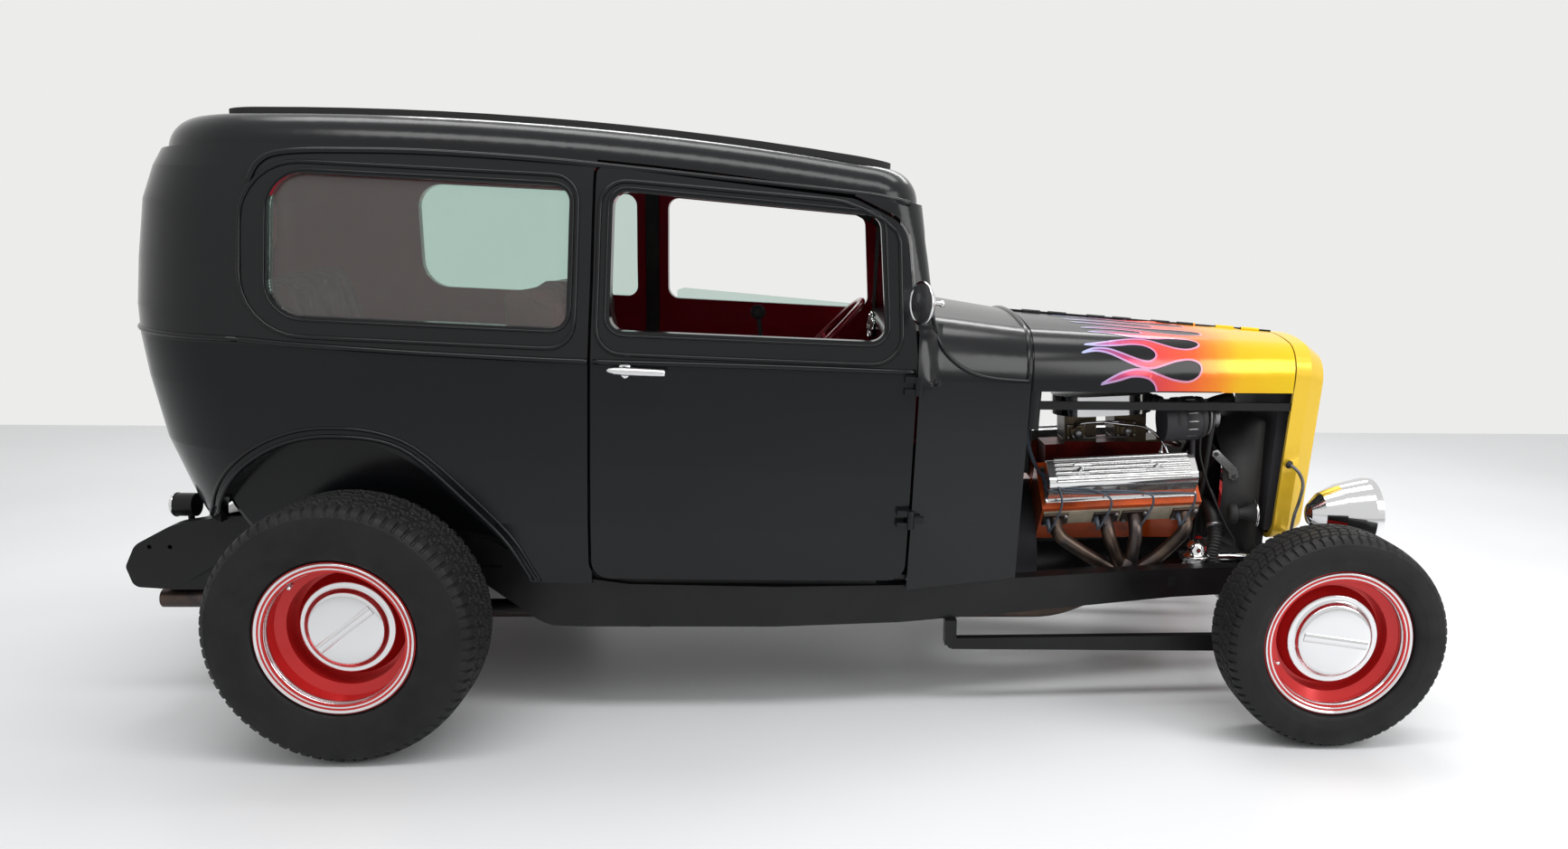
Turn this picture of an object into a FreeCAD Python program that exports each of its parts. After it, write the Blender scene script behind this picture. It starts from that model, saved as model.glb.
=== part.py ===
import FreeCAD, Part
import math
import os
from types import SimpleNamespace

V = FreeCAD.Vector

# Driving dimensions, in millimetres and degrees. X runs forward, Y to the left, Z up.
# The chassis is measured from the rear axle and a level under the ground by its height,
# and the body from the same point in its own frame, which leans nose down by the rake.
SIZES = {
    "Stance": {
        "wheelbase": 2692, "rear_overhang": 728, "body_rake": 2.2, "ground_height": 20,
        "shut_gap": 6, "door_gap": 8, "running_gap": 0.3, "pin_gap": 0.1,
        "overrun": 20,
    },
    "Wheels": {
        "rear_axle_height": 378, "rear_tyre_width": 256, "rear_wheel_offset": 768,
        "front_axle_height": 329, "front_tyre_width": 196, "front_wheel_offset": 712,
        "rim_seat_radius": 190, "rim_flange_radius": 208, "rear_rim_width": 220,
        "front_rim_width": 152, "rim_wall": 7, "disc_wall": 8, "tyre_wall": 16,
        "rear_disc_depth": 98, "front_disc_depth": 48, "disc_dish": 30, "cap_radius": 112,
        "cap_height": 24, "cap_wall": 6, "drop_depth": 26, "drop_width": 60,
        "stub_radius": 21, "hub_radius": 62, "rear_hub_length": 56, "front_hub_length": 26,
    },
    "Body shell": {
        "skin_bottom": 466, "wall_top": 1640, "body_half_width": 655, "back_reach": 726,
        "pillar_reach": 1541, "skin_wall": 38, "rear_corner_radius": 320,
        "front_corner_radius": 140, "roof_crown_height": 1724, "roof_crown_place": 200,
        "roof_fall": 90, "roof_edge_radius": 95, "roof_seam_drop": 84,
        "glass_set_back": 14, "glass_thickness": 8, "rear_seam_offset": 430,
        "apron_height": 585, "apron_start": -330, "arch_radius": 380, "arch_rear": -465,
        "arch_top": 862, "arch_crest": 63, "arch_knee": 379, "arch_knee_height": 565,
        "arch_knee_radius": 90, "arch_foot": 433, "arch_foot_height": 457,
        "house_offset": 560, "house_reach": 606, "house_wall": 6,
        "insert_length": 1865, "insert_half_width": 430, "insert_back": 470,
        "insert_corner": 120, "insert_rise": 12, "insert_thickness": 30, "insert_rim": 26,
        "insert_rim_rise": 8,
    },
    "Openings in the shell": {
        "door_rear": 598, "door_front": 1484, "door_bottom_rear": 484,
        "door_bottom_front": 498, "door_top_rear": 1616, "door_top_front": 1566,
        "door_shoulder": 1290, "door_pillar_top": 1500, "door_pillar_lean": 46,
        "door_belt": 1137, "door_corner": 50, "door_top_corner": 90,
        "door_sill": 1186, "door_window_rear": 644, "door_window_front": 1392,
        "door_window_lean": 30, "door_header_rear": 1553, "door_header_front": 1522,
        "window_corner": 40,
        "quarter_window_rear": -258, "quarter_window_front": 530,
        "quarter_window_top": 1557, "quarter_window_corner": 90,
        "rear_window_half_width": 355, "rear_window_bottom": 1288, "rear_window_top": 1478,
        "rear_window_corner": 60,
        "windscreen_half_width": 500, "windscreen_bottom": 1312, "windscreen_top": 1492,
        "windscreen_corner": 45,
    },
    "Cowl and hood": {
        "cowl_rear": 1492, "cowl_front": 1828, "cowl_bottom_rear": 470,
        "cowl_bottom_front": 482, "cowl_rear_half_width": 606, "cowl_foot_half_width": 574,
        "cowl_waist_half_width": 597, "cowl_waist_height": 700,
        "cowl_shoulder_height": 1242, "cowl_shoulder_radius": 170, "cowl_top_height": 1300,
        "cowl_wall": 30, "firewall_half_width": 470, "firewall_foot_half_width": 460,
        "hood_shoulder_height": 1205, "hood_shoulder_radius": 150, "hood_crown_height": 1262,
        "hood_edge": 1049, "hood_front": 2692, "nose_half_width": 250,
        "nose_shoulder_height": 1182, "nose_shoulder_radius": 105, "nose_crown_height": 1232,
        "hood_wall": 8, "hood_hinge_reach": 7, "hood_hinge_lift": 3, "hood_pin_radius": 3,
        "hood_knuckle_radius": 6, "hood_knuckle_length": 60, "hood_leaf_width": 20,
        "firewall_wall": 10,
    },
    "Grille shell": {
        "shell_rear": 2698, "shell_bulge_place": 2745, "shell_front": 2800,
        "shell_bottom": 560, "shell_foot_half_width": 216, "shell_wall": 14,
        "shell_nose_inset": 34, "shell_frame_width": 46, "shell_corner": 60,
        "grille_bars": 25, "grille_bar_width": 5, "grille_bar_depth": 16, "grille_set_back": 26,
        "grille_vee": 22, "grille_band": 12, "grille_depth": 20, "grille_centre_bar": 12,
        "core_thickness": 60, "core_half_width": 190, "core_bottom": 590, "core_top": 1120,
        "core_tank_height": 70, "core_leg_offset": 150, "core_leg_width": 40,
        "core_leg_bottom": 516,
    },
    "Frame": {
        "rail_thickness": 50, "horn_radius": 34, "front_horn_reach": 296,
        "cross_tube_radius": 24, "front_cross_width": 110, "front_cross_height": 60,
        "gearbox_mount_place": 1130, "gearbox_mount_height": 50, "gearbox_mount_width": 90,
        "gearbox_mount_drop": 36, "rear_cross_place": -90, "rear_cross_height": 592,
        "engine_mount_place": 2340, "engine_mount_bottom": 350,
        "horn_hole_radius": 6.5, "horn_hole_spacing": 58, "horn_hole_place": -625,
        "horn_hole_height": 520, "front_hole_place": 2860, "front_hole_height": 372,
        "spreader_radius": 16,
    },
    "Front axle": {
        "kingpin_offset": 630, "beam_height": 218, "beam_depth": 54, "beam_width": 46,
        "beam_drop_start": 490, "beam_flat": 44, "boss_radius": 22, "boss_height": 58, "kingpin_radius": 10,
        "kingpin_length": 112, "arm_length": 110, "arm_height": 268, "arm_thickness": 12,
        "arm_width": 30, "tie_rod_radius": 10, "link_eye_radius": 16, "link_eye_height": 24,
        "link_pin_radius": 7, "fork_thickness": 20, "fork_radius": 24, "fork_reach": 34,
        "spindle_reach": 58, "backing_radius": 128, "backing_thickness": 10,
        "backing_offset": 34, "spring_half_span": 430,
        "spring_thickness": 30, "spring_width": 44,
        "perch_radius": 17, "rod_front_offset": 436, "rod_rear_offset": 508,
        "rod_rear_reach": 1648, "rod_height": 200, "rod_depth_front": 54,
        "rod_depth_rear": 34, "rod_width": 26, "rod_bolt_radius": 9, "rod_rear_height": 226,
        "pitman_offset": 250, "pitman_shaft_radius": 14,
        "box_length": 150, "box_width": 98, "box_height": 96, "link_shaft_radius": 9, "link_run_rear": 230,
        "link_run_front": 80, "link_run_offset": 338, "link_run_height": 436,
    },
    "Rear axle": {
        "axle_tube_radius": 38, "axle_half_length": 640, "diff_radius": 132, "diff_length": 210,
        "diff_nose_reach": 240, "diff_nose_radius": 48, "damper_radius": 30,
        "damper_offset": 430, "damper_lean": 60, "trail_arm_reach": 760,
        "trail_arm_radius": 16, "trail_arm_offset": 470, "prop_radius": 38,
    },
    "Driveline": {
        "crank_height": 405, "engine_rear": 1962, "engine_length": 510, "engine_tilt": 3,
        "bank_deck": 229, "deck_width": 172, "head_height": 108, "head_length": 500,
        "pan_depth": 185, "pan_half_width": 118, "skirt_half_width": 150, "skirt_drop": 66,
        "sump_length": 230, "valley_height": 262,
        "cover_length": 462, "cover_width": 118, "cover_height": 84, "cover_corner": 26,
        "wing_bolt_radius": 6, "wing_bolt_height": 34, "wing_width": 60, "wing_bolt_share": 0.27,
        "intake_height": 70, "intake_half_width": 120, "intake_length": 400,
        "carb_width": 120, "carb_length": 105, "carb_height": 95, "carb_spacing": 165,
        "cleaner_length": 330, "cleaner_half_width": 110, "cleaner_height": 64,
        "cleaner_lip": 12, "filler_radius": 22, "filler_height": 150,
        "distributor_radius": 46, "distributor_height": 150,
        "pulley_radius": 84, "pump_pulley_radius": 74, "belt_width": 24, "front_drive_gap": 26,
        "alternator_radius": 66, "alternator_length": 110, "post_radius": 8,
        "post_length": 230,
        "bell_radius": 200, "bell_length": 96, "case_half_width": 118, "case_height": 200,
        "case_length": 430, "tail_radius": 55, "tail_length": 250,
        "header_radius": 21, "collector_radius": 34, "collector_length": 170,
        "collector_offset": 284, "collector_height": 392, "collector_place": 2230,
        "outlet_reach": 64, "header_drop": 60, "pipe_radius": 28, "pipe_height": 268,
        "pipe_offset": 325, "pipe_front": 1990, "pipe_end": -668, "pipe_kick_height": 345,
        "pipe_kick_offset": 455, "pipe_kick_place": -430,
    },
    "Lamps and tank": {
        "lamp_radius": 110, "lamp_length": 205, "lamp_front": 2942, "lamp_offset": 400,
        "lamp_height": 598, "lamp_stem_radius": 14, "lamp_bar_height": 500,
        "lamp_bar_radius": 12, "lamp_bar_place": 2790, "lamp_bar_drop_height": 438,
        "lamp_bar_drop_offset": 262, "lamp_foot_offset": 306,
        "tank_half_width": 473.7, "tank_front": -400, "tank_bottom": 376,
        "tail_lamp_radius": 34, "tail_lamp_length": 60, "tail_lamp_offset": 420,
        "tail_lamp_height": 619, "tail_lamp_place": -564, "tail_stem_radius": 9,
        "mirror_radius": 57, "mirror_depth": 16, "mirror_place": 1500, "mirror_offset": 704,
        "mirror_height": 1304, "mirror_arm_radius": 5,
    },
    "Cabin": {
        "floor_height": 500, "floor_wall": 12, "tunnel_half_width": 140, "tunnel_height": 650,
        "kick_up_place": 180,
        "seat_back_height": 1303, "seat_height": 828, "seat_front": 930, "seat_rear": 380,
        "seat_plinth_front": 850, "seat_plinth_inner": 152, "seat_plinth_outer": 500,
        "seat_half_width": 545, "seat_back_thickness": 150, "seat_split": 50, "seat_lean": 12,
        "rear_seat_front": -20, "rear_seat_rear": -560, "rear_seat_height": 900, "rear_cushion_depth": 100,
        "rear_seat_back_height": 1275, "rear_seat_half_width": 450,
        "dash_height": 1215, "dash_depth": 66, "dash_drop": 150, "dash_place": 1400,
        "dash_half_width": 540, "dash_plate": 8,
        "wheel_rim_radius": 190, "wheel_rim_tube": 13, "steering_offset": 360,
        "steering_height": 1038, "steering_place": 1270, "steering_lean": 45,
        "column_radius": 24, "spoke_width": 26, "spoke_thickness": 8,
        "boss_disc_radius": 44, "lever_radius": 7, "lever_place": 1010, "lever_height": 1200,
        "lever_foot": 1090,
        "knob_radius": 24, "hinge_pin_radius": 6, "hinge_knuckle_radius": 11,
        "hinge_height": 52, "hinge_low": 690, "hinge_high": 1070, "hinge_leaf": 34,
        "hinge_leaf_thickness": 5, "handle_place": 690, "handle_height": 1085,
        "handle_length": 120, "handle_radius": 9, "handle_stand_off": 34,
        "hood_rail_drop": 58, "hood_rail_height": 24, "hood_rail_width": 14,
    },
}

doc = FreeCAD.newDocument("hot_rod")
sheet = doc.addObject("Spreadsheet::Sheet", "dims")


def fill_sheet():
    """Write every size as a named cell and read the values back."""
    row = 1
    for section, sizes in SIZES.items():
        sheet.set("A%d" % row, section)
        row += 1
        for name, value in sizes.items():
            sheet.set("A%d" % row, name)
            sheet.set("B%d" % row, str(value))
            sheet.setAlias("B%d" % row, name)
            row += 1
    doc.recompute()
    names = [name for sizes in SIZES.values() for name in sizes]
    return SimpleNamespace(**{name: float(sheet.get(name)) for name in names})


d = fill_sheet()
FULL_TURN = 360
HALF_TURN = 180
QUARTER_TURN = 90
STRAIGHT_SHARE = 0.001
CROWN_SHARE = 0.62
HOOD_KNUCKLES = 4

# The middle of the car's length is the origin, on the ground.
rear_axle_x = (d.rear_overhang - d.wheelbase - d.front_axle_height + d.ground_height) / 2
datum = V(rear_axle_x, 0, -d.ground_height)
chassis_place = FreeCAD.Placement(datum, FreeCAD.Rotation())
rake_turn = FreeCAD.Rotation(V(0, 1, 0), d.body_rake)
body_place = FreeCAD.Placement(datum, rake_turn)
PLANES = {
    "XY": FreeCAD.Rotation(),
    "XZ": FreeCAD.Rotation(V(1, 0, 0), QUARTER_TURN),
    "YZ": FreeCAD.Rotation(V(1, 1, 1), FULL_TURN / 3),
}
nodes = {}
SIDES = (("right", -1), ("left", 1))


def made(kind, name, **properties):
    """Add one object to the document and set its properties."""
    item = doc.addObject(kind, name)
    for key, value in properties.items():
        setattr(item, key, value)
    return item


def bind(item, **cells):
    """Tie properties of an object to cells of the sheet."""
    for key, cell in cells.items():
        item.setExpression(key, cell if "dims." in cell else "dims." + cell)
    return item


def node(label, item, place):
    """Keep an object as a sub-part, under its own label and placement."""
    item.Label = label
    item.Placement = place
    nodes[label] = item
    return item


def corner_arc(before, corner, after, radius):
    """Ends and middle of the arc that rounds one corner of an outline."""
    one, two = before - corner, after - corner
    one.normalize()
    two.normalize()
    half = one.getAngle(two) / 2
    reach = radius / math.tan(half)
    middle = one + two
    middle.normalize()
    centre = corner + middle * (radius / math.sin(half))
    return corner + one * reach, centre - middle * radius, corner + two * reach


def outline(corners, closed=True):
    """Edges of an outline from (x, y) or (x, y, radius) corners, with tangent arcs."""
    points = [V(c[0], c[1], 0) for c in corners]
    radii = [c[2] if len(c) > 2 else 0 for c in corners]
    count = len(points)
    stops = []
    for index, (point, radius) in enumerate(zip(points, radii)):
        ends = not closed and index in (0, count - 1)
        if radius and not ends:
            stops.append(corner_arc(points[index - 1], point, points[(index + 1) % count], radius))
        else:
            stops.append((point,))
    for index in range(0 if closed else 1, count):
        before = stops[index - 1][-1]
        if before.distanceToPoint(stops[index][0]) < d.running_gap:
            stops[index] = (before,) + stops[index][1:]
    edges = []
    for index, stop in enumerate(stops):
        if len(stop) > 1:
            edges.append(Part.Arc(*stop))
        if index + 1 < count or closed:
            start, end = stop[-1], stops[(index + 1) % count][0]
            if start.distanceToPoint(end) > 0:
                edges.append(Part.LineSegment(start, end))
    return edges


def sketch(name, plane, edges, at=V(0, 0, 0)):
    """A sketch on one of the main planes, moved to a place."""
    item = made("Sketcher::SketchObject", name)
    item.addGeometry(edges, False)
    item.Placement = FreeCAD.Placement(at, PLANES[plane])
    return item


def prism(name, plane, edges, at, length, both=False):
    """A sketch drawn out square to its plane, by a number or a named cell."""
    base = sketch(name + "_outline", plane, edges, at)
    item = made("Part::Extrusion", name, Base=base, DirMode="Normal", Solid=True,
                Symmetric=both)
    if isinstance(length, str):
        bind(item, LengthFwd=length)
    else:
        item.LengthFwd = length
    return item


def turned(name, plane, edges, at, axis):
    """A sketch turned once about an axis through its place."""
    base = sketch(name + "_profile", plane, edges, at)
    return made("Part::Revolution", name, Source=base, Axis=axis, Base=at, Angle=FULL_TURN,
                Solid=True)


def disc(name, at, axis, radius, length):
    """A round bar from a place along an axis. Sizes are numbers or named cells."""
    item = made("Part::Cylinder", name)
    for key, value in (("Radius", radius), ("Height", length)):
        if isinstance(value, str):
            bind(item, **{key: value})
        else:
            setattr(item, key, value)
    item.Placement = FreeCAD.Placement(at, FreeCAD.Rotation(V(0, 0, 1), axis))
    return item


def block(name, low, high):
    """A square block between two corners."""
    item = made("Part::Box", name)
    item.Length, item.Width, item.Height = high - low
    item.Placement.Base = low
    return item


def bar(name, start, end, radius):
    """A round bar between two points."""
    run = end - start
    return disc(name, start, run, radius, run.Length)


def fuse(name, *items):
    return made("Part::MultiFuse", name, Shapes=list(items), Refine=True)


def cut(name, base, *tools):
    tool = tools[0] if len(tools) == 1 else made("Part::Compound", name + "_tools", Links=list(tools))
    return made("Part::Cut", name, Base=base, Tool=tool)


def common(name, one, two):
    return made("Part::Common", name, Base=one, Tool=two)


def loft(name, sections):
    return made("Part::Loft", name, Sections=sections, Solid=True, Ruled=True)


def group(name, *items):
    """Pieces of one body that do not touch, kept as one sub-part."""
    return made("Part::Compound", name, Links=list(items))


def mirrored(name, item):
    return made("Part::Mirroring", name, Source=item, Normal=V(0, 1, 0), Base=V(0, 0, 0))


def tube_path(name, points, radius, bend):
    """A round tube along straight runs joined by tangent arcs."""
    edges = []
    start = points[0]
    for before, corner, after in zip(points, points[1:], points[2:]):
        reach = min((corner - before).Length, (after - corner).Length) * bend
        half = (before - corner).getAngle(after - corner) / 2
        if math.cos(half) < STRAIGHT_SHARE:
            continue
        first, middle, last = corner_arc(before, corner, after, reach * math.tan(half))
        edges += [Part.LineSegment(start, first).toShape(), Part.Arc(first, middle, last).toShape()]
        start = last
    edges.append(Part.LineSegment(start, points[-1]).toShape())
    path = Part.Wire(edges)
    ring = Part.Wire(Part.Circle(points[0], points[1] - points[0], radius).toShape())
    item = made("Part::Feature", name)
    item.Shape = path.makePipeShell([ring], True, True)
    return item


# Body shell. Each level of the shell is a rounded outline: its height as a share of the
# wall, then its half width, rear reach, front reach and front corner as shares of the
# largest ones. The belt is the widest level, and the sides lean in above it.
LEVEL_SHARES = (
    (0.000, 0.944, 0.716, 0.993, 0.43), (0.148, 0.979, 0.820, 0.994, 0.43),
    (0.297, 0.992, 0.913, 0.997, 0.43), (0.446, 0.998, 0.964, 0.999, 0.43),
    (0.544, 1.000, 0.986, 1.000, 0.43), (0.612, 0.985, 0.997, 0.999, 0.43),
    (0.719, 0.947, 1.000, 0.986, 0.44), (0.855, 0.916, 0.985, 0.970, 0.61),
    (0.932, 0.893, 0.950, 0.962, 0.79), (1.000, 0.861, 0.902, 0.955, 1.00),
)
FRONT_WIDTH_SHARE = 0.925
MIDDLE_WIDTH_SHARE = 1.0
REAR_WIDTH_SHARE = 0.985


def level_outline(level, inset=0):
    """Plan outline of the shell at one level, set in by a wall."""
    height_share, width_share, rear_share, front_share, corner_share = LEVEL_SHARES[level]
    width = d.body_half_width * width_share - inset
    rear = d.back_reach * rear_share - inset
    front = d.pillar_reach * front_share - inset
    corner = d.front_corner_radius * corner_share - inset
    curve = d.rear_corner_radius - inset
    side_front, side_rear = width * FRONT_WIDTH_SHARE, width * REAR_WIDTH_SHARE
    middle = V((front - rear) / 2, width * MIDDLE_WIDTH_SHARE, 0)
    slant = math.sqrt(1 / 2)

    def corner_edge(centre, radius, way, side):
        ends = [centre + V(0, side * radius, 0), centre + V(way * radius, 0, 0)]
        mid = centre + V(way * radius * slant, side * radius * slant, 0)
        order = (ends[0], mid, ends[1]) if way * side < 0 else (ends[1], mid, ends[0])
        return Part.Arc(*order)

    front_left = V(front - corner, side_front - corner, 0)
    rear_left = V(curve - rear, side_rear - curve, 0)
    front_right = V(front_left.x, -front_left.y, 0)
    rear_right = V(rear_left.x, -rear_left.y, 0)
    up, down = V(0, 1, 0), V(0, -1, 0)
    return [
        Part.LineSegment(V(front, front_right.y, 0), V(front, front_left.y, 0)),
        corner_edge(front_left, corner, 1, 1),
        Part.Arc(front_left + up * corner, middle, rear_left + up * curve),
        corner_edge(rear_left, curve, -1, 1),
        Part.LineSegment(V(-rear, rear_left.y, 0), V(-rear, rear_right.y, 0)),
        corner_edge(rear_right, curve, -1, -1),
        Part.Arc(rear_right + down * curve, V(middle.x, -middle.y, 0), front_right + down * corner),
        corner_edge(front_right, corner, 1, -1),
    ]


def level_height(level):
    return d.skin_bottom + LEVEL_SHARES[level][0] * (d.wall_top - d.skin_bottom)


def shell_blank(name, inset, low=0, high=0):
    """The whole closed form of the cabin walls, set in by a wall."""
    last = len(LEVEL_SHARES) - 1
    sections = []
    for level in range(last + 1):
        height = level_height(level) - (low if level == 0 else 0) + (high if level == last else 0)
        at = V(0, 0, height)
        sections.append(sketch("%s_level_%d" % (name, level), "XY", level_outline(level, inset), at))
    return loft(name, sections)


def roof_height(x, lift=0):
    """Height of the roof's crown line at a place along the body."""
    reach = (x - d.roof_crown_place) / (d.pillar_reach - d.roof_crown_place)
    return d.roof_crown_height + lift - d.roof_fall * reach * reach


def crown_arc(lift):
    """The roof's crown line as one arc, past both ends of the body."""
    ends = (-d.back_reach * 1.5, d.roof_crown_place, d.pillar_reach * 1.5)
    return [V(x, roof_height(x, lift), 0) for x in ends]


def crown_band(name, top_lift, bottom_lift):
    """A band between two crown lines, as wide as the body."""
    top, low = crown_arc(top_lift), crown_arc(bottom_lift)
    edges = [Part.Arc(*top), Part.LineSegment(top[2], low[2]), Part.Arc(low[2], low[1], low[0]),
             Part.LineSegment(low[0], top[0])]
    return prism(name, "XZ", edges, V(0, 0, 0), 3 * d.body_half_width, both=True)


def side_cutter(name, edges, side):
    """An outline drawn through the wall on one side of the car."""
    at = V(0, 0, 0) if side < 0 else V(0, 2 * d.body_half_width, 0)
    return prism(name, "XZ", edges, at, 2 * d.body_half_width)


def door_outline(grow):
    """The door's edge, grown by the shut line to give its opening."""
    return outline([
        (d.door_rear - grow, d.door_bottom_rear - grow, d.door_corner + grow),
        (d.door_front + grow, d.door_bottom_front - grow, d.door_corner + grow),
        (d.door_front + grow, d.door_belt, d.door_corner),
        (d.door_front - d.door_pillar_lean + grow, d.door_pillar_top + grow, d.door_top_corner + grow),
        (d.door_shoulder, d.door_top_front + grow, d.door_top_corner),
        (d.door_rear - grow, d.door_top_rear + grow, d.window_corner / 2 + grow),
    ])


def door_window_outline():
    return outline([
        (d.door_window_rear, d.door_sill, d.window_corner),
        (d.door_window_front, d.door_sill, d.window_corner),
        (d.door_window_front - d.door_window_lean, d.door_header_front, d.window_corner),
        (d.door_window_rear, d.door_header_rear, d.window_corner),
    ])


def quarter_window_outline():
    return outline([
        (d.quarter_window_rear, d.door_sill, d.quarter_window_corner),
        (d.quarter_window_front, d.door_sill, d.window_corner),
        (d.quarter_window_front, d.quarter_window_top, d.window_corner),
        (d.quarter_window_rear, d.quarter_window_top, d.quarter_window_corner),
    ])


def crest_radius(crest, top, knee):
    """The radius at which the arc before the slant starts where the rear arc ends."""
    fall = math.atan2(top - d.arch_knee_height, knee - crest)
    return (crest - d.arch_rear - d.arch_radius) / math.tan(fall / 2)


def arch_outline():
    """The wheel opening: round over the tyre, then slanting down in front of it."""
    return outline([
        (d.arch_rear, 0), (d.arch_rear, d.arch_top, d.arch_radius),
        (d.arch_crest, d.arch_top, crest_radius(d.arch_crest, d.arch_top, d.arch_knee)),
        (d.arch_knee, d.arch_knee_height, d.arch_knee_radius),
        (d.arch_foot, d.arch_foot_height), (d.arch_foot, 0),
    ])


def face_outline(half_width, bottom, top, corner):
    """A window with rounded corners, seen from the front or back."""
    return outline([(-half_width, bottom, corner), (half_width, bottom, corner),
                    (half_width, top, corner), (-half_width, top, corner)])


def make_body_shell(frame_in_body):
    """Quarter panels, rear panel, doors, roof and the window glass."""
    walls = cut("walls", shell_blank("outer_walls", 0),
                shell_blank("inner_walls", d.skin_wall, d.overrun, d.overrun))
    below_seam = crown_band("below_seam", -d.roof_seam_drop, -d.roof_crown_height)
    lower = common("lower_walls", walls, below_seam)
    glass_band = cut("glass_band", shell_blank("glass_outer", d.glass_set_back),
                     shell_blank("glass_inner", d.glass_set_back + d.glass_thickness, d.overrun,
                                 d.overrun))
    far = 3 * d.body_half_width
    back_cutter = block("back_zone", V(-far, -d.rear_seam_offset, d.apron_height),
                        V(d.apron_start, d.rear_seam_offset, far))
    rear_window = prism("rear_window", "YZ",
                        face_outline(d.rear_window_half_width, d.rear_window_bottom,
                                     d.rear_window_top, d.rear_window_corner),
                        V(-far, 0, 0), far)
    back = cut("rear_panel_cut", common("rear_panel_wall", lower, back_cutter), rear_window,
               frame_in_body)
    node("rear_panel", back, body_place)
    glasses = [common("rear_glass", glass_band, rear_window)]
    screen = prism("windscreen", "YZ",
                   face_outline(d.windscreen_half_width, d.windscreen_bottom, d.windscreen_top,
                                d.windscreen_corner),
                   V(d.cowl_rear - d.overrun, 0, 0), far)
    glasses.append(common("windscreen_glass", glass_band, screen))
    for name, side in SIDES:
        opening = side_cutter("door_opening_" + name, door_outline(d.door_gap), side)
        quarter_window = side_cutter("quarter_window_" + name, quarter_window_outline(), side)
        arch = side_cutter("arch_" + name, arch_outline(), side)
        inner, outer = sorted((side * d.rear_seam_offset, side * far))
        zone = block("quarter_zone_" + name, V(-far, inner, 0), V(d.door_rear, outer, far))
        under = block("quarter_under_" + name, V(-far, inner, 0), V(d.apron_start, outer, d.apron_height))
        quarter = cut("quarter_cut_" + name, common("quarter_wall_" + name, lower, zone), opening,
                      quarter_window, arch, under, frame_in_body)
        node("quarter_panel_" + name, quarter, body_place)
        glasses.append(common("quarter_glass_" + name, glass_band, quarter_window))
    make_doors(lower)
    node("window_glass", group("window_glass_set", *glasses), body_place)
    make_roof()
    return lower, screen


def hinge_axis_offset():
    """The door hinge stands just outside the widest part of the cowl's rear edge."""
    return d.cowl_rear_half_width + d.hinge_knuckle_radius - 1


def hinge_place(side):
    middle = (d.door_front + d.cowl_rear) / 2
    return V(middle, side * hinge_axis_offset(), 0)


def hinge_pieces(name, levels, reach_x):
    """Knuckles round the hinge axis and their leaves, over the given levels of each hinge."""
    axis = hinge_place(-1)
    inner = -(d.cowl_rear_half_width - d.hinge_knuckle_radius)
    outer = -(hinge_axis_offset() + d.hinge_leaf_thickness)
    low_x, high_x = sorted((axis.x, reach_x))
    pieces = []
    for spot, height in (("low", d.hinge_low), ("high", d.hinge_high)):
        for index, (start, end) in enumerate(levels):
            tag = "%s_%s_%d" % (name, spot, index)
            pieces.append(disc("knuckle_" + tag, axis + V(0, 0, height + start), V(0, 0, 1),
                               "hinge_knuckle_radius", end - start))
            pieces.append(block("leaf_" + tag, V(low_x, outer, height + start),
                                V(high_x, inner, height + end)))
    return pieces


def hinge_rods(name, radius):
    """The hinge pins, or the holes for them."""
    axis = hinge_place(-1)
    return [disc("%s_%s" % (name, spot), axis + V(0, 0, height - d.hinge_height / 2), V(0, 0, 1),
                 radius, "hinge_height")
            for spot, height in (("low", d.hinge_low), ("high", d.hinge_high))]


def make_doors(lower):
    """Doors as thick as the wall, with the window cut, hinge knuckles and handle."""
    skin = common("door_skin", lower, side_cutter("door_edge", door_outline(0), -1))
    window = side_cutter("door_window", door_window_outline(), -1)
    half, sixth = d.hinge_height / 2, d.hinge_height / 6
    knuckles = hinge_pieces("door", ((-half, -sixth), (sixth, half)), d.door_front - d.hinge_leaf)
    inner = -(d.body_half_width - d.skin_wall / 2)
    stem = disc("handle_stem", V(d.handle_place, inner, d.handle_height), V(0, -1, 0),
                "handle_radius", d.handle_stand_off + d.skin_wall / 2)
    grip = disc("handle_grip", V(d.handle_place - d.handle_radius,
                                 -d.body_half_width - d.handle_stand_off, d.handle_height),
                V(1, 0, 0), "handle_radius", "handle_length")
    whole = fuse("door_joined", cut("door_panel", skin, window), *knuckles, stem, grip)
    bores = hinge_rods("hinge_bore", d.hinge_pin_radius + d.pin_gap)
    door = node("door_right", cut("door_whole", whole, *bores), body_place)
    far_side = made("Part::Mirroring", "door_mirrored", Source=whole, Normal=V(0, 1, 0))
    far_bores = mirrored("far_bores", group("bore_set", *bores))
    node("door_left", cut("door_whole_left", far_side, far_bores), body_place)


def insert_outline(grow):
    """Plan of the fabric panel in the roof."""
    rear, front = -d.insert_back - grow, d.insert_length - d.insert_back + grow
    half = d.insert_half_width + grow
    radius = d.insert_corner + grow
    return outline([(rear, -half, radius), (front, -half, radius), (front, half, radius),
                    (rear, half, radius)])


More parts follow.
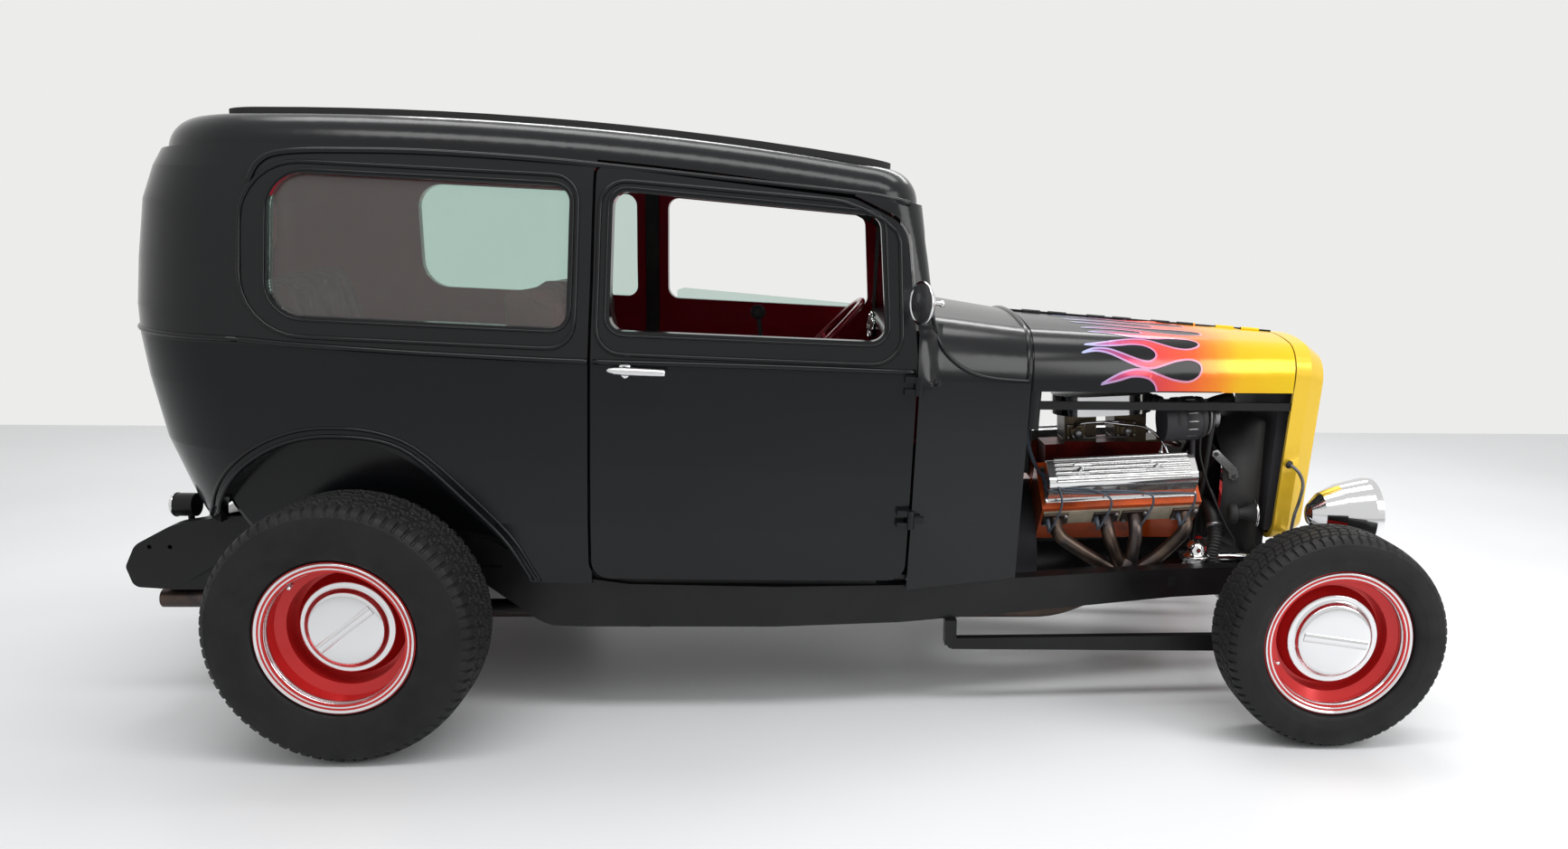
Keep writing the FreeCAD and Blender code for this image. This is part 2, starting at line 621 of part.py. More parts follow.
def make_roof():
    """The steel roof with its rounded edge, and the raised fabric insert in it."""
    last = len(LEVEL_SHARES) - 1
    span = 2 * d.roof_seam_drop + d.roof_edge_radius
    base = V(0, 0, d.wall_top - span)
    blank = prism("roof_column", "XY", level_outline(last), base, 2 * span)
    crowned = common("roof_crowned", blank, crown_band("under_crown", 0, -2 * span))
    doc.recompute()
    limit = roof_height(d.pillar_reach) - 2 * d.running_gap
    rims = [(index + 1, d.roof_edge_radius, d.roof_edge_radius)
            for index, edge in enumerate(crowned.Shape.Edges) if edge.BoundBox.ZMin > limit - d.skin_wall]
    rounded = made("Part::Fillet", "roof_rounded", Base=crowned, Edges=rims)
    hollow = common("roof_hollow", prism("roof_inner_column", "XY", level_outline(last, d.skin_wall),
                                         base - V(0, 0, d.overrun), 2 * span),
                    crown_band("under_lining", -d.skin_wall, -3 * span))
    above_seam = crown_band("above_seam", 2 * span, -d.roof_seam_drop)
    hole = prism("insert_hole", "XY", insert_outline(0), V(0, 0, d.wall_top - span), 3 * span)
    panel = common("roof_above_seam", cut("roof_shell", rounded, hollow), above_seam)
    node("roof_panel", cut("roof_cut", panel, hole), body_place)
    column = prism("insert_column", "XY", insert_outline(0), V(0, 0, d.wall_top - span), 3 * span)
    slab = common("insert_slab", column, crown_band("insert_band", d.insert_rise,
                                                   d.insert_rise - d.insert_thickness))
    rim_ring = cut("insert_rim_ring",
                   prism("insert_rim_column", "XY", insert_outline(0), V(0, 0, d.wall_top - span), 3 * span),
                   prism("insert_field", "XY", insert_outline(-d.insert_rim), V(0, 0, d.wall_top - span),
                         4 * span))
    rim = common("insert_rim", rim_ring, crown_band("rim_band", d.insert_rise + d.insert_rim_rise,
                                                   d.insert_rise - d.insert_thickness))
    node("roof_insert", fuse("insert_whole", slab, rim), body_place)


def crown_radius(width, rise):
    """Radius that rounds a low gable into a crown over most of its width."""
    edge = math.hypot(width, rise)
    return CROWN_SHARE * edge * width / rise


def crown_top(width, shoulder, crown):
    """Height of the top of that crown, below the corner that it rounds."""
    rise = crown - shoulder
    edge = math.hypot(width, rise)
    return crown - crown_radius(width, rise) * (edge / width - 1)


def arch_section(name, x, feet, width, shoulder, shoulder_radius, crown, inset=0):
    """One section across the cowl or hood: sides, rounded shoulders and a crowned top.

    The feet are (half width, height) corners from the bottom edge up."""
    top_width, low_shoulder, low_crown = width - inset, shoulder - inset, crown - inset
    right = [(half - inset, height) for half, height in feet]
    left = [(inset - half, height) for half, height in reversed(feet)]
    curve = shoulder_radius - inset / 2
    corners = right + [(top_width, low_shoulder, curve),
                       (0, low_crown, crown_radius(top_width, low_crown - low_shoulder)),
                       (-top_width, low_shoulder, curve)] + left
    return sketch(name, "YZ", outline(corners), V(x, 0, 0))


def cowl_sections(name, inset, low):
    waist = d.cowl_waist_height
    rear_feet = [(d.cowl_foot_half_width, d.cowl_bottom_rear - low), (d.cowl_waist_half_width, waist)]
    front_feet = [(d.firewall_foot_half_width, d.cowl_bottom_front - low),
                  ((d.firewall_half_width + d.firewall_foot_half_width) / 2, waist)]
    return [arch_section(name + "_rear", d.cowl_rear, rear_feet, d.cowl_rear_half_width,
                         d.cowl_shoulder_height, d.cowl_shoulder_radius, d.cowl_top_height, inset),
            arch_section(name + "_front", d.cowl_front, front_feet, d.firewall_half_width,
                         d.hood_shoulder_height, d.hood_shoulder_radius, d.hood_crown_height, inset)]


def make_cowl(lower, screen, frame_in_body):
    """Cowl sides and top with the windscreen pillars, and the firewall that closes it."""
    outer = loft("cowl_outer", cowl_sections("cowl_outer", 0, 0))
    inner = loft("cowl_inner", cowl_sections("cowl_inner", d.cowl_wall, d.overrun))
    far = 3 * d.body_half_width
    pillar_zone = block("pillar_zone", V(d.door_rear, -far, d.cowl_shoulder_height - d.cowl_wall),
                        V(far, far, far))
    front_walls = common("front_walls", lower, pillar_zone)
    openings = [side_cutter("pillar_trim_" + name, door_outline(d.door_gap), side)
                for name, side in SIDES]
    rear_of_door = block("pillar_rear", V(-far, -far, 0), V(d.door_shoulder, far, far))
    pillars = cut("pillars", front_walls, screen, rear_of_door, *openings)
    sixth = d.hinge_height / 6 - d.running_gap
    hinge = hinge_pieces("cowl", ((-sixth, sixth),), d.cowl_rear + d.hinge_leaf)
    hinge_set = fuse("hinge_set", *hinge, *hinge_rods("hinge_pin", "hinge_pin_radius"))
    skin = cut("cowl_skin", outer, inner, frame_in_body)
    whole = fuse("cowl_whole", skin, pillars, hinge_set, mirrored("hinge_set_left", hinge_set))
    node("cowl", group("cowl_group", whole), body_place)
    feet = [(d.firewall_foot_half_width, d.cowl_bottom_front)]
    back = d.cowl_front - d.firewall_wall - d.shut_gap
    plate = loft("firewall_loft", [
        arch_section("firewall_%d" % index, x, feet, d.firewall_half_width, d.hood_shoulder_height,
                     d.hood_shoulder_radius, d.hood_crown_height, d.cowl_wall - d.running_gap)
        for index, x in enumerate((back, back + d.firewall_wall))])
    notch = block("firewall_notch", V(0, -d.tunnel_half_width, 0),
                  V(2 * d.cowl_front, d.tunnel_half_width, d.tunnel_height))
    node("firewall", cut("firewall_cut", plate, notch, frame_in_body), body_place)
    return whole


def hood_sections(name, inset):
    rear = d.cowl_front + d.shut_gap
    return [arch_section(name + "_rear", rear, [(d.firewall_half_width, d.hood_edge - inset)],
                         d.firewall_half_width, d.hood_shoulder_height, d.hood_shoulder_radius,
                         d.hood_crown_height, inset),
            arch_section(name + "_front", d.hood_front, [(d.nose_half_width, d.hood_edge - inset)],
                         d.nose_half_width, d.nose_shoulder_height, d.nose_shoulder_radius,
                         d.nose_crown_height, inset)]


def hood_hinge_line():
    """Ends of the centre hinge, just above the hood at its rear and its front."""
    rear = crown_top(d.firewall_half_width, d.hood_shoulder_height, d.hood_crown_height)
    front = crown_top(d.nose_half_width, d.nose_shoulder_height, d.nose_crown_height)
    return (V(d.cowl_front + d.shut_gap, 0, rear + d.hood_hinge_lift),
            V(d.hood_front, 0, front + d.hood_hinge_lift))


def make_hood():
    """Two hood halves that hinge on one pin along the middle, and the rails below them."""
    outer = loft("hood_outer", hood_sections("hood_outer", 0))
    inner = loft("hood_inner", hood_sections("hood_inner", d.hood_wall))
    far = 3 * d.body_half_width
    rear, front = hood_hinge_line()
    along = front - rear
    unit = V(along).normalize()
    slope = FreeCAD.Rotation(V(1, 0, 0), unit)
    skin = common("hood_half", cut("hood_skin", outer, inner),
                  block("hood_zone", V(0, -far, 0), V(far * 2, -d.hood_hinge_reach, far)))
    halves = {"right": skin, "left": mirrored("hood_half_left", skin)}
    for name, side in SIDES:
        knuckles = []
        for index in range(HOOD_KNUCKLES):
            share = (index + 0.5 + side * 0.2) / HOOD_KNUCKLES
            at = rear + along * share - unit * (d.hood_knuckle_length / 2)
            knuckles.append(disc("hood_knuckle_%d_%s" % (index, name), at, unit,
                                 "hood_knuckle_radius", "hood_knuckle_length"))
            low_y, high_y = sorted((0, side * d.hood_leaf_width))
            leaf = block("hood_leaf_%d_%s" % (index, name), V(0, low_y, -d.hood_knuckle_radius),
                         V(d.hood_knuckle_length, high_y, 0))
            leaf.Placement = FreeCAD.Placement(at, slope).multiply(leaf.Placement)
            knuckles.append(leaf)
        bore = disc("hood_bore_" + name, rear - unit * d.overrun, unit,
                    d.hood_pin_radius + d.pin_gap, along.Length + 2 * d.overrun)
        whole = fuse("hood_joined_" + name, halves[name], *knuckles)
        node("hood_" + name, cut("hood_cut_" + name, whole, bore), body_place)
    reach = d.shut_gap - d.running_gap
    pin = disc("hood_pin", rear - unit * reach, unit, "hood_pin_radius", along.Length + 2 * reach)
    rails = [pin]
    for name, side in SIDES:
        height = d.hood_edge - d.hood_rail_drop
        corners = [(d.cowl_front, side * d.firewall_half_width - side * d.cowl_wall),
                   (d.shell_rear, side * d.nose_half_width - side * d.shell_wall)]
        shift = -side * d.hood_rail_width
        plan = outline([corners[0], corners[1], (corners[1][0], corners[1][1] + shift),
                        (corners[0][0], corners[0][1] + shift)])
        rails.append(prism("hood_rail_" + name, "XY", plan, V(0, 0, height), "hood_rail_height"))
    node("hood_rails", group("hood_rail_set", *rails), body_place)


def shell_section(name, x, inset):
    """One section across the grille shell, which narrows towards its foot."""
    foot, width = d.shell_foot_half_width - inset, d.nose_half_width - inset
    low_shoulder, low_crown = d.nose_shoulder_height - inset, d.nose_crown_height - inset
    curve = d.nose_shoulder_radius - inset / 2
    corners = [(-foot, d.shell_bottom + inset, d.shell_corner - inset / 2),
               (foot, d.shell_bottom + inset, d.shell_corner - inset / 2),
               (width, low_shoulder, curve),
               (0, low_crown, crown_radius(width, low_crown - low_shoulder)),
               (-width, low_shoulder, curve)]
    return sketch(name, "YZ", outline(corners), V(x, 0, 0))


def make_grille():
    """The grille shell, hollow behind, and the grille of upright bars in its mouth."""
    places = ((d.shell_rear, 0), (d.shell_bulge_place, 0),
              (d.shell_front, d.shell_nose_inset))
    outer = loft("shell_outer", [shell_section("shell_outer_%d" % index, x, inset)
                                 for index, (x, inset) in enumerate(places)])
    inner_places = ((d.shell_rear - d.overrun, d.shell_wall), (d.shell_bulge_place, d.shell_wall),
                    (d.shell_front - d.shell_wall, d.shell_nose_inset + d.shell_wall))
    inner = loft("shell_inner", [shell_section("shell_inner_%d" % index, x, inset)
                                 for index, (x, inset) in enumerate(inner_places)])
    mouth_inset = d.shell_nose_inset + d.shell_frame_width
    mouth = loft("shell_mouth", [shell_section("shell_mouth_%d" % index, x, mouth_inset)
                                 for index, x in enumerate((d.shell_bulge_place, d.shell_front + d.overrun))])
    node("grille_shell", cut("shell_cut", outer, inner, mouth), body_place)
    back = d.shell_front - d.shell_wall - d.grille_depth - d.running_gap
    band_inset = mouth_inset - d.grille_band
    frame_outer = loft("grille_frame_outer", [shell_section("grille_outer_%d" % index, x, band_inset)
                                              for index, x in enumerate((back, back + d.grille_depth))])
    frame_hole = loft("grille_frame_hole",
                      [shell_section("grille_hole_%d" % index, x, mouth_inset + d.grille_band)
                       for index, x in enumerate((back - d.overrun, back + d.grille_depth + d.overrun))])
    bars = []
    count = int(d.grille_bars)
    reach = d.nose_half_width - mouth_inset
    for index in range(count):
        share = (index + 1) / (count + 1) * 2 - 1
        y = share * reach
        middle = index == count // 2
        half = (d.grille_centre_bar if middle else d.grille_bar_width) / 2
        nose = d.grille_depth - d.grille_vee * abs(share) / 2
        front = back + max(nose, d.grille_bar_width)
        bars.append(block("grille_bar_%d" % index, V(back, y - half, d.shell_bottom),
                          V(front, y + half, d.nose_crown_height)))
    bar_set = common("grille_bars_trimmed", fuse("grille_bar_set", *bars), frame_outer)
    ring = cut("grille_ring", frame_outer, frame_hole)
    node("grille_insert", fuse("grille_whole", ring, bar_set), body_place)


def rail_side_outline():
    """Side view of a frame rail, from the front horn to the rear horn."""
    front = d.wheelbase + d.front_horn_reach
    tip = d.rear_overhang
    rows = RAIL_TOP_SHARES + tuple(reversed(RAIL_BOTTOM_SHARES))
    corners = []
    for x_share, z_share, radius_share in rows:
        span = front if x_share >= 0 else tip
        corners.append((x_share * span, z_share * d.rear_axle_height, radius_share * d.wheelbase))
    return outline(corners)


# Side view of the rail: place as a share of the front or rear reach, height as a share of
# the rear wheel's radius, and corner radius as a share of the wheelbase.
RAIL_TOP_SHARES = (
    (0.999, 1.00, 0.004), (0.90, 1.087, 0.10), (0.60, 1.087, 0.30), (0.24, 1.153, 0.06),
    (0.174, 1.228, 0.05), (0.11, 1.48, 0.06), (0.03, 1.64, 0.06), (-0.58, 1.62, 0.05),
    (-0.80, 1.55, 0.05), (-0.955, 1.39, 0.02), (-0.999, 1.22, 0.008),
)
RAIL_BOTTOM_SHARES = (
    (0.985, 0.90, 0.004), (0.90, 0.87, 0.08), (0.62, 0.80, 0.30), (0.16, 0.82, 0.04),
    (0.07, 1.32, 0.04), (0.0, 1.42, 0.03), (-0.41, 1.42, 0.03), (-0.62, 1.27, 0.02),
    (-0.82, 1.04, 0.015), (-0.975, 1.06, 0.010),
)
# Plan of the rail's outer face: place as above, offset as a share of the body's half width.
RAIL_PLAN_SHARES = ((1.02, 0.515), (0.90, 0.52), (0.79, 0.555), (0.62, 0.70), (0.50, 0.84),
                    (0.38, 0.905), (0.20, 0.915), (0.07, 0.88), (-0.05, 0.80), (-1.02, 0.80))


def rail_offset(x):
    """Offset of the rail's outer face from the middle at a place along the frame."""
    front = d.wheelbase + d.front_horn_reach
    rows = [(share * (front if share >= 0 else d.rear_overhang), width * d.body_half_width)
            for share, width in RAIL_PLAN_SHARES]
    for (x1, y1), (x2, y2) in zip(rows, rows[1:]):
        if x2 <= x <= x1:
            return y2 + (y1 - y2) * (x - x2) / (x1 - x2)
    return rows[-1][1]


def make_frame():
    """Two boxed rails that kick up over the rear axle, and what ties them together."""
    front = d.wheelbase + d.front_horn_reach
    rows = [(share * (front if share >= 0 else d.rear_overhang), width * d.body_half_width)
            for share, width in RAIL_PLAN_SHARES]
    bend = d.rail_thickness * 3
    rails = []
    for name, side in SIDES:
        outer = [(x, side * y) for x, y in rows]
        inner = [(x, side * (y - d.rail_thickness)) for x, y in reversed(rows)]
        soft = [corner + (bend,) if 0 < index < len(rows) - 1 else corner
                for index, corner in enumerate(outer)]
        soft += [corner + (bend,) if 0 < index < len(rows) - 1 else corner
                 for index, corner in enumerate(inner)]
        plan = prism("rail_plan_" + name, "XY", outline(soft), V(0, 0, 0), 3 * d.rear_axle_height)
        view = prism("rail_view_" + name, "XZ", rail_side_outline(), V(0, 0, 0),
                     3 * d.body_half_width, both=True)
        holes = []
        for place, height in ((d.horn_hole_place, d.horn_hole_height),
                              (d.front_hole_place, d.front_hole_height)):
            for step in (-1, 1):
                at = V(place + step * d.horn_hole_spacing / 2, 0, height)
                holes.append(disc("rail_hole_%s_%d_%d" % (name, place, step), at, V(0, side, 0),
                                  "horn_hole_radius", 2 * d.body_half_width))
        rails.append(cut("rail_cut_" + name, common("rail_" + name, plan, view), *holes))
    pair = group("frame_rail_pair", *rails)
    in_body = group("frame_in_body", *rails)
    in_body.Placement = body_place.inverse().multiply(chassis_place)
    node("frame_rails", pair, chassis_place)
    axle_x = d.wheelbase
    inner = rail_offset(axle_x) - d.rail_thickness
    top = d.rear_axle_height * RAIL_TOP_SHARES[1][1]
    front_cross = block("front_cross", V(axle_x - d.front_cross_width / 2, -inner, top - d.front_cross_height),
                        V(axle_x + d.front_cross_width / 2, inner, top))
    mount_inner = rail_offset(d.gearbox_mount_place) - d.rail_thickness
    mount_top = d.rear_axle_height * RAIL_BOTTOM_SHARES[3][1] + d.gearbox_mount_height
    mount_block = block("gearbox_cross",
                  V(d.gearbox_mount_place - d.gearbox_mount_width / 2, -mount_inner,
                    mount_top - d.gearbox_mount_height),
                  V(d.gearbox_mount_place + d.gearbox_mount_width / 2, mount_inner, mount_top))
    lean = math.radians(d.engine_tilt)
    saddle = disc("gearbox_saddle", V(d.engine_rear, 0, d.crank_height),
                  V(-math.cos(lean), 0, -math.sin(lean)), d.tail_radius + d.running_gap, d.engine_rear)
    mount = cut("gearbox_cross_cut", mount_block, saddle)
    rear_inner = rail_offset(d.rear_cross_place) - d.rail_thickness
    rear_cross = disc("rear_cross", V(d.rear_cross_place, -rear_inner, d.rear_cross_height), V(0, 1, 0),
                      "cross_tube_radius", 2 * rear_inner)
    spread_x = d.wheelbase + d.front_horn_reach - 2 * d.horn_radius
    spread_inner = rail_offset(spread_x) - d.rail_thickness
    spreader = disc("front_spreader", V(spread_x, -spread_inner, d.front_hole_height), V(0, 1, 0),
                    "spreader_radius", 2 * spread_inner)
    ties = [front_cross, mount, rear_cross, spreader]
    for name, side in SIDES:
        low_y, high_y = sorted((side * (d.skirt_half_width + d.running_gap),
                                side * rail_offset(d.engine_mount_place)))
        ties.append(block("engine_mount_" + name,
                          V(d.engine_mount_place - d.rail_thickness / 2, low_y, d.engine_mount_bottom),
                          V(d.engine_mount_place + d.rail_thickness / 2, high_y,
                            d.engine_mount_bottom + d.gearbox_mount_drop)))
    both = group("rails_cutter", *rails)
    node("crossmembers", cut("crossmembers_cut", group("crossmember_set", *ties), both), chassis_place)
    return in_body, both


def make_front_axle():
    """Dropped beam axle, transverse leaf spring and the split radius rods."""
    x, height = d.wheelbase, d.front_axle_height
    ends = d.kingpin_offset - d.boss_radius / 2
    low, top = d.beam_height - d.beam_depth / 2, d.beam_height + d.beam_depth / 2
    bend = d.beam_depth
    half = d.beam_depth / 2
    flat = ends - d.beam_flat
    right = [(ends, height - half), (ends, height + half), (flat, height + half, bend / 2),
             (d.beam_drop_start, top, bend)]
    left = [(-d.beam_drop_start, top, bend), (-flat, height + half, bend / 2), (-ends, height + half),
            (-ends, height - half)]
    corners = [(-flat, height - half, bend / 2), (-d.beam_drop_start, low, bend),
               (d.beam_drop_start, low, bend), (flat, height - half, bend / 2)] + right + left
    pieces = [prism("axle_beam", "YZ", outline(corners), V(x - d.beam_width / 2, 0, 0), "beam_width")]
    for name, side in SIDES:
        centre = V(x, side * d.kingpin_offset, height)
        pieces.append(disc("axle_boss_" + name, centre - V(0, 0, d.boss_height / 2), V(0, 0, 1),
                           "boss_radius", "boss_height"))
        pieces.append(disc("kingpin_" + name, centre - V(0, 0, d.kingpin_length / 2), V(0, 0, 1),
                           "kingpin_radius", "kingpin_length"))
    node("front_axle", fuse("axle_whole", *pieces), chassis_place)
    half, thick = d.spring_half_span, d.spring_thickness
    eye = d.beam_height + d.beam_depth / 2 + d.running_gap + d.perch_radius + thick / 2
    rise = d.rear_axle_height * RAIL_TOP_SHARES[1][1] - d.front_cross_height - d.running_gap - eye
    edges = [Part.Arc(V(-half, eye, 0), V(0, eye + rise, 0), V(half, eye, 0)),
             Part.LineSegment(V(half, eye, 0), V(half, eye - thick / 2, 0)),
             Part.Arc(V(half, eye - thick / 2, 0), V(0, eye + rise - thick, 0), V(-half, eye - thick / 2, 0)),
             Part.LineSegment(V(-half, eye - thick / 2, 0), V(-half, eye, 0))]
    leaves = prism("spring_leaves", "YZ", edges, V(x - d.spring_width / 2, 0, 0), "spring_width")
    parts = [leaves]
    for name, side in SIDES:
        at = V(x - d.spring_width / 2, side * half, eye - thick / 2)
        parts.append(disc("spring_eye_" + name, at, V(1, 0, 0), "perch_radius", "spring_width"))
    node("front_spring", fuse("spring_whole", *parts), chassis_place)
    rods = []
    for name, side in SIDES:
        rods.append(radius_rod(name, side))
    node("radius_rods", group("radius_rod_pair", *rods), chassis_place)


def radius_rod(name, side):
    """A flattened rod from the axle to its bolt under the frame rail."""
    front = V(d.wheelbase - d.beam_width / 2 - d.shut_gap / 5, side * d.rod_front_offset, d.rod_height)
    rear = V(d.rod_rear_reach, side * d.rod_rear_offset, d.rod_rear_height)
    run = V(front.x - rear.x, front.y - rear.y, 0)
    angle = math.degrees(math.atan2(run.y, run.x))
    slope = front.z - rear.z
    half_front, half_rear = d.rod_depth_front / 2, d.rod_depth_rear / 2
    edges = outline([(0, -half_rear, half_rear / 2), (run.Length, slope - half_front),
                     (run.Length, slope + half_front), (0, half_rear, half_rear / 2)])
    flat = prism("rod_flat_" + name, "XZ", edges, V(0, 0, 0), "rod_width", both=True)
    turned_rod = made("Part::Compound", "rod_turned_" + name, Links=[flat])
    turned_rod.Placement = FreeCAD.Placement(rear, FreeCAD.Rotation(V(0, 0, 1), angle))
    bolt = disc("rod_bolt_" + name, rear - V(0, d.rod_width, 0), V(0, 1, 0), "rod_bolt_radius",
                2 * d.rod_width)
    rail_bottom = d.rear_axle_height * RAIL_BOTTOM_SHARES[2][1]
    hanger = block("rod_hanger_" + name, rear + V(-d.rod_depth_rear / 2, -d.rod_width, 0),
                   V(rear.x + d.rod_depth_rear / 2, rear.y + d.rod_width, rail_bottom - d.running_gap))
    return fuse("radius_rod_" + name, turned_rod, bolt, hanger)


def make_steering_links():
    """Knuckles with their spindles and arms, the tie rod, drag link, pitman arm and box."""
    x, height = d.wheelbase, d.front_axle_height
    for name, side in SIDES:
        centre = V(x, side * d.kingpin_offset, height)
        fork_gap = d.boss_height / 2 + d.running_gap
        pieces = []
        for end, start in (("upper", fork_gap), ("lower", -fork_gap - d.fork_thickness)):
            at = centre + V(0, 0, start)
            pieces.append(disc("fork_%s_%s" % (end, name), at, V(0, 0, 1), "fork_radius", "fork_thickness"))
            low_y, high_y = sorted((side * d.kingpin_offset,
                                    side * (d.kingpin_offset + d.fork_reach + d.fork_thickness)))
            pieces.append(block("fork_bridge_%s_%s" % (end, name), V(x - d.fork_radius, low_y, at.z),
                                V(x + d.fork_radius, high_y, at.z + d.fork_thickness)))
        low_y, high_y = sorted((side * (d.kingpin_offset + d.fork_reach - d.fork_thickness / 2),
                                side * (d.kingpin_offset + d.fork_reach + d.fork_thickness)))
        pieces.append(block("knuckle_web_" + name,
                            V(x - d.fork_radius, low_y, centre.z - fork_gap - d.fork_thickness),
                            V(x + d.fork_radius, high_y, centre.z + fork_gap + d.fork_thickness)))
        pieces.append(disc("spindle_" + name, centre + V(0, side * d.fork_reach, 0), V(0, side, 0),
                           "stub_radius", "spindle_reach"))
        arm_low = V(x - d.arm_length, 0, d.arm_height)
        low_y, high_y = sorted((side * (d.kingpin_offset - d.arm_width / 2),
                                side * (d.kingpin_offset + d.arm_width / 2)))
        pieces.append(block("steering_arm_" + name, V(arm_low.x, low_y, d.arm_height),
                            V(x, high_y, d.arm_height + d.arm_thickness)))
        pieces.append(disc("steering_arm_end_" + name,
                           V(arm_low.x, side * d.kingpin_offset, d.arm_height), V(0, 0, 1),
                           "link_eye_radius", "arm_thickness"))
        pieces.append(disc("tie_rod_pin_" + name,
                           V(arm_low.x, side * d.kingpin_offset,
                             d.arm_height - d.link_eye_height - d.running_gap),
                           V(0, 0, 1), "link_pin_radius", d.link_eye_height + 2 * d.running_gap))
        bore = disc("kingpin_bore_" + name, centre - V(0, 0, d.kingpin_length), V(0, 0, 1),
                    d.kingpin_radius + d.pin_gap, 2 * d.kingpin_length)
        node("knuckle_" + name, cut("knuckle_cut_" + name, fuse("knuckle_body_" + name, *pieces), bore),
             chassis_place)
    link_x = x - d.arm_length
    rod_z = d.arm_height - d.running_gap - d.link_eye_height
    rod = [disc("tie_rod_bar", V(link_x, -d.kingpin_offset, rod_z + d.link_eye_height / 2), V(0, 1, 0),
                "tie_rod_radius", 2 * d.kingpin_offset)]
    bores = []
    for name, side in SIDES:
        at = V(link_x, side * d.kingpin_offset, rod_z)
        rod.append(disc("tie_rod_eye_" + name, at, V(0, 0, 1), "link_eye_radius", "link_eye_height"))
        bores.append(disc("tie_rod_bore_" + name, at - V(0, 0, d.overrun), V(0, 0, 1),
                          d.link_pin_radius + d.pin_gap, d.link_eye_height + 2 * d.overrun))
    node("tie_rod", cut("tie_rod_cut", fuse("tie_rod_body", *rod), *bores), chassis_place)
    drag_z = d.arm_height + d.arm_thickness + 2 * d.running_gap
    pitman_end = V(link_x, d.pitman_offset, drag_z)
    drag = [bar("drag_link_bar", V(link_x, -d.kingpin_offset, drag_z + d.link_eye_height / 2),
                pitman_end + V(0, 0, d.link_eye_height / 2), d.tie_rod_radius),
            disc("drag_link_socket", V(link_x, -d.kingpin_offset, drag_z), V(0, 0, 1), "link_eye_radius",
                 "link_eye_height"),
            disc("drag_link_eye", pitman_end, V(0, 0, 1), "link_eye_radius", "link_eye_height")]
    drag_bore = disc("drag_link_bore", pitman_end - V(0, 0, d.overrun), V(0, 0, 1),
                     d.link_pin_radius + d.pin_gap, d.link_eye_height + 2 * d.overrun)
    node("drag_link", cut("drag_link_cut", fuse("drag_link_body", *drag), drag_bore), chassis_place)
    arm_z = drag_z + d.link_eye_height + d.running_gap
    shaft = V(link_x - d.arm_length, d.pitman_offset, arm_z)
    arm = [block("pitman_bar", V(shaft.x, shaft.y - d.arm_width / 2, arm_z),
                 V(link_x, shaft.y + d.arm_width / 2, arm_z + d.arm_thickness)),
           disc("pitman_eye", V(link_x, shaft.y, arm_z), V(0, 0, 1), "link_eye_radius", "arm_thickness"),
           disc("pitman_hub", shaft, V(0, 0, 1), "fork_radius", "arm_thickness"),
           disc("pitman_pin", pitman_end - V(0, 0, d.running_gap), V(0, 0, 1), "link_pin_radius",
                d.link_eye_height + 3 * d.running_gap),
           disc("pitman_shaft", shaft, V(0, 0, 1), "pitman_shaft_radius", 2 * d.arm_thickness)]
    node("pitman_arm", fuse("pitman_whole", *arm), chassis_place)
    box_z = arm_z + d.arm_thickness + d.running_gap
    box_blank = block("steering_box_blank", V(shaft.x - d.box_length / 2, shaft.y - d.box_width / 2, box_z),
                      V(shaft.x + d.box_length / 2, shaft.y + d.box_width / 2, box_z + d.box_height))
    box_bore = disc("steering_box_bore", shaft, V(0, 0, 1), d.pitman_shaft_radius + d.pin_gap,
                    2 * d.arm_thickness + d.running_gap)
    node("steering_box", cut("steering_box_cut", box_blank, box_bore), chassis_place)


# Tyre section from the bead to the middle of the tread, as shares of the half width and of
# the height above the rim's lip, outside and inside.
TYRE_SHARES = ((0.90, 0.06), (0.98, 0.28), (1.0, 0.46), (0.97, 0.66),
               (0.88, 0.85), (0.72, 0.95), (0.36, 0.99), (0.0, 1.0))
TYRE_HOLLOW_SHARES = ((0.90, 0.20), (1.0, 0.50), (0.88, 0.88), (0.4, 1.0), (0.0, 1.0))


def make_tyre(label, side, x, height, width, offset, rim_width):
    """A hollow tyre: beads inside the rim's lips, bulged sidewalls and a crowned tread."""
    half, lip, wall = width / 2, d.rim_flange_radius, d.tyre_wall
    radius = height - d.ground_height
    bead = rim_width / 2 - d.rim_wall - d.running_gap
    outer = [(bead, d.rim_seat_radius), (bead, lip)]
    outer += [(across * half, lip + up * (radius - lip)) for across, up in TYRE_SHARES]
    inner = [(bead - wall, d.rim_seat_radius)]
    inner += [(across * (half - wall), lip + up * (radius - lip - wall))
              for across, up in TYRE_HOLLOW_SHARES]
    ring = outer + [(-a, b) for a, b in reversed(outer[:-1])]
    hollow = inner + [(-a, b) for a, b in reversed(inner[:-1])]
    tyre = turned(label + "_ring", "YZ", outline(ring + list(reversed(hollow))),
                  V(x, side * offset, height), V(0, 1, 0))
    return node(label, tyre, chassis_place)


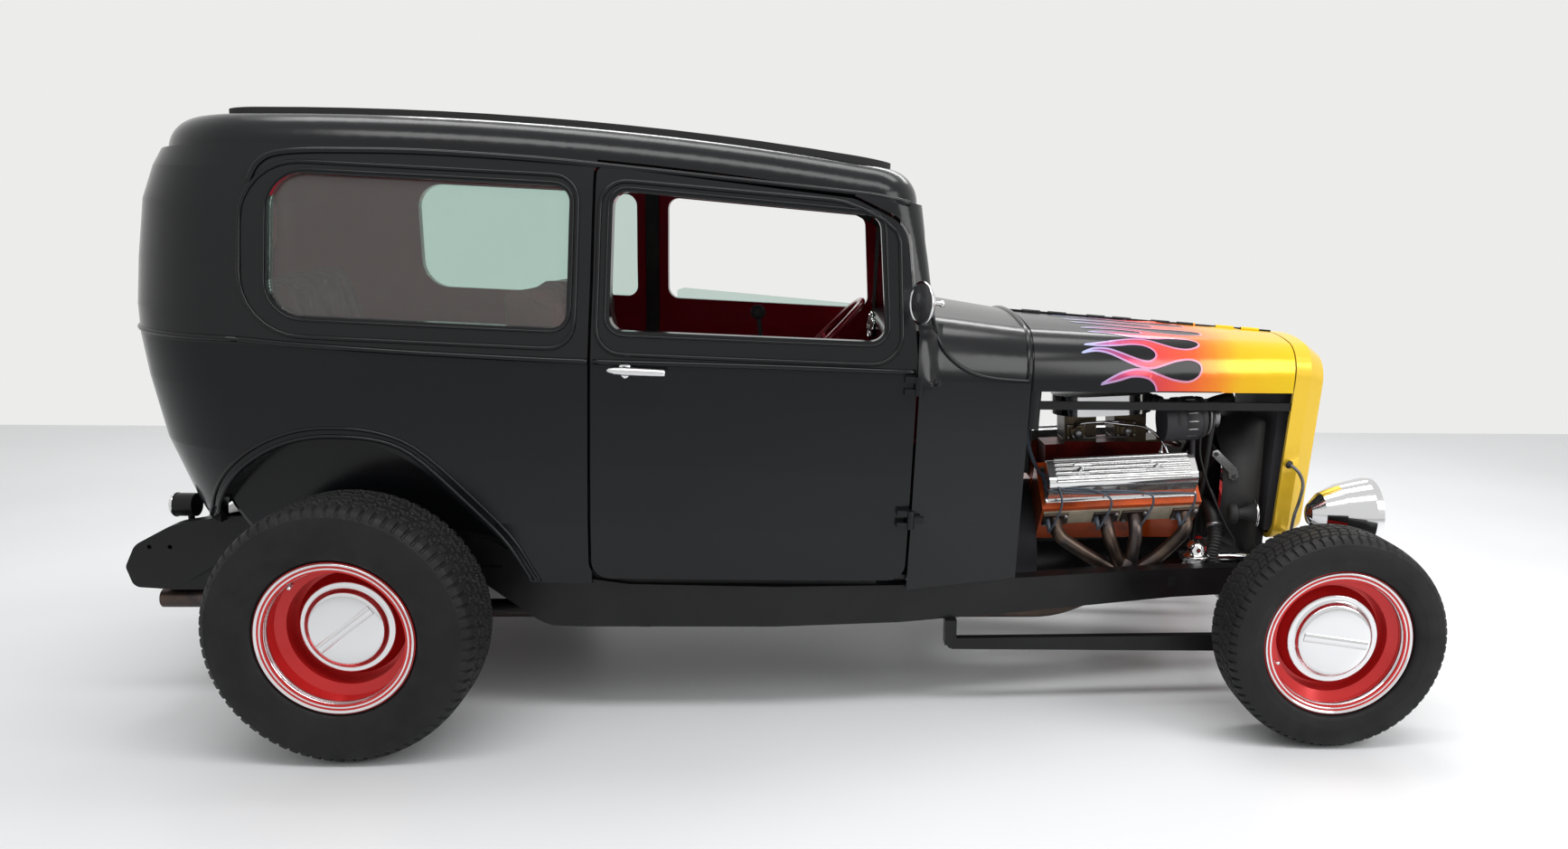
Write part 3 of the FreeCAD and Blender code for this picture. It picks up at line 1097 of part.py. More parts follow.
def make_wheel(label, side, x, height, offset, rim_width, depth, hub_length):
    """Drop-centre rim, dished disc, hub, trim ring and hub cap, turned as one section."""
    half = rim_width / 2
    wall, seat, lip = d.rim_wall, d.rim_seat_radius, d.rim_flange_radius
    drop_inner = d.drop_width / 2
    seat_out = seat - d.running_gap
    outer = [(half, lip), (half - wall, lip), (half - wall, seat_out),
             (drop_inner + d.drop_depth / 2, seat_out), (drop_inner, seat_out - d.drop_depth),
             (-drop_inner, seat_out - d.drop_depth), (-drop_inner - d.drop_depth / 2, seat_out),
             (wall - half, seat_out), (wall - half, lip), (-half, lip)]
    inner = [(-half, seat - wall), (-drop_inner - d.drop_depth / 2, seat - wall),
             (-drop_inner, seat - wall - d.drop_depth), (drop_inner, seat - wall - d.drop_depth),
             (drop_inner + d.drop_depth / 2, seat - wall), (half, seat - wall)]
    centre = V(x, side * offset, height)
    flip = [(side * a, b) for a, b in outer + inner]
    rim = turned(label + "_rim", "YZ", outline(flip), centre, V(0, 1, 0))
    face = half - depth
    dish = d.disc_dish
    drop = seat - wall / 2 - d.drop_depth
    disc_wall = d.disc_wall
    bore = d.stub_radius + d.pin_gap
    plate = [(face - dish, drop), (face - dish, drop - d.disc_wall * 2),
             (face, d.cap_radius + d.disc_wall), (face - dish / 2, d.hub_radius),
             (face - dish / 2, bore), (face - dish / 2 - hub_length, bore),
             (face - dish / 2 - hub_length, d.hub_radius),
             (face - dish / 2 - disc_wall, d.hub_radius),
             (face - disc_wall, d.cap_radius), (face - dish - disc_wall, drop - d.disc_wall * 2),
             (face - dish - disc_wall, drop)]
    hub = turned(label + "_disc", "YZ", outline([(side * a, b) for a, b in plate]), centre, V(0, 1, 0))
    cap = [(face - d.cap_wall, d.cap_radius + disc_wall), (face + d.cap_height / 3, d.cap_radius + disc_wall),
           (face + d.cap_height / 3, d.cap_radius * 0.85), (face + d.cap_height, d.cap_radius * 0.7),
           (face + d.cap_height, 0), (face + d.cap_height - d.cap_wall, 0),
           (face + d.cap_height - d.cap_wall, d.cap_radius * 0.7 - d.cap_wall),
           (face, d.cap_radius * 0.85 - d.cap_wall)]
    hub_cap = turned(label + "_cap", "YZ", outline([(side * a, b) for a, b in cap]), centre, V(0, 1, 0))
    return node(label, fuse(label + "_whole", rim, hub, hub_cap), chassis_place)


def make_wheels():
    for name, side in SIDES:
        make_tyre("tyre_rear_" + name, side, 0, d.rear_axle_height, d.rear_tyre_width,
                  d.rear_wheel_offset, d.rear_rim_width)
        make_wheel("wheel_rear_" + name, side, 0, d.rear_axle_height, d.rear_wheel_offset,
                   d.rear_rim_width, d.rear_disc_depth, d.rear_hub_length)
        make_tyre("tyre_front_" + name, side, d.wheelbase, d.front_axle_height, d.front_tyre_width,
                  d.front_wheel_offset, d.front_rim_width)
        make_wheel("wheel_front_" + name, side, d.wheelbase, d.front_axle_height,
                   d.front_wheel_offset, d.front_rim_width, d.front_disc_depth, d.front_hub_length)


def make_rear_axle(rails):
    """Live axle with its differential, trailing arms and coil dampers."""
    height = d.rear_axle_height
    disc_face = d.rear_wheel_offset + d.rear_rim_width / 2 - d.rear_disc_depth - d.disc_dish / 2
    pieces = [disc("axle_tube", V(0, -d.axle_half_length, height), V(0, 1, 0), "axle_tube_radius",
                   2 * d.axle_half_length),
              disc("axle_shaft", V(0, -disc_face, height), V(0, 1, 0), "stub_radius", 2 * disc_face)]
    ball = made("Part::Sphere", "diff_ball")
    bind(ball, Radius="diff_radius")
    ball.Placement.Base = V(0, 0, height)
    nose = made("Part::Cone", "diff_nose")
    bind(nose, Radius1="diff_radius * 0.8".replace("diff", "dims.diff"), Radius2="diff_nose_radius",
         Height="diff_nose_reach")
    nose.Placement = FreeCAD.Placement(V(0, 0, height), FreeCAD.Rotation(V(0, 0, 1), V(1, 0, 0)))
    node("rear_axle", fuse("rear_axle_whole", *pieces, ball, nose), chassis_place)
    parts = []
    for name, side in SIDES:
        base = V(-d.axle_tube_radius - d.damper_radius - d.running_gap, side * d.damper_offset, height)
        top = V(d.rear_cross_place, side * (d.damper_offset - d.damper_lean), d.rear_cross_height)
        cross = disc("damper_stop_" + name, V(top.x, side * d.damper_offset * 1.2, top.z),
                     V(0, -side, 0), "cross_tube_radius", d.damper_offset)
        parts.append(cut("damper_" + name, bar("damper_body_" + name, base, top, d.damper_radius),
                         cross))
        arm_rear = V(0, side * d.trail_arm_offset,
                     height - d.axle_tube_radius - d.trail_arm_radius - d.running_gap)
        arm_front = V(d.trail_arm_reach, side * d.trail_arm_offset, arm_rear.z)
        low_y, high_y = sorted((arm_front.y, side * rail_offset(d.trail_arm_reach)))
        bracket = block("arm_bracket_" + name,
                        arm_front + V(-d.trail_arm_radius, low_y - arm_front.y, -d.trail_arm_radius),
                        arm_front + V(d.trail_arm_radius, high_y - arm_front.y, d.trail_arm_radius))
        arm = bar("trailing_bar_" + name, arm_rear, arm_front, d.trail_arm_radius)
        parts.append(fuse("trailing_arm_" + name, arm, cut("arm_bracket_cut_" + name, bracket, rails)))
    node("rear_suspension", group("rear_suspension_set", *parts), chassis_place)


def tilt_place():
    """The engine leans nose up about the crankshaft at the rear of the block."""
    lean = FreeCAD.Rotation(V(0, 1, 0), -d.engine_tilt)
    return chassis_place.multiply(FreeCAD.Placement(V(d.engine_rear, 0, d.crank_height), lean))


def bank_point(side, along, across):
    """A point of a cylinder bank, leaning half a right angle to its side."""
    slant = math.sqrt(1 / 2)
    return (side * (along + across) * slant, (along - across) * slant)


def make_engine():
    """Vee engine: block, heads and oil pan in one piece, with its covers and intake."""
    place = tilt_place()
    half = d.deck_width / 2
    top = d.bank_deck + d.head_height
    pieces = []
    for name, side in SIDES:
        head = [bank_point(side, 0, -half / 2), bank_point(side, top, -half), bank_point(side, top, half),
                bank_point(side, d.bank_deck, half), bank_point(side, d.bank_deck / 3, half)]
        pieces.append(prism("bank_" + name, "YZ", outline(head), V(0, 0, 0), "head_length"))
    skirt = outline([(-d.skirt_half_width, -d.skirt_drop), (d.skirt_half_width, -d.skirt_drop),
                     (d.skirt_half_width, d.skirt_drop), (half, d.bank_deck),
                     (-half, d.bank_deck), (-d.skirt_half_width, d.skirt_drop)])
    pieces.append(prism("crankcase", "YZ", skirt, V(0, 0, 0), "engine_length"))
    pan = outline([(0, -d.skirt_drop), (0, -d.pan_depth, d.cover_corner), (d.sump_length, -d.pan_depth, d.cover_corner),
                   (d.sump_length + d.pan_half_width, -d.skirt_drop * 2, d.cover_corner),
                   (d.head_length, -d.skirt_drop * 2), (d.head_length, -d.skirt_drop)])
    pieces.append(prism("oil_pan", "XZ", pan, V(0, 0, 0), 2 * d.pan_half_width, both=True))
    engine = fuse("engine_whole", *pieces)
    node("engine_block", group("engine_piece", engine), place)
    covers = []
    start = (d.head_length - d.cover_length) / 2
    for name, side in SIDES:
        wide = d.cover_width / 2
        shape = [bank_point(side, top + d.running_gap, -wide), bank_point(side, top + d.cover_height, -wide * 0.8) + (d.cover_corner,),
                 bank_point(side, top + d.cover_height, wide * 0.8) + (d.cover_corner,),
                 bank_point(side, top + d.running_gap, wide)]
        covers.append(prism("valve_cover_" + name, "YZ", outline(shape), V(start, 0, 0), "cover_length"))
    node("valve_covers", group("valve_cover_pair", *covers), place)
    base = d.bank_deck
    intake_start = (d.engine_length - d.intake_length) / 2
    intake = [block("intake_body", V(intake_start, -d.intake_half_width / 2, base),
                    V(intake_start + d.intake_length, d.intake_half_width / 2, d.valley_height + d.intake_height))]
    deck = d.valley_height + d.intake_height
    middle = intake_start + d.intake_length / 2
    for index, way in (("rear", -1), ("front", 1)):
        cx = middle + way * d.carb_spacing / 2
        intake.append(block("carburettor_" + index, V(cx - d.carb_length / 2, -d.carb_width / 2, deck - d.overrun),
                            V(cx + d.carb_length / 2, d.carb_width / 2, deck + d.carb_height)))
    node("intake", fuse("intake_whole", *intake), place)
    top_z = deck + d.carb_height + d.running_gap
    pan_half, pan_len = d.cleaner_half_width, d.cleaner_length / 2
    plan = outline([(middle - pan_len, -pan_half, pan_half * 0.95), (middle + pan_len, -pan_half, pan_half * 0.95),
                    (middle + pan_len, pan_half, pan_half * 0.95), (middle - pan_len, pan_half, pan_half * 0.95)])
    node("air_cleaner", prism("air_cleaner_can", "XY", plan, V(0, 0, top_z), "cleaner_height"), place)
    seat = V(d.distributor_radius / 2 - d.distributor_radius, 0, d.valley_height + d.intake_height)
    distributor = disc("distributor", seat, V(0, 0, 1), "distributor_radius", "distributor_height")
    stalk = disc("distributor_stalk", V(seat.x + d.distributor_radius / 2, 0, base), V(0, 0, 1),
                 d.distributor_radius / 3, seat.z - base)
    node("distributor", fuse("distributor_whole", distributor, stalk), place)
    front = d.engine_length + d.running_gap
    drive = [disc("crank_pulley", V(front, 0, 0), V(1, 0, 0), "pulley_radius", "front_drive_gap"),
             disc("water_pump", V(front, 0, d.bank_deck * 0.8), V(1, 0, 0), "pump_pulley_radius",
                  2 * d.front_drive_gap)]
    perch = top + d.alternator_radius + d.cover_corner
    alternator = disc("alternator", V(d.head_length - d.alternator_length, -d.bank_deck, perch),
                      V(1, 0, 0), "alternator_radius", "alternator_length")
    post_x = (d.head_length + start + d.cover_length) / 2
    post = disc("alternator_post", V(post_x, -d.bank_deck, perch), V(0, 0, -1), "post_radius",
                "post_length")
    drive.append(fuse("alternator_whole", alternator, cut("alternator_post_cut", post, engine)))
    node("front_drive", group("front_drive_set", *drive), place)


def make_gearbox():
    """Bell housing, gearbox case, tail housing and the propeller shaft behind them."""
    place = tilt_place()
    pieces = [disc("bell_housing", V(-d.bell_length - d.running_gap, 0, 0), V(1, 0, 0), "bell_radius",
                   "bell_length"),
              block("gearbox_case", V(-d.bell_length - d.case_length, -d.case_half_width, -d.case_height / 2),
                    V(-d.bell_length, d.case_half_width, d.case_height / 2)),
              disc("tail_housing", V(-d.bell_length - d.case_length - d.tail_length, 0, 0), V(1, 0, 0),
                   "tail_radius", "tail_length")]
    node("gearbox", fuse("gearbox_whole", *pieces), place)
    tail = place.multVec(V(-d.bell_length - d.case_length - d.tail_length - d.shut_gap / 2, 0, 0))
    nose = V(d.diff_nose_reach + 3 * d.running_gap, 0, d.rear_axle_height)
    shaft = bar("prop_shaft", nose, tail - datum, d.prop_radius)
    node("propeller_shaft", group("propeller_shaft_bar", shaft), chassis_place)


def make_exhaust():
    """Four header tubes a side into a collector, and the pipe that runs to the tail."""
    lean = math.radians(d.engine_tilt)
    slant = math.sqrt(1 / 2)
    low, high = d.bank_deck, d.bank_deck + d.head_height
    port_y, port_z = bank_point(1, (low + high) / 2, d.deck_width / 2 + d.shut_gap / 4)
    systems = []
    for name, side in SIDES:
        end = V(d.collector_place, side * d.collector_offset, d.collector_height)
        pieces = []
        for index, share in enumerate(PORT_SHARES):
            along = share * d.head_length
            port = V(d.engine_rear + along * math.cos(lean) - port_z * math.sin(lean), side * port_y,
                     d.crank_height + port_z * math.cos(lean) + along * math.sin(lean))
            out = port + V(0, side * slant, -slant) * d.outlet_reach
            target = end + V((index - 1.5) * d.header_radius * 0.7, 0, -d.header_radius)
            above = V((out.x + target.x) / 2, (out.y + target.y) / 2, target.z + d.header_drop)
            pieces.append(tube_path("header_%d_%s" % (index, name), [port, out, above, target],
                                    d.header_radius, 0.45))
        fall = V(-0.75, 0, -0.66)
        pieces.append(disc("collector_" + name, end - fall * d.header_radius, fall, "collector_radius",
                           "collector_length"))
        can_end = end + fall * (d.collector_length - 2 * d.header_radius)
        route = [can_end, V(d.pipe_front, side * d.pipe_offset, d.pipe_height),
                 V(d.trail_arm_reach, side * d.pipe_offset, d.pipe_height),
                 V(d.pipe_kick_place / 2, side * d.pipe_offset, d.pipe_height),
                 V(d.pipe_kick_place, side * d.pipe_kick_offset, d.pipe_kick_height),
                 V(d.pipe_end, side * d.pipe_kick_offset, d.pipe_kick_height)]
        pieces.append(tube_path("tail_pipe_" + name, route, d.pipe_radius, 0.4))
        systems.append(fuse("exhaust_" + name, *pieces))
    node("exhaust", group("exhaust_pair", *systems), chassis_place)


# Exhaust ports along the head, as shares of its length from the rear.
PORT_SHARES = (0.09, 0.41, 0.59, 0.91)


def make_cooling():
    """Radiator core with its top tank, on two legs that stand on the front crossmember."""
    rear = d.shell_rear - d.overrun
    pieces = [block("radiator_core", V(rear, -d.core_half_width, d.core_bottom),
                    V(rear + d.core_thickness, d.core_half_width, d.core_top)),
              block("radiator_tank", V(rear - d.overrun, -d.core_half_width, d.core_top - d.core_tank_height),
                    V(rear + d.core_thickness, d.core_half_width, d.core_top))]
    for name, side in SIDES:
        low_y, high_y = sorted((side * d.core_leg_offset, side * (d.core_leg_offset - d.core_leg_width)))
        pieces.append(block("radiator_leg_" + name, V(rear - d.overrun, low_y, d.core_leg_bottom),
                            V(d.shell_rear - d.running_gap, high_y, d.core_bottom + d.overrun)))
    node("radiator", fuse("radiator_whole", *pieces), body_place)


def make_lamps(cowl, tank, rails):
    """Headlamps on their bar, tail lamps and mirrors."""
    pieces = []
    for name, side in SIDES:
        y = side * d.lamp_offset
        rows = [(d.lamp_front - x_share * d.lamp_length, y_share * d.lamp_radius) for x_share, y_share in LAMP_SHARES]
        profile = [(x - d.lamp_front, r) for x, r in rows]
        bowl = turned("headlamp_" + name, "XY", outline(profile), V(d.lamp_front, y, d.lamp_height), V(1, 0, 0))
        stem = bar("lamp_stem_" + name, V(d.lamp_bar_place, y, d.lamp_bar_height),
                   V(d.lamp_front - d.lamp_length / 2, y, d.lamp_height - d.lamp_radius / 2), d.lamp_stem_radius)
        pieces += [bowl, stem]
    bends = [(-d.lamp_offset, d.lamp_bar_height), (-d.lamp_bar_drop_offset, d.lamp_bar_drop_height),
             (d.lamp_bar_drop_offset, d.lamp_bar_drop_height), (d.lamp_offset, d.lamp_bar_height)]
    for name, side in SIDES:
        foot = V(d.lamp_bar_place, side * d.lamp_foot_offset, d.lamp_bar_drop_height - 3 * d.overrun)
        leg = disc("lamp_leg_" + name, foot, V(0, 0, 1), "lamp_bar_radius", 4 * d.overrun)
        pieces.append(cut("lamp_leg_cut_" + name, leg, rails))
    pieces.append(tube_path("lamp_bar", [V(d.lamp_bar_place, y, z) for y, z in bends],
                            d.lamp_bar_radius, 0.3))
    node("headlamps", fuse("headlamp_set", *pieces), chassis_place)
    tails = []
    for name, side in SIDES:
        at = V(d.tail_lamp_place, side * d.tail_lamp_offset, d.tail_lamp_height)
        can = disc("tail_lamp_can_" + name, at, V(-1, 0, 0), "tail_lamp_radius", "tail_lamp_length")
        foot = at - V(d.overrun, 0, 3 * d.tail_lamp_radius)
        stem = bar("tail_lamp_stem_" + name, foot, at - V(d.overrun, 0, 0), d.tail_stem_radius)
        joined = fuse("tail_lamp_joined_" + name, can, stem)
        tails.append(cut("tail_lamp_" + name, joined, tank))
    node("tail_lamps", group("tail_lamp_pair", *tails), chassis_place)
    mirrors = []
    for name, side in SIDES:
        at = V(d.mirror_place, side * d.mirror_offset, d.mirror_height)
        head = disc("mirror_head_" + name, at, V(1, 0, 0), "mirror_radius", "mirror_depth")
        inner = V(d.pillar_reach - d.skin_wall, side * (d.windscreen_half_width + d.skin_wall), d.mirror_height)
        arm = bar("mirror_arm_" + name, at + V(d.mirror_depth / 2, 0, 0), inner, d.mirror_arm_radius)
        mirrors.append(cut("mirror_" + name, fuse("mirror_joined_" + name, head, arm), cowl))
    node("mirrors", group("mirror_pair", *mirrors), body_place)


# Headlamp section from the lens back to the tip of the bucket, as shares of its length and
# radius.
LAMP_SHARES = ((0.0, 0.0), (0.06, 0.86), (0.06, 1.0), (0.16, 1.0), (0.30, 0.94), (0.55, 0.82),
               (0.80, 0.58), (0.95, 0.28), (1.0, 0.0))


def make_tank():
    """Fuel tank between the rear horns, with the same top line as the rails."""
    rear = -d.rear_overhang + d.horn_radius
    corners = [(d.tank_front, d.rear_axle_height * 1.60), (-d.rear_overhang * 0.75, d.rear_axle_height * 1.54, 60),
               (rear, d.rear_axle_height * 1.28, 40), (rear + d.horn_radius, d.tank_bottom, 40),
               (d.tank_front, d.tank_bottom)]
    tank = prism("tank_body", "XZ", outline(corners), V(0, 0, 0), 2 * d.tank_half_width, both=True)
    node("fuel_tank", group("tank_piece", tank), chassis_place)
    return tank


def make_cabin(cowl, frame_in_body):
    """Floor with its tunnel and wheel houses, seats, dashboard and steering wheel."""
    inner = d.body_half_width * FRONT_WIDTH_SHARE * LEVEL_SHARES[0][1] - d.skin_wall - d.shut_gap
    floor_front = d.cowl_front - d.cowl_wall - d.running_gap
    kick_up_height = d.rear_seat_height - d.rear_cushion_depth
    side = outline([(floor_front, d.floor_height), (d.kick_up_place, d.floor_height),
                    (d.kick_up_place - d.floor_wall * 4, kick_up_height), (d.rear_seat_rear, kick_up_height),
                    (d.rear_seat_rear, kick_up_height - d.floor_wall),
                    (d.kick_up_place - d.floor_wall * 5, kick_up_height - d.floor_wall),
                    (d.kick_up_place - d.floor_wall, d.floor_height - d.floor_wall),
                    (floor_front, d.floor_height - d.floor_wall)])
    narrow = d.firewall_half_width - d.cowl_wall - d.overrun / 2
    plan = outline([(floor_front, -narrow), (floor_front, narrow), (d.cowl_rear, inner),
                    (-d.back_reach * 0.62, inner), (-d.back_reach * 0.86, inner * 0.6),
                    (-d.back_reach * 0.86, -inner * 0.6), (-d.back_reach * 0.62, -inner), (d.cowl_rear, -inner)])
    sheet_side = prism("floor_side", "XZ", side, V(0, 0, 0), 3 * d.body_half_width, both=True)
    sheet_plan = prism("floor_plan", "XY", plan, V(0, 0, 0), 3 * d.rear_axle_height)
    floor = common("floor_sheet", sheet_side, sheet_plan)
    tunnel_top = block("tunnel_outer", V(d.kick_up_place, -d.tunnel_half_width, d.floor_height - d.floor_wall),
                       V(floor_front, d.tunnel_half_width, d.tunnel_height))
    tunnel_hole = block("tunnel_inner",
                        V(d.kick_up_place - d.overrun * 5, -d.tunnel_half_width + d.floor_wall, 0),
                        V(floor_front + d.overrun, d.tunnel_half_width - d.floor_wall, d.tunnel_height - d.floor_wall))
    joined = fuse("floor_joined", floor, tunnel_top)
    node("floor_pan", cut("floor_cut", joined, tunnel_hole, frame_in_body), body_place)
    make_wheel_houses(frame_in_body)
    make_seats()
    dash = outline([(d.dash_place, d.dash_height - d.dash_drop / 5, d.overrun),
                    (d.dash_place + d.dash_depth, d.dash_height, d.overrun),
                    (d.cowl_rear + d.dash_plate, d.dash_height),
                    (d.cowl_rear + d.dash_plate, d.dash_height - d.dash_drop),
                    (d.dash_place, d.dash_height - d.dash_drop, d.overrun)])
    body = prism("dash_body", "XZ", dash, V(0, 0, 0), 2 * d.dash_half_width, both=True)
    ends = loft("dash_plate_loft", [
        arch_section("dash_plate_%d" % index, x, [(d.cowl_foot_half_width, d.cowl_bottom_rear),
                                                  (d.cowl_waist_half_width, d.cowl_waist_height)],
                     d.firewall_half_width + (d.cowl_rear_half_width - d.firewall_half_width) * 0.9,
                     d.cowl_shoulder_height, d.cowl_shoulder_radius, d.cowl_top_height,
                     d.cowl_wall + d.running_gap)
        for index, x in enumerate((d.cowl_rear + d.running_gap, d.cowl_rear + d.dash_plate))])
    trim = block("dash_plate_zone", V(0, -d.body_half_width, d.dash_height - d.dash_drop),
                 V(2 * d.cowl_front, d.body_half_width, d.dash_height))
    dash_whole = fuse("dash_whole", body, common("dash_ends", ends, trim))
    node("dashboard", cut("dash_cut", dash_whole, cowl), body_place)
    make_steering()


def make_wheel_houses(frame_in_body):
    """Inner panels beside the rear wheels, with their roofs over the tyres."""
    houses = []
    limit = shell_blank("house_limit", d.skin_wall + d.running_gap)
    for name, side in SIDES:
        low_y, high_y = sorted((side * d.house_offset, side * d.body_half_width))
        shift = side * d.house_wall
        outer_form = prism("house_outer_" + name, "XZ", house_outline(d.house_wall), V(0, high_y, 0),
                           high_y - low_y)
        hollow = prism("house_hollow_" + name, "XZ", house_outline(0), V(0, high_y + shift, 0),
                       high_y - low_y)
        panel = cut("house_panel_" + name, outer_form, hollow, frame_in_body)
        houses.append(common("wheel_house_" + name, panel, limit))
    node("wheel_houses", group("wheel_house_pair", *houses), body_place)


def house_outline(grow):
    """The wheel opening's form above the floor, grown by a wall."""
    low = d.floor_height - grow
    fall = (d.arch_knee_height - low) / (d.arch_knee_height - d.arch_foot_height)
    crest = d.arch_crest + grow / 2
    top = d.arch_top + grow
    return outline([
        (d.arch_rear - grow, low), (d.arch_rear - grow, top, d.arch_radius + grow),
        (crest, top, crest_radius(crest, top, d.arch_knee + grow)),
        (d.arch_knee + grow, d.arch_knee_height, d.arch_knee_radius),
        (d.arch_knee + (d.arch_foot - d.arch_knee) * fall + grow, low),
    ])


def make_seats():
    """Front seats on their plinths and a full rear seat, as plain closed cushions."""
    pieces = []
    base = d.seat_height - d.seat_back_thickness
    slope = (d.seat_back_height - d.seat_height) * math.tan(math.radians(d.seat_lean))
    for name, side in SIDES:
        low_y, high_y = sorted((side * d.seat_split / 2, side * d.seat_half_width))
        fold = d.seat_rear + d.seat_back_thickness
        profile = outline([(d.seat_rear, base, d.overrun), (d.seat_front, base, d.overrun),
                           (d.seat_front, d.seat_height, 3 * d.overrun), (fold, d.seat_height, d.overrun),
                           (fold - slope, d.seat_back_height, 2 * d.overrun),
                           (d.seat_rear - slope / 2, d.seat_back_height, d.overrun)])
        cushion = prism("front_seat_" + name, "XZ", profile, V(0, high_y, 0), high_y - low_y)
        low_y, high_y = sorted((side * d.seat_plinth_inner, side * d.seat_plinth_outer))
        plinth = block("seat_plinth_" + name,
                       V(d.seat_rear + d.overrun, low_y, d.floor_height + d.running_gap),
                       V(d.seat_plinth_front, high_y, base + d.overrun))
        pieces.append(fuse("front_seat_whole_" + name, cushion, plinth))
    node("front_seats", group("front_seat_pair", *pieces), body_place)
    floor = d.rear_seat_height - d.rear_cushion_depth + d.running_gap
    rear = outline([(d.rear_seat_rear, floor, d.overrun), (d.rear_seat_front, floor, d.overrun),
                    (d.rear_seat_front, d.rear_seat_height, 2 * d.overrun),
                    (d.rear_seat_rear + d.seat_back_thickness * 1.4, d.rear_seat_height, d.overrun),
                    (d.rear_seat_rear + d.seat_back_thickness * 0.8, d.rear_seat_back_height,
                     2 * d.overrun),
                    (d.rear_seat_rear, d.rear_seat_back_height, d.overrun)])
    node("rear_seat", prism("rear_seat_body", "XZ", rear, V(0, 0, 0), 2 * d.rear_seat_half_width, both=True),
         body_place)
    lean = (d.lever_foot - d.lever_place) / (d.lever_height - d.tunnel_height)
    foot = V(d.lever_foot, 0, d.tunnel_height + d.running_gap + d.lever_radius * lean)
    top = V(d.lever_place, 0, d.lever_height)
    knob = made("Part::Sphere", "lever_knob")
    bind(knob, Radius="knob_radius")
    knob.Placement.Base = top
    lever = fuse("lever_whole", bar("lever_bar", foot, top, d.lever_radius), knob)
    node("shift_lever", lever, body_place)


def make_steering():
    """Steering wheel on its column, which runs down to the firewall."""
    lean = math.radians(d.steering_lean)
    down = V(math.cos(lean), 0, -math.sin(lean))
    centre = V(d.steering_place, d.steering_offset, d.steering_height)
    rim = made("Part::Torus", "steering_rim")
    bind(rim, Radius1="wheel_rim_radius", Radius2="wheel_rim_tube")
    turn = FreeCAD.Rotation(V(0, 0, 1), down)
    rim.Placement = FreeCAD.Placement(centre, turn)
    pieces = [rim, disc("steering_boss", centre, down, "boss_disc_radius", 2 * d.spoke_width)]
    for index in range(3):
        angle = math.radians(FULL_TURN / 3 * index + QUARTER_TURN)
        out = turn.multVec(V(math.cos(angle), math.sin(angle), 0))
        pieces.append(bar("steering_spoke_%d" % index, centre + down * d.spoke_thickness,
                          centre + out * d.wheel_rim_radius, d.spoke_thickness))
    bore = disc("steering_bore", centre + down * d.spoke_width, down, d.column_radius / 2 + d.pin_gap,
                2 * d.spoke_width)
    node("steering_wheel", cut("steering_cut", fuse("steering_whole", *pieces), bore), chassis_place)
    start = centre + down * (2 * d.spoke_width + d.running_gap)
    shaft = disc("column_shaft", centre + down * (d.spoke_width + d.running_gap), down,
                 d.column_radius / 2, 2 * d.spoke_width)
    start_in_body = body_place.inverse().multVec(chassis_place.multVec(start))
    down_in_body = rake_turn.inverted().multVec(down)
    rim_reach = d.column_radius * math.sqrt(1 - down_in_body.x ** 2)
    wall = d.cowl_front - d.firewall_wall - d.shut_gap - d.running_gap
    length = (wall - rim_reach - start_in_body.x) / down_in_body.x
    column = disc("column_tube", start, down, "column_radius", length)
    low = start + down * (length + d.firewall_wall + d.cowl_wall + 3 * d.shut_gap)
    box_top = (d.arm_height + 2 * d.arm_thickness + d.link_eye_height + d.box_height
               + 5 * d.running_gap)
    seat = V(d.wheelbase - 2 * d.arm_length - d.overrun, d.pitman_offset, box_top)
    over = V(0, 0, d.overrun)
    route = [low, V(low.x + d.link_run_rear, low.y - d.shut_gap, d.link_run_height),
             V(seat.x - d.link_run_front, d.link_run_offset, d.link_run_height), seat + over, seat]
    link = tube_path("column_link", route, d.link_shaft_radius, 0.3)
    whole = fuse("column_whole", column, shaft)
    node("steering_column", group("column_set", whole, link), chassis_place)


frame_in_body, rail_pair = make_frame()
lower_walls, windscreen = make_body_shell(frame_in_body)
cowl_body = make_cowl(lower_walls, windscreen, frame_in_body)
make_hood()
make_grille()
make_front_axle()
make_steering_links()
make_rear_axle(rail_pair)
make_wheels()
make_engine()
make_gearbox()
make_exhaust()
make_cooling()
fuel_tank = make_tank()
make_lamps(cowl_body, fuel_tank, rail_pair)
make_cabin(cowl_body, frame_in_body)

doc.recompute()
faults = [item.Name for item in doc.Objects if {"Invalid", "Error"} & set(item.State)]
os.makedirs("parts", exist_ok=True)
for label, item in nodes.items():
    shape = item.Shape
    if shape.isNull() or not shape.isValid() or not shape.Solids:
        faults.append(label)
        continue
    shape.exportStep("parts/%s.step" % label)
    print("%-24s %2d solid(s) %10.1f cm3" % (label, len(shape.Solids), shape.Volume / 1000))
if faults:
    raise RuntimeError("not recomputed or not a valid solid: " + ", ".join(faults))
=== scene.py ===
import math

import bmesh
import bpy
import numpy as np
from bpy.props import FloatProperty, FloatVectorProperty, IntProperty, PointerProperty
from mathutils import Matrix, Vector
from mathutils.bvhtree import BVHTree


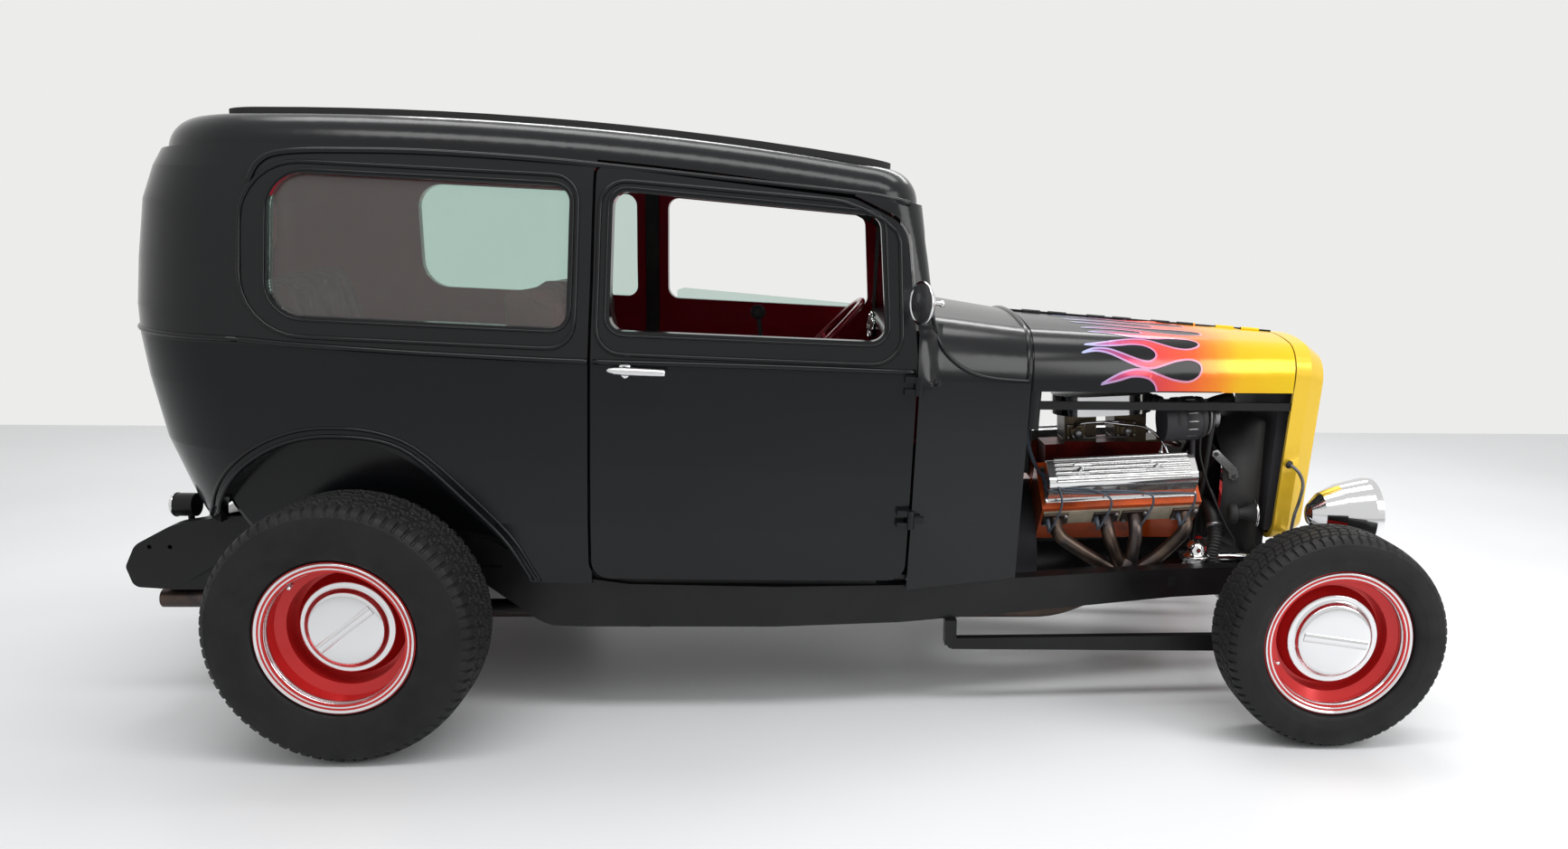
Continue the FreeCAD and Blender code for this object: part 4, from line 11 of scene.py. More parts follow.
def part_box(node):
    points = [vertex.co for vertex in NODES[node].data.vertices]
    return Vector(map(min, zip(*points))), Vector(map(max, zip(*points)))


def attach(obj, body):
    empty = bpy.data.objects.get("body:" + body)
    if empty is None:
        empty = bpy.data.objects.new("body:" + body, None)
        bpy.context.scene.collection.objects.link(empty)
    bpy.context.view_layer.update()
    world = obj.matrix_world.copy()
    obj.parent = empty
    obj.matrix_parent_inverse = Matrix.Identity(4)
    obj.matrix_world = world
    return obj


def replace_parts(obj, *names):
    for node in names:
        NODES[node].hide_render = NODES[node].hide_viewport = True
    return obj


bl_info = {
    "name": "Hot rod dressing",
    "version": (1, 0, 0),
    "blender": (4, 5, 0),
    "location": "3D View > Sidebar > Hot Rod",
    "description": "Dresses the hot rod with paint, flames, trim, tyres, engine parts and a cabin",
    "category": "Add Mesh",
}

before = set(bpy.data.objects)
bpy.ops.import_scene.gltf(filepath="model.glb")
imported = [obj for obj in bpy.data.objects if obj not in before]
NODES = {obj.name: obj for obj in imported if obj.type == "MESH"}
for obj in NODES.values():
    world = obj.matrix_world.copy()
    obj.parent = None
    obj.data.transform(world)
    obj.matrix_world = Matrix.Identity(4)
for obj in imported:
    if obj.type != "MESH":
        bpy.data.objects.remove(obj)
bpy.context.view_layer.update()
SIDES = (("right", -1), ("left", 1))
MM = 0.001


def middle(node):
    """The middle of a node's box."""
    low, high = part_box(node)
    return (low + high) / 2


# The source gives the rear axle's height over the datum, the body's lean and the engine's place.
REAR_AXLE_HEIGHT = 0.378
BODY_RAKE = math.radians(2.2)
ENGINE_RAKE = math.radians(-3)
REAR_AXLE = middle("tyre_rear_right").x
DATUM = middle("tyre_rear_right").z - REAR_AXLE_HEIGHT
CHASSIS_PLACE = Matrix.Translation((REAR_AXLE, 0, DATUM))
BODY_PLACE = CHASSIS_PLACE @ Matrix.Rotation(BODY_RAKE, 4, "Y")
BODY_TURN = BODY_PLACE.to_3x3()
ENGINE_PLACE = (CHASSIS_PLACE @ Matrix.Translation((1.962, 0, 0.405))
                @ Matrix.Rotation(ENGINE_RAKE, 4, "Y"))
FORWARD = ENGINE_PLACE.to_3x3() @ Vector((1, 0, 0))
MILLIMETRES = Matrix.Scale(MM, 4)
UP = (0, 0, 1)


def chassis(x, y, z):
    """A point given in millimetres in the chassis frame."""
    return CHASSIS_PLACE @ Vector((x * MM, y * MM, z * MM))


def body(x, y, z):
    """A point given in millimetres in the leaning body frame."""
    return BODY_PLACE @ Vector((x * MM, y * MM, z * MM))


def engine(x, y, z):
    """A point given in millimetres from the back of the crankshaft, forward, left and up."""
    return ENGINE_PLACE @ Vector((x * MM, y * MM, z * MM))


def colour_setting(name, text, default):
    return FloatVectorProperty(name=name, description=text, subtype="COLOR", size=3,
                               default=default, min=0, max=1)


def length_setting(name, text, default, low, high):
    return FloatProperty(name=name, description=text, unit="LENGTH", default=default,
                         min=low, max=high)


class PaintSettings(bpy.types.PropertyGroup):
    satin_black: colour_setting("Satin black", "Colour of the body and the hood's rear",
                                (0.0042, 0.0047, 0.0058))
    burgundy: colour_setting("Burgundy", "Colour of the cabin's inner panels",
                             (0.36, 0.010, 0.026))
    engine_orange: colour_setting("Engine orange", "Colour of the engine block and heads",
                                  (0.62, 0.090, 0.012))
    line_width: length_setting("Flame line", "Width of the line painted round the flames",
                               0.0065, 0.001, 0.02)


class TyreSettings(bpy.types.PropertyGroup):
    pitches: IntProperty(
        name="Tread pitches", description="How often the tread pattern repeats round a tyre",
        default=72, min=24, max=120)
    steps: IntProperty(
        name="Steps per pitch", description="Mesh steps in one tread pitch",
        default=8, min=4, max=12)
    groove_depth: length_setting("Groove depth", "Depth of the tread grooves",
                                 0.007, 0.001, 0.012)
    rear_rim: length_setting("Rear rim width", "Width between the rear tyres' beads",
                             0.2054, 0.1, 0.4)
    front_rim: length_setting("Front rim width", "Width between the front tyres' beads",
                              0.1374, 0.1, 0.4)


class TrimSettings(bpy.types.PropertyGroup):
    belt_radius: length_setting("Belt moulding", "Radius of the moulding along the belt line",
                                0.0078, 0.001, 0.02)
    surround_radius: length_setting("Window surround", "Radius of the lines round the windows",
                                    0.0068, 0.001, 0.02)
    drip_radius: length_setting("Drip rail", "Radius of the drip rail over the doors",
                                0.0085, 0.001, 0.02)


class CabinSettings(bpy.types.PropertyGroup):
    mesh_step: length_setting("Mesh step", "Size of the faces that the cushions swell with",
                              0.017, 0.004, 0.03)
    shrink: length_setting("Shrink", "How much smaller a cushion starts before it swells",
                           0.012, 0.0, 0.04)
    swell: length_setting("Swell", "How far a point of a cushion may move out",
                          0.024, 0.0, 0.04)
    channel_gap: length_setting("Channel width", "Width of the channels sewn into the seats",
                                0.085, 0.02, 0.3)
    channel_depth: length_setting("Channel depth", "Depth of the seams between the channels",
                                  0.008, 0.0, 0.03)


class StudioSettings(bpy.types.PropertyGroup):
    floor_colour: colour_setting("Floor", "Colour of the studio floor", (0.80, 0.81, 0.82))
    backdrop_colour: colour_setting("Backdrop", "Colour behind the floor, as the camera sees it",
                                    (0.84, 0.84, 0.83))
    sky_strength: FloatProperty(
        name="Fill light", description="Strength of the even light from all sides",
        default=0.62, min=0, max=2)
    lamp_power: FloatProperty(
        name="Lamp power", description="Power of each ceiling lamp",
        unit="POWER", default=70.0, min=0, max=1000)


# Node material helpers.

def add_node(tree, kind, inputs=None, **settings):
    """A shader node with its settings, and its sockets linked or set."""
    made = tree.nodes.new(kind)
    for key, value in settings.items():
        setattr(made, key, value)
    for key, value in (inputs or {}).items():
        if isinstance(value, bpy.types.NodeSocket):
            tree.links.new(value, made.inputs[key])
        else:
            made.inputs[key].default_value = value
    return made


def calc(tree, operation, first, second=0.0):
    """A maths node's result."""
    return add_node(tree, "ShaderNodeMath", {0: first, 1: second}, operation=operation).outputs[0]


def above(tree, value, limit):
    return calc(tree, "GREATER_THAN", value, limit)


def below(tree, value, limit):
    return calc(tree, "LESS_THAN", value, limit)


def both(tree, first, second):
    return calc(tree, "MULTIPLY", first, second)


def mix(tree, factor, first, second):
    """A colour between two others."""
    made = add_node(tree, "ShaderNodeMix", {"Factor": factor}, data_type="RGBA")
    for socket, value in ((made.inputs[6], first), (made.inputs[7], second)):
        if isinstance(value, bpy.types.NodeSocket):
            tree.links.new(value, socket)
        else:
            socket.default_value = (*value[:3], 1)
    return made.outputs[2]


def coordinates(tree, kind="Object"):
    return add_node(tree, "ShaderNodeTexCoord").outputs[kind]


def split(tree, kind="Object"):
    return add_node(tree, "ShaderNodeSeparateXYZ", {0: coordinates(tree, kind)}).outputs


def noise(tree, scale, detail=3.0, stretch=None):
    """Noise over the piece, with an even or a stretched scale."""
    vector = coordinates(tree)
    if stretch:
        vector = add_node(tree, "ShaderNodeMapping",
                          {"Vector": vector, "Scale": stretch}).outputs[0]
    return add_node(tree, "ShaderNodeTexNoise",
                    {"Vector": vector, "Scale": scale, "Detail": detail}).outputs["Fac"]


def spread(tree, factor, low, high):
    """A factor from 0 to 1 mapped onto a range."""
    return add_node(tree, "ShaderNodeMapRange",
                    {"Value": factor, "From Min": 0.3, "From Max": 0.7, "To Min": low,
                     "To Max": high}).outputs[0]


def patches(tree, scale, detail=3.0):
    """Soft patches from 0 to 1."""
    return spread(tree, noise(tree, scale, detail), 0, 1)


def ramp(tree, factor, stops):
    """A colour ramp from (place, colour) stops."""
    made = add_node(tree, "ShaderNodeValToRGB", {"Fac": factor})
    bar = made.color_ramp
    while len(bar.elements) < len(stops):
        bar.elements.new(0.5)
    for element, (place, colour) in zip(bar.elements, stops):
        element.position = place
        element.color = (*colour, 1)
    return made.outputs["Color"]


def shaded(name, colour, roughness, metallic=0.0, coat=0.0, vary=0.06, cloud=2.5,
           grain=0.0, grain_scale=600.0, specular=0.5, stretch=None):
    """A finish whose colour and gloss vary a little, with a fine grain in its bump."""
    material = bpy.data.materials.new(name)
    material.use_nodes = True
    tree = material.node_tree
    shader = tree.nodes["Principled BSDF"]
    shader.inputs["Metallic"].default_value = metallic
    shader.inputs["Specular IOR Level"].default_value = specular
    shader.inputs["Coat Weight"].default_value = coat
    shader.inputs["Coat Roughness"].default_value = 0.04
    darker = tuple(c * (1 - 4 * vary) for c in colour)
    lighter = tuple(min(1, c * (1 + 2 * vary)) for c in colour)
    tree.links.new(mix(tree, patches(tree, cloud), darker, lighter), shader.inputs["Base Color"])
    gloss = spread(tree, noise(tree, cloud * 3.1), roughness * (1 - vary * 2),
                   roughness * (1 + vary * 2))
    tree.links.new(gloss, shader.inputs["Roughness"])
    if grain:
        height = noise(tree, grain_scale, 5.0, stretch)
        bump = add_node(tree, "ShaderNodeBump",
                        {"Strength": grain, "Distance": 0.001, "Height": height})
        tree.links.new(bump.outputs[0], shader.inputs["Normal"])
    return material


# What shaded() takes for each finish that isn't one of the part's own materials: colour (or the
# paint setting that holds it), roughness, metallic, coat, vary, cloud, grain, grain scale,
# specular and stretch.
FINISHES = {
    "carb_zinc": ((0.10, 0.078, 0.045), 0.4, 0.75, 0, 0.1, 18, 0.4, 300),
    "braid_grey": ((0.16, 0.16, 0.17), 0.4, 0.8, 0, 0.1, 30, 0.8, 900),
    "satin_black": ("satin_black", 0.19, 0, 0, 0.05, 1.6, 0.02, 900, 0.3),
    "body_paint": ("satin_black", 0.19, 0, 0, 0.05, 1.6, 0.02, 900, 0.3),
    "hood_paint": ((0.01, 0.01, 0.01), 0.19, 0, 0, 0.02, 2.5, 0, 600, 0.3),
    "flame_line": ((0.6, 0.2, 0.4), 0.28, 0, 0.35, 0.02),
    "burgundy_paint": ("burgundy", 0.24, 0, 0.5, 0.05, 3),
    "burgundy_cloth": ((0.105, 0.011, 0.017), 0.78, 0, 0, 0.12, 9, 0.7, 520),
    "chassis_black": ((0.0060, 0.0060, 0.0068), 0.36, 0, 0, 0.09, 5, 0.1, 500, 0.28),
    "hose_rubber": ((0.013, 0.013, 0.013), 0.55, 0, 0, 0.06, 14, 0.25, 700),
    "tyre_rubber": ((0.0105, 0.0105, 0.0110), 0.60, 0, 0, 0.09, 7, 0.3, 420, 0.25),
    "gasket_cream": ((0.42, 0.36, 0.27), 0.6, 0, 0, 0.08, 16, 0.4, 300),
    "lead_grey": ((0.055, 0.070, 0.095), 0.42, 0, 0, 0.06, 20),
    "mirror_back": ((0.03, 0.03, 0.032), 0.25, 0, 0, 0.05, 8, 0, 600, 0.4),
    "window_tint": ((0.80, 0.96, 0.90), 0.008),
}
FLAME_STOPS = [
    (0.00, (0.22, 0.36, 0.52)), (0.09, (0.26, 0.10, 0.30)), (0.22, (0.46, 0.035, 0.13)),
    (0.38, (0.74, 0.065, 0.055)), (0.52, (0.82, 0.115, 0.030)), (0.62, (0.86, 0.24, 0.016)),
    (0.74, (0.86, 0.48, 0.008)), (1.00, (0.84, 0.56, 0.008)),
]
LINE_STOPS = [
    (0.00, (0.34, 0.50, 0.68)), (0.12, (0.40, 0.30, 0.55)), (0.30, (0.50, 0.16, 0.34)),
    (0.50, (0.62, 0.24, 0.36)), (0.70, (0.74, 0.40, 0.40)), (1.00, (0.84, 0.60, 0.30)),
]
HEAT_STOPS = [
    (0.0, (0.030, 0.024, 0.022)), (0.4, (0.105, 0.075, 0.058)), (0.62, (0.060, 0.050, 0.052)),
    (1.0, (0.17, 0.135, 0.11)),
]
# Where the flames start and end along the hood, and where its skin takes their colours whole.
FLAME_TIP, FLAME_ROOT, FLAME_WHOLE = 1960, 2692, 2440
# The height in the chassis frame below which the engine block turns near black, and the intake's
# deck over the crankshaft.
DARK_LINE, INTAKE_DECK = 452, 334
# Heights over the floor, in metres, at which the cabin's side panels, back and lining start.
SIDE_FOOT, BACK_FOOT, LINING_FOOT = 0.6, 0.9, 1.40


def painted(name):
    return tuple(getattr(bpy.context.scene.hot_rod_paint, name))


def dimmed(colour, share):
    return tuple(c * share for c in colour)


def oily_orange(tree):
    """Orange with films of oil, and near black below a set height."""
    grime = calc(tree, "POWER", patches(tree, 11, 6), 2.2)
    dirty = mix(tree, both(tree, grime, 0.75), painted("engine_orange"), (0.06, 0.022, 0.012))
    # The block is coloured near black below this height.
    under_line = below(tree, split(tree)["Z"], chassis(0, 0, DARK_LINE).z)
    return {"Base Color": mix(tree, under_line, dirty, (0.009, 0.008, 0.008))}


def heated(tree):
    return {"Base Color": ramp(tree, patches(tree, 5.5, 4), HEAT_STOPS)}


def inside_factor(tree):
    """1 on faces that look into the cabin, from the place and the direction of a face."""
    place, facing = split(tree), split(tree, "Normal")
    inward = below(tree, both(tree, place["Y"], facing["Y"]), -0.12)
    side = both(tree, inward, above(tree, place["Z"], SIDE_FOOT))
    back = both(tree, above(tree, facing["X"], 0.45), below(tree, place["X"], REAR_AXLE - 0.3))
    back = both(tree, back, above(tree, place["Z"], BACK_FOOT))
    lining = both(tree, below(tree, facing["Z"], -0.35), above(tree, place["Z"], LINING_FOOT))
    return calc(tree, "MAXIMUM", calc(tree, "MAXIMUM", side, back), lining)


def two_tone(tree):
    """Satin black outside and burgundy inside the cabin."""
    black, burgundy = painted("satin_black"), painted("burgundy")
    share = patches(tree, 1.4)
    outer = mix(tree, share, dimmed(black, 0.85), dimmed(black, 1.15))
    inner = mix(tree, share, dimmed(burgundy, 0.85), burgundy)
    inside = inside_factor(tree)
    rough = spread(tree, noise(tree, 4), 0.17, 0.22)
    return {"Base Color": mix(tree, inside, outer, inner),
            "Roughness": calc(tree, "SUBTRACT", rough, both(tree, inside, 0.08))}


def along_hood(tree):
    """0 at the flames' tips and 1 at the front of the hood, with a soft wander."""
    low, high = body(FLAME_TIP, 0, 1150).x, body(FLAME_ROOT, 0, 1150).x
    share = add_node(tree, "ShaderNodeMapRange",
                     {"Value": split(tree)["X"], "From Min": low, "From Max": high}).outputs[0]
    wander = both(tree, calc(tree, "SUBTRACT", noise(tree, 9), 0.5), 0.10)
    return calc(tree, "ADD", share, wander)


def hood_colours(tree):
    """Black behind the flames, their colours in front, and black inside."""
    place, facing = split(tree), split(tree, "Normal")
    front = above(tree, place["X"], body(FLAME_WHOLE, 0, 1150).x)
    outward = above(tree, both(tree, place["Y"], facing["Y"]), 0.0)
    up = calc(tree, "MAXIMUM", outward, above(tree, facing["Z"], 0.3))
    return {"Base Color": mix(tree, both(tree, front, up), painted("satin_black"),
                              ramp(tree, along_hood(tree), FLAME_STOPS))}


def intake_colours(tree):
    """A dull red casting, with the carburettors' dark zinc above its deck."""
    deck = above(tree, split(tree)["Z"], engine(240, 0, INTAKE_DECK).z)
    zinc = mix(tree, patches(tree, 16), (0.030, 0.026, 0.020), (0.085, 0.065, 0.038))
    red = mix(tree, patches(tree, 14), (0.05, 0.008, 0.008), (0.19, 0.014, 0.012))
    return {"Base Color": mix(tree, deck, red, zinc)}


def tinted(tree):
    """Clear glass under a thin veil of reflected haze."""
    shader = tree.nodes["Principled BSDF"]
    shader.inputs["Transmission Weight"].default_value = 1.0
    shader.inputs["IOR"].default_value = 1.45
    veil = add_node(tree, "ShaderNodeBsdfDiffuse", {"Color": (0.30, 0.26, 0.25, 1)})
    blend = add_node(tree, "ShaderNodeMixShader", {"Fac": 0.10, 1: shader.outputs[0],
                                                   2: veil.outputs[0]})
    tree.links.new(blend.outputs[0], tree.nodes["Material Output"].inputs["Surface"])
    tint, roughness = FINISHES["window_tint"]
    return {"Base Color": mix(tree, patches(tree, 3), dimmed(tint, 0.98), tint),
            "Roughness": spread(tree, noise(tree, 6), roughness, roughness * 1.6)}


# Materials that have some sockets set anew from nodes of their own.
COLOURING = {
    "engine_orange": oily_orange, "header_steel": heated, "body_paint": two_tone,
    "hood_paint": hood_colours, "intake_red": intake_colours, "window_tint": tinted,
    "flame_paint": lambda tree: {"Base Color": ramp(tree, along_hood(tree), FLAME_STOPS)},
    "flame_line": lambda tree: {"Base Color": ramp(tree, along_hood(tree), LINE_STOPS)},
}


def finish(name):
    """The part's own material of this name, or a finish that is made when it is first used."""
    material = bpy.data.materials.get(name)
    if material is None:
        colour, *rest = FINISHES[name]
        material = shaded(name, painted(colour) if isinstance(colour, str) else colour, *rest)
    if name in COLOURING and "coloured" not in material:
        material["coloured"] = True
        tree = material.node_tree
        for socket, value in COLOURING[name](tree).items():
            tree.links.new(value, tree.nodes["Principled BSDF"].inputs[socket])
    return material


# Mesh helpers.

def place_object(name, data, material, rider="car"):
    """An object of this data, with its finish and the body that it rides on."""
    made = bpy.data.objects.new(name, data)
    bpy.context.scene.collection.objects.link(made)
    data.materials.append(finish(material))
    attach(made, rider)
    return made


def soften(data):
    data.polygons.foreach_set("use_smooth", [True] * len(data.polygons))


def mesh_piece(name, points, faces, material, rider="car", smooth=True):
    data = bpy.data.meshes.new(name)
    data.from_pydata([tuple(p) for p in points], [], [tuple(f) for f in faces])
    if smooth:
        soften(data)
    data.update()
    return place_object(name, data, material, rider)


def bmesh_piece(name, work, material, rider="car", smooth=True):
    """A piece from a bmesh, which is freed."""
    data = bpy.data.meshes.new(name)
    work.to_mesh(data)
    work.free()
    if smooth:
        soften(data)
    return place_object(name, data, material, rider)


def joined(name, parts, material, rider="car", smooth=True):
    """One piece from several lists of points and faces."""
    points, faces = [], []
    for more_points, more_faces in parts:
        start = len(points)
        points += list(more_points)
        faces += [[start + k for k in face] for face in more_faces]
    return mesh_piece(name, points, faces, material, rider, smooth)


def facing_frame(axis):
    """A turn whose Z axis points along the given direction."""
    return Vector(axis).normalized().to_track_quat("Z", "Y").to_matrix()


def circle(count):
    """The cosines and sines of evenly spaced angles."""
    angles = [2 * math.pi * k / count for k in range(count)]
    return [(math.cos(angle), math.sin(angle)) for angle in angles]


def grid_faces(rows, wide, loop_rows=False, loop_wide=False, flip=False):
    """Quads between numbered rows of points that are each this many points wide."""
    faces = []
    for k in range(rows if loop_rows else rows - 1):
        first, second = k * wide, (k + 1) % rows * wide
        for j in range(wide if loop_wide else wide - 1):
            after = (j + 1) % wide
            quad = [first + j, first + after, second + after, second + j]
            faces.append(quad[::-1] if flip else quad)
    return faces


def lathe_mesh(profile, centre, axis, segments=64, closed=False):
    """Points and faces of (along, radius) pairs in millimetres turned about an axis."""
    turn = facing_frame(axis)
    centre = Vector(centre)
    points, rows = [], []
    for along, radius in profile:
        spokes = circle(segments) if radius else [(0, 0)]
        rows.append([len(points) + k for k in range(len(spokes))])
        points += [centre + turn @ Vector((radius * MM * c, radius * MM * s, along * MM))
                   for c, s in spokes]
    faces = []
    for lower, upper in zip(rows, rows[1:] + ([rows[0]] if closed else [])):
        for k in range(segments):
            following = (k + 1) % segments
            quad = [lower[k % len(lower)], lower[following % len(lower)],
                    upper[following % len(upper)], upper[k % len(upper)]]
            face = list(dict.fromkeys(quad))
            if len(face) > 2:
                faces.append(face)
    return points, faces


def lathe(name, profile, centre, axis, material, segments=64, rider="car", closed=False):
    return joined(name, [lathe_mesh(profile, centre, axis, segments, closed)], material, rider)


def smooth_line(points, steps=8, corners=(), closed=False):
    """Points of a soft curve through given ones, with sharp turns at the corners."""
    points = [Vector(p) for p in points]
    count = len(points)
    line = []
    spans = count if closed else count - 1
    for k in range(spans):
        here, after = points[k], points[(k + 1) % count]
        before = points[k - 1] if (closed or k > 0) and k not in corners else here
        beyond = after
        if (closed or k + 2 < count) and (k + 1) % count not in corners:
            beyond = points[(k + 2) % count]
        for step in range(steps):
            share = step / steps
            line.append(0.5 * ((2 * here) + (after - before) * share
                               + (2 * before - 5 * here + 4 * after - beyond) * share ** 2
                               + (3 * here - before - 3 * after + beyond) * share ** 3))
    if not closed:
        line.append(points[-1])
    return line


def curve(place, points, steps=8):
    """A soft curve through points given in millimetres in one of the frames."""
    return smooth_line([place(*point) for point in points], steps)


def tube_mesh(line, radius, sides=10, closed=False):
    """A tube along a line. The radius is a number, or a function of the share along it."""
    line = [Vector(p) for p in line]
    count = len(line)
    size = radius if callable(radius) else (lambda share: radius)
    points = []
    normal = None
    for k, here in enumerate(line):
        after = line[(k + 1) % count] if closed or k + 1 < count else here
        before = line[k - 1] if closed or k > 0 else here
        ahead = (after - before).normalized()
        if normal is None:
            normal = ahead.orthogonal().normalized()
        normal = (normal - ahead * normal.dot(ahead)).normalized()
        other = ahead.cross(normal)
        wide = size(k / max(1, count - 1))
        points += [here + (normal * c + other * s) * wide for c, s in circle(sides)]
    faces = grid_faces(count, sides, loop_rows=closed, loop_wide=True)
    if not closed:
        faces.append(list(range(sides))[::-1])
        faces.append([(count - 1) * sides + side for side in range(sides)])
    return points, faces


def tube(name, line, radius, material, sides=10, rider="car", closed=False):
    return joined(name, [tube_mesh(line, radius, sides, closed)], material, rider)


def slab_mesh(low, high, place=None, chamfer=0.0):
    """A box between two corners with bevelled edges, moved by a matrix."""
    work = bmesh.new()
    bmesh.ops.create_cube(work, size=1)
    low, high = Vector(low), Vector(high)
    for vertex in work.verts:
        for axis in range(3):
            share = vertex.co[axis] + 0.5
            vertex.co[axis] = low[axis] + (high[axis] - low[axis]) * share
    if chamfer:
        bmesh.ops.bevel(work, geom=work.edges[:], offset=chamfer, segments=2, affect="EDGES",
                        profile=0.7)
    if place:
        bmesh.ops.transform(work, matrix=place, verts=work.verts[:])
        if place.determinant() < 0:
            bmesh.ops.reverse_faces(work, faces=work.faces[:])
    work.verts.index_update()
    points = [v.co.copy() for v in work.verts]
    faces = [[v.index for v in f.verts] for f in work.faces]
    work.free()
    return points, faces


def search_tree(*names):
    """A tree over the faces of CAD nodes, for finding points on them."""
    points, faces = [], []
    for name in names:
        data = NODES[name].data
        start = len(points)
        points += [v.co.copy() for v in data.vertices]
        faces += [[start + k for k in face.vertices] for face in data.polygons]
    return BVHTree.FromPolygons(points, faces)


def side_hit(tree, side, x, z):
    """The point and outward direction of the body's side at a place seen from outside."""
    out = BODY_TURN @ Vector((0, side, 0))
    place, normal, _, _ = tree.ray_cast(body(x, side * 1300, z), -out, 1.2)
    if place is None:
        return None
    return place, (normal if normal.dot(out) > 0 else -normal)


def plate_piece(name, outlines, material, rider="car"):
    """A flat plate between two like outlines."""
    work = bmesh.new()
    near, far = [[work.verts.new(p) for p in outline] for outline in outlines]
    work.faces.new(near)
    work.faces.new(far)
    for k in range(len(near)):
        after = (k + 1) % len(near)
        work.faces.new([near[k], near[after], far[after], far[k]])
    bmesh.ops.recalc_face_normals(work, faces=work.faces[:])
    bmesh_piece(name, work, material, rider, smooth=False)


# How far a moulding's middle lies over the skin, as a share of its radius.
MOULDING_LIFT = 0.15


def moulding(name, tree, side, path, radius, rider="car", steps=10, closed=False, rays=None):
    """A raised line along the body through (x, z) places, or along given rays."""
    hits = []
    if rays is None:
        for point in smooth_line([(x, z, 0) for x, z in path], steps, (), closed):
            hits.append(side_hit(tree, side, point.x, point.y))
    else:
        for start, direction in rays:
            place, normal, _, _ = tree.ray_cast(start, direction, 2.5)
            if place is not None:
                hits.append((place, normal if normal.dot(direction) < 0 else -normal))
    line = [hit[0] + hit[1] * radius * MOULDING_LIFT for hit in hits if hit]
    for _ in range(2):
        line = [line[k] if (not closed and k in (0, len(line) - 1))
                else (line[k - 1] + 2 * line[k] + line[(k + 1) % len(line)]) / 4
                for k in range(len(line))]
    return tube(name, line, radius, "satin_black", 8, rider, closed)


def over_cowl(degrees):
    """The direction out of the body at an angle from straight up towards the left."""
    angle = math.radians(degrees)
    return BODY_TURN @ Vector((0, math.sin(angle), math.cos(angle)))


def rounded(corners, steps=8):
    """A closed outline of (x, z, radius) corners with round turns."""
    line = []
    count = len(corners)
    for k, (x, z, radius) in enumerate(corners):
        here = Vector((x, z))
        before = (Vector(corners[k - 1][:2]) - here).normalized()
        after = (Vector(corners[(k + 1) % count][:2]) - here).normalized()
        half = before.angle(after) / 2
        reach = radius / math.tan(half)
        centre = here + (before + after).normalized() * radius / math.sin(half)
        first, last = here + before * reach, here + after * reach
        for step in range(steps + 1):
            chord = first.lerp(last, step / steps) - centre
            line.append(centre + chord.normalized() * radius)
    return line


def spaced(line, gap):
    """A closed line's points with more set between those that are further apart than the gap."""
    result = []
    count = len(line)
    for k in range(count):
        first, second = line[k], line[(k + 1) % count]
        parts = max(1, int((second - first).length / gap))
        result += [first.lerp(second, part / parts) for part in range(parts)]
    return result


# Each lamp's name, place, turn in degrees and size.
LAMPS = (
    ("ceiling_near", (0.3, -1.9, 3.6), (26, 0, 0), (5.0, 0.7)),
    ("ceiling_middle", (0.0, 0.4, 3.9), (0, 0, 0), (5.0, 0.9)),
    ("ceiling_far", (0.3, 2.6, 3.4), (-32, 0, 0), (5.0, 0.7)),
    ("front_left", (4.2, -2.6, 2.6), (62, 0, 55), (2.2, 2.2)),
)
FLOOR_REACH, FLOOR_BACK = 60.0, 4.0
# The photograph's size, centre and focal length in its own pixels. The camera's turns are in
# degrees, and its place is in metres from the rear axle and the datum.
FRAME_WIDE, FRAME_HIGH = 1735, 939
FRAME_CENTRE = (946.8, 498.9)
FOCAL_PIXELS = 1251.75
CAMERA_ROLL, CAMERA_TILT, CAMERA_SWING = -0.717, -11.737, -1.99
CAMERA_PLACE = (1.2497, -3.6921, 1.4693)


